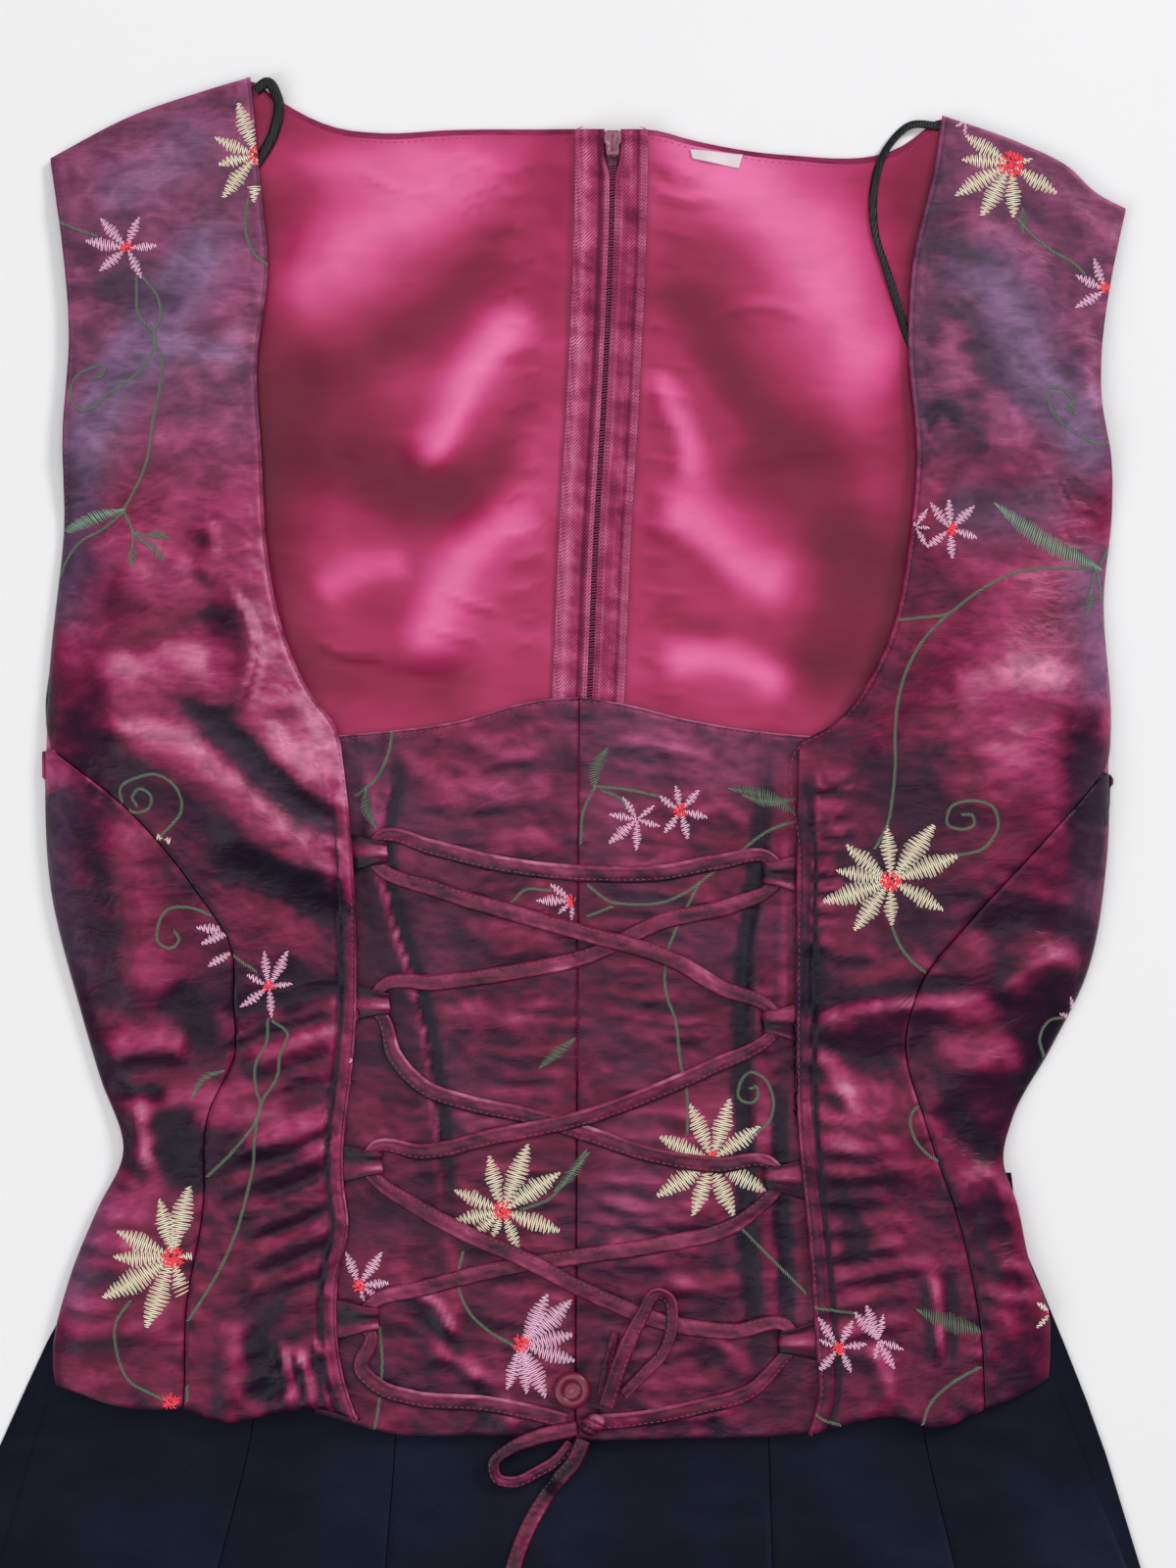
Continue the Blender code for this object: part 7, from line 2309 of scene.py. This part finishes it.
def outlines() -> dict[str, Array]:
    """The outline of each panel that carries embroidery."""
    fine = even(60)
    left = np.vstack([smooth(LACING_LEFT, fine), smooth(NECK_LEFT, fine)])
    right = np.vstack([smooth(LACING_RIGHT, fine), smooth(NECK_RIGHT, fine)])
    princess_left, princess_right = smooth(PRINCESS_LEFT, fine), smooth(PRINCESS_RIGHT, fine)
    inner_left, inner_right = smooth(LACING_LEFT, fine), smooth(LACING_RIGHT, fine)
    hem = smooth(INSERT_HEM_LEFT + INSERT_HEM_RIGHT[1:], fine)
    hem = hem[(hem[:, 0] > -97) & (hem[:, 0] < 92)]
    top = smooth(INSERT_TOP_LEFT + INSERT_TOP_RIGHT[1:], fine)
    top = top[(top[:, 0] > -104) & (top[:, 0] < 90)]
    insert = np.vstack([hem, inner_right, top[::-1], inner_left[::-1]])
    left_half = np.vstack([hem[hem[:, 0] < -6], [(-5.9, -278), (-4.5, 36)], top[top[:, 0] < -5][::-1],
                           inner_left[::-1]])
    return {
        "front_left": np.vstack([left, smooth(SHOULDER_LEFT, fine)[::-1], smooth(SIDE_LEFT_HIGH, fine)[::-1],
                                 princess_left[::-1], smooth(HEM_FRONT_LEFT, fine)]),
        "front_right": np.vstack([smooth(HEM_FRONT_RIGHT, fine), princess_right, smooth(SIDE_RIGHT_HIGH, fine),
                                  smooth(SHOULDER_RIGHT, fine)[::-1], right[::-1]]),
        "side_left": np.vstack([smooth(HEM_SIDE_LEFT, fine), princess_left, smooth(SIDE_LEFT_LOW, fine)[::-1]]),
        "side_right": np.vstack([smooth(HEM_SIDE_RIGHT, fine), smooth(SIDE_RIGHT_LOW, fine), princess_right[::-1]]),
        "insert": insert,
        "insert_left": left_half,
    }


@dataclass
class Embroidery:
    """The flowers, stems and leaves of the shot taffeta."""

    front: FrontLayer
    insert: InsertLayer
    stitches: Stitches = field(default_factory=Stitches)

    def lay(self, panel: str, thread: Thread, flat: Array, arch: Array | float) -> None:
        """Lay stitches on a panel, leaving out those past its outline.

        Args:
            panel: the panel.
            thread: the colour.
            flat: three plan points for each stitch.
            arch: how far the middle of each stitch stands up.
        """
        outline = self.shapes[panel]
        inside = within(outline, flat[..., 0], flat[..., 1]).all(axis=1)
        flat = flat[inside]
        if not len(flat):
            return
        height = (self.insert if panel.startswith("insert") else self.front).top(flat[..., 0], flat[..., 1])
        rise = np.zeros(flat.shape[:2]) + 0.12
        rise[:, 1] += arch if np.isscalar(arch) else arch[inside]
        self.stitches.add(thread, np.dstack([flat, height + rise]))

    def across_line(self, line: Array, half: Array, slant: Array, draw: np.random.Generator) -> Array:
        """Stitches across a line.

        Args:
            line: the line's points, one for each stitch.
            half: the half-width at each.
            slant: how far each stitch runs along the line as it crosses it.
            draw: for small differences.

        Returns:
            Three plan points for each stitch.
        """
        side = left_of(line)
        along = np.column_stack([side[:, 1], -side[:, 0]])
        ragged = half[:, None] * draw.uniform(0.8, 1.12, (len(line), 2))
        start = line + side * ragged[:, :1] - along * slant[:, None]
        end = line - side * ragged[:, 1:] + along * slant[:, None]
        return np.stack([start, (start + end) / 2, end], axis=1)

    def sew_flower(self, flower: Flower, draw: np.random.Generator) -> None:
        """Sew a flower's petals and its middle."""
        for angle, long in flower.petals:
            turn = math.radians(angle)
            run = np.array([math.cos(turn), math.sin(turn)])
            begin = min(max(flower.heart * 0.5, 0.8), long * 0.3)
            at = np.arange(begin, long, 0.9)
            share = (at - begin) / (long - begin)
            half = flower.plump * long * 0.5 * np.clip(share * 1.8 + 0.12, 0, 1) ** 0.8 * np.clip(
                (1 - share) * 2.3 + 0.05, 0, 1) ** 0.7
            bend = draw.uniform(-0.06, 0.06)
            line = np.outer(at, run) + np.outer(bend * long * share**2, [-run[1], run[0]]) + flower.at
            slant = np.where(np.arange(len(at)) % 2, 0.5, 0.1) * draw.uniform(0.7, 1.3, len(at))
            self.lay(flower.panel, flower.thread, self.across_line(line, np.maximum(half, 0.35), slant, draw),
                     0.18 + 0.1 * half)
        if flower.heart:
            count = int(flower.heart**2 * 4.2)
            radius = flower.heart * np.sqrt(draw.uniform(0, 1, count))
            angle = draw.uniform(0, 2 * np.pi, count)
            middle = np.array(flower.at) + np.column_stack([radius * np.cos(angle), radius * np.sin(angle)])
            lean = angle + draw.uniform(-0.8, 0.8, count)
            reach = np.column_stack([np.cos(lean), np.sin(lean)]) * 1.0
            self.lay(flower.panel, Thread.RED, np.stack([middle - reach, middle, middle + reach], axis=1),
                     0.5 + 0.3 * draw.uniform(0, 1, count))

    def sew_stem(self, stem: Stem, draw: np.random.Generator) -> None:
        """Sew a stem, or a leaf."""
        line = spaced(stem.line, 1.0)
        at = even(len(line) - 1)
        half = np.full(len(line), stem.width / 2)
        if stem.leaf:
            half = np.maximum(half * np.sin(np.pi * np.clip(at * 0.96 + 0.02, 0, 1)) ** 0.8, 0.4)
        slant = np.full(len(line), 0.7 if not stem.leaf else 0.9)
        self.lay(stem.panel, stem.thread, self.across_line(line, half, slant, draw), 0.22 + 0.06 * half)

    def build(self) -> None:
        """Sew the whole of it."""
        self.shapes = outlines()
        draw = np.random.default_rng(3)
        for stem in STEMS:
            self.sew_stem(stem, draw)
        for flower in FLOWERS:
            self.sew_flower(flower, draw)
        self.stitches.build("embroidery", 0.36)


def dashes(line: Array, size: float = 2.1, pitch: float = 2.9, sink: float = 0.25) -> Array:
    """Running stitches along a line in space.

    Args:
        line: the line's points.
        size: the length of a stitch that shows.
        pitch: from one stitch to the next.
        sink: how far a stitch's ends sink into the cloth.

    Returns:
        Three points for each stitch.
    """
    gone = gone_along(line)
    starts = np.arange(0.3, gone[-1] - size, pitch)
    at = starts[:, None] + np.array([0, size / 2, size])[None]
    made = np.stack([np.interp(at, gone, line[:, i]) for i in range(3)], axis=-1)
    made[:, [0, 2], 2] -= sink
    return made


@dataclass
class Stitching:
    """The rows of sewing thread that show."""

    front: FrontLayer
    insert: InsertLayer
    lining: LiningLayer
    stitches: Stitches = field(default_factory=Stitches)

    def row(self, line: Line, layer: FrontLayer | InsertLayer | LiningLayer, inset: float, thread: Thread,
            above: float = 0.16, **sizes: float) -> None:
        """A row of running stitches beside an edge.

        Args:
            line: the edge.
            layer: the cloth that it is sewn into.
            inset: how far the row is to the left of the edge.
            thread: its colour.
            above: how far it lies above the cloth.
            sizes: the sizes of the stitches.
        """
        plan = spaced(line, 0.8)
        plan = plan + inset * left_of(plan)
        height = layer.top(plan[:, 0], plan[:, 1]) + above
        self.stitches.add(thread, dashes(np.column_stack([plan, height]), **sizes))

    def build(self) -> None:
        """Sew every row."""
        inset = TOPSTITCH_INSET
        self.row(INNER_LEFT, self.front, inset, Thread.MAGENTA)
        self.row(INNER_RIGHT, self.front, -inset, Thread.MAGENTA)
        self.row(SIDE_LEFT_HIGH[3:], self.front, -inset, Thread.MAGENTA)
        self.row(SIDE_RIGHT_HIGH[3:], self.front, inset, Thread.MAGENTA)
        top = INSERT_TOP_LEFT[1:] + INSERT_TOP_RIGHT[1:-1]
        self.row(top, self.insert, -inset, Thread.MAGENTA)
        self.row(top, self.insert, -inset - 1.7, Thread.MAGENTA, above=0.02)
        for line in (LINING_TOP_LEFT[1:], LINING_TOP_RIGHT[:-1]):
            self.row(line, self.lining, -1.6, Thread.ROSE)
        self.sew_tapes()
        self.stitches.build("stitching", 0.2)

    def sew_tapes(self) -> None:
        """The two rows of small dots beside the coil on each tape, and the looped edge of each tape."""
        tapes = Zip()
        line = spaced(ZIP_LINE, 0.8)
        for side in (-1, 1):
            for off in (2.1, 3.3, 6.3):
                plan = line + np.column_stack([side * (off + 2.6 * step(248, 266, line[:, 1])), 0 * line[:, 1]])
                height = tapes.tape_top(plan[:, 0], plan[:, 1]) + 0.12
                self.stitches.add(Thread.BLACK if off < 4 else Thread.MAGENTA,
                                  dashes(np.column_stack([plan, height]), 0.9, 1.6, 0.12))
            edge = TAPE_REACH[0] if side < 0 else TAPE_REACH[1]
            fine = spaced(ZIP_LINE, 1.5)
            near = fine + np.array([edge - side * 3.6, 0.9])
            far = fine + np.array([edge + side * 0.5, -0.9])
            middle = (near + far) / 2
            loops = np.stack([np.column_stack([plan, tapes.tape_top(plan[:, 0], plan[:, 1]) + rise])
                              for plan, rise in ((near, 0.1), (middle, 0.45), (far, -0.4))], axis=1)
            self.stitches.add(Thread.ROSE if side > 0 else Thread.MAGENTA, loops)


# ---------------------------------------------------------------- the studio and the set

def studio() -> None:
    """The floor, the soft light from the upper right, and a camera straight above the middle."""
    scene = bpy.context.scene
    middle = PLAN_ZERO * MM
    mesh = bpy.data.meshes.new("floor")
    mesh.from_pydata([(middle[0] + x * FLOOR_REACH, middle[1] + y * FLOOR_REACH, -0.0005)
                      for x, y in ((-1, -1), (1, -1), (1, 1), (-1, 1))], [], [(0, 1, 2, 3)])
    mesh.materials.append(FLOOR_FINISH.make())
    floor = bpy.data.objects.new("floor", mesh)
    scene.collection.objects.link(floor)
    for name, at, size, power in (("key", (1.7, 1.5, 2.1), 0.9, KEY_POWER), ("top", (-0.1, 0.1, 2.3), 2.2, TOP_POWER),
                                  ("fill", (-1.6, -1.2, 1.8), 1.8, FILL_POWER)):
        data = bpy.data.lights.new(name, "AREA")
        data.shape = "DISK"
        data.size = size
        data.energy = power
        light = bpy.data.objects.new(name, data)
        light.location = (middle[0] + at[0], middle[1] + at[1], at[2])
        light.rotation_euler = (-light_direction(at)).to_track_quat("-Z", "Y").to_euler()
        scene.collection.objects.link(light)
    world = bpy.data.worlds.new("pale room")
    world.use_nodes = True
    world.node_tree.nodes["Background"].inputs["Color"].default_value = (*linear("#f4f4f2"), 1)
    world.node_tree.nodes["Background"].inputs["Strength"].default_value = WORLD_STRENGTH
    scene.world = world
    scene.view_settings.view_transform = "Standard"
    scene.view_settings.look = "None"
    data = bpy.data.cameras.new("camera")
    data.sensor_fit = "VERTICAL"
    data.sensor_height = SENSOR_HEIGHT
    data.lens = LENS
    data.clip_start = 0.05
    camera = bpy.data.objects.new("camera", data)
    camera.location = (middle[0], middle[1], CAMERA_HEIGHT)
    scene.collection.objects.link(camera)
    scene.camera = camera


def light_direction(at: Point) -> Vector:
    """The direction from the middle of the set to a light."""
    return Vector(at).normalized()


KEY_POWER = 38.5
TOP_POWER = 21
FILL_POWER = 20
WORLD_STRENGTH = 0.22
FLOOR_REACH = 6.0  # metres, from the middle
CAMERA_HEIGHT = 1.6  # metres
SENSOR_HEIGHT = 36
LENS = 86.4


def main() -> None:
    """Make the whole set."""
    logging.basicConfig(level=logging.INFO, format="%(name)s %(message)s")
    studio()
    front, insert, lining, skirt = FrontLayer(), InsertLayer(), LiningLayer(), SkirtLayer()
    Lacing(insert, skirt).build()
    Bodice(front, insert, lining, BackLayer()).build()
    Zip().build()
    Trims(lining).build()
    Button().build()
    Embroidery(front, insert).build()
    Stitching(front, insert, lining).build()
    Skirt(skirt).build()


if __name__ == "__main__":
    main()
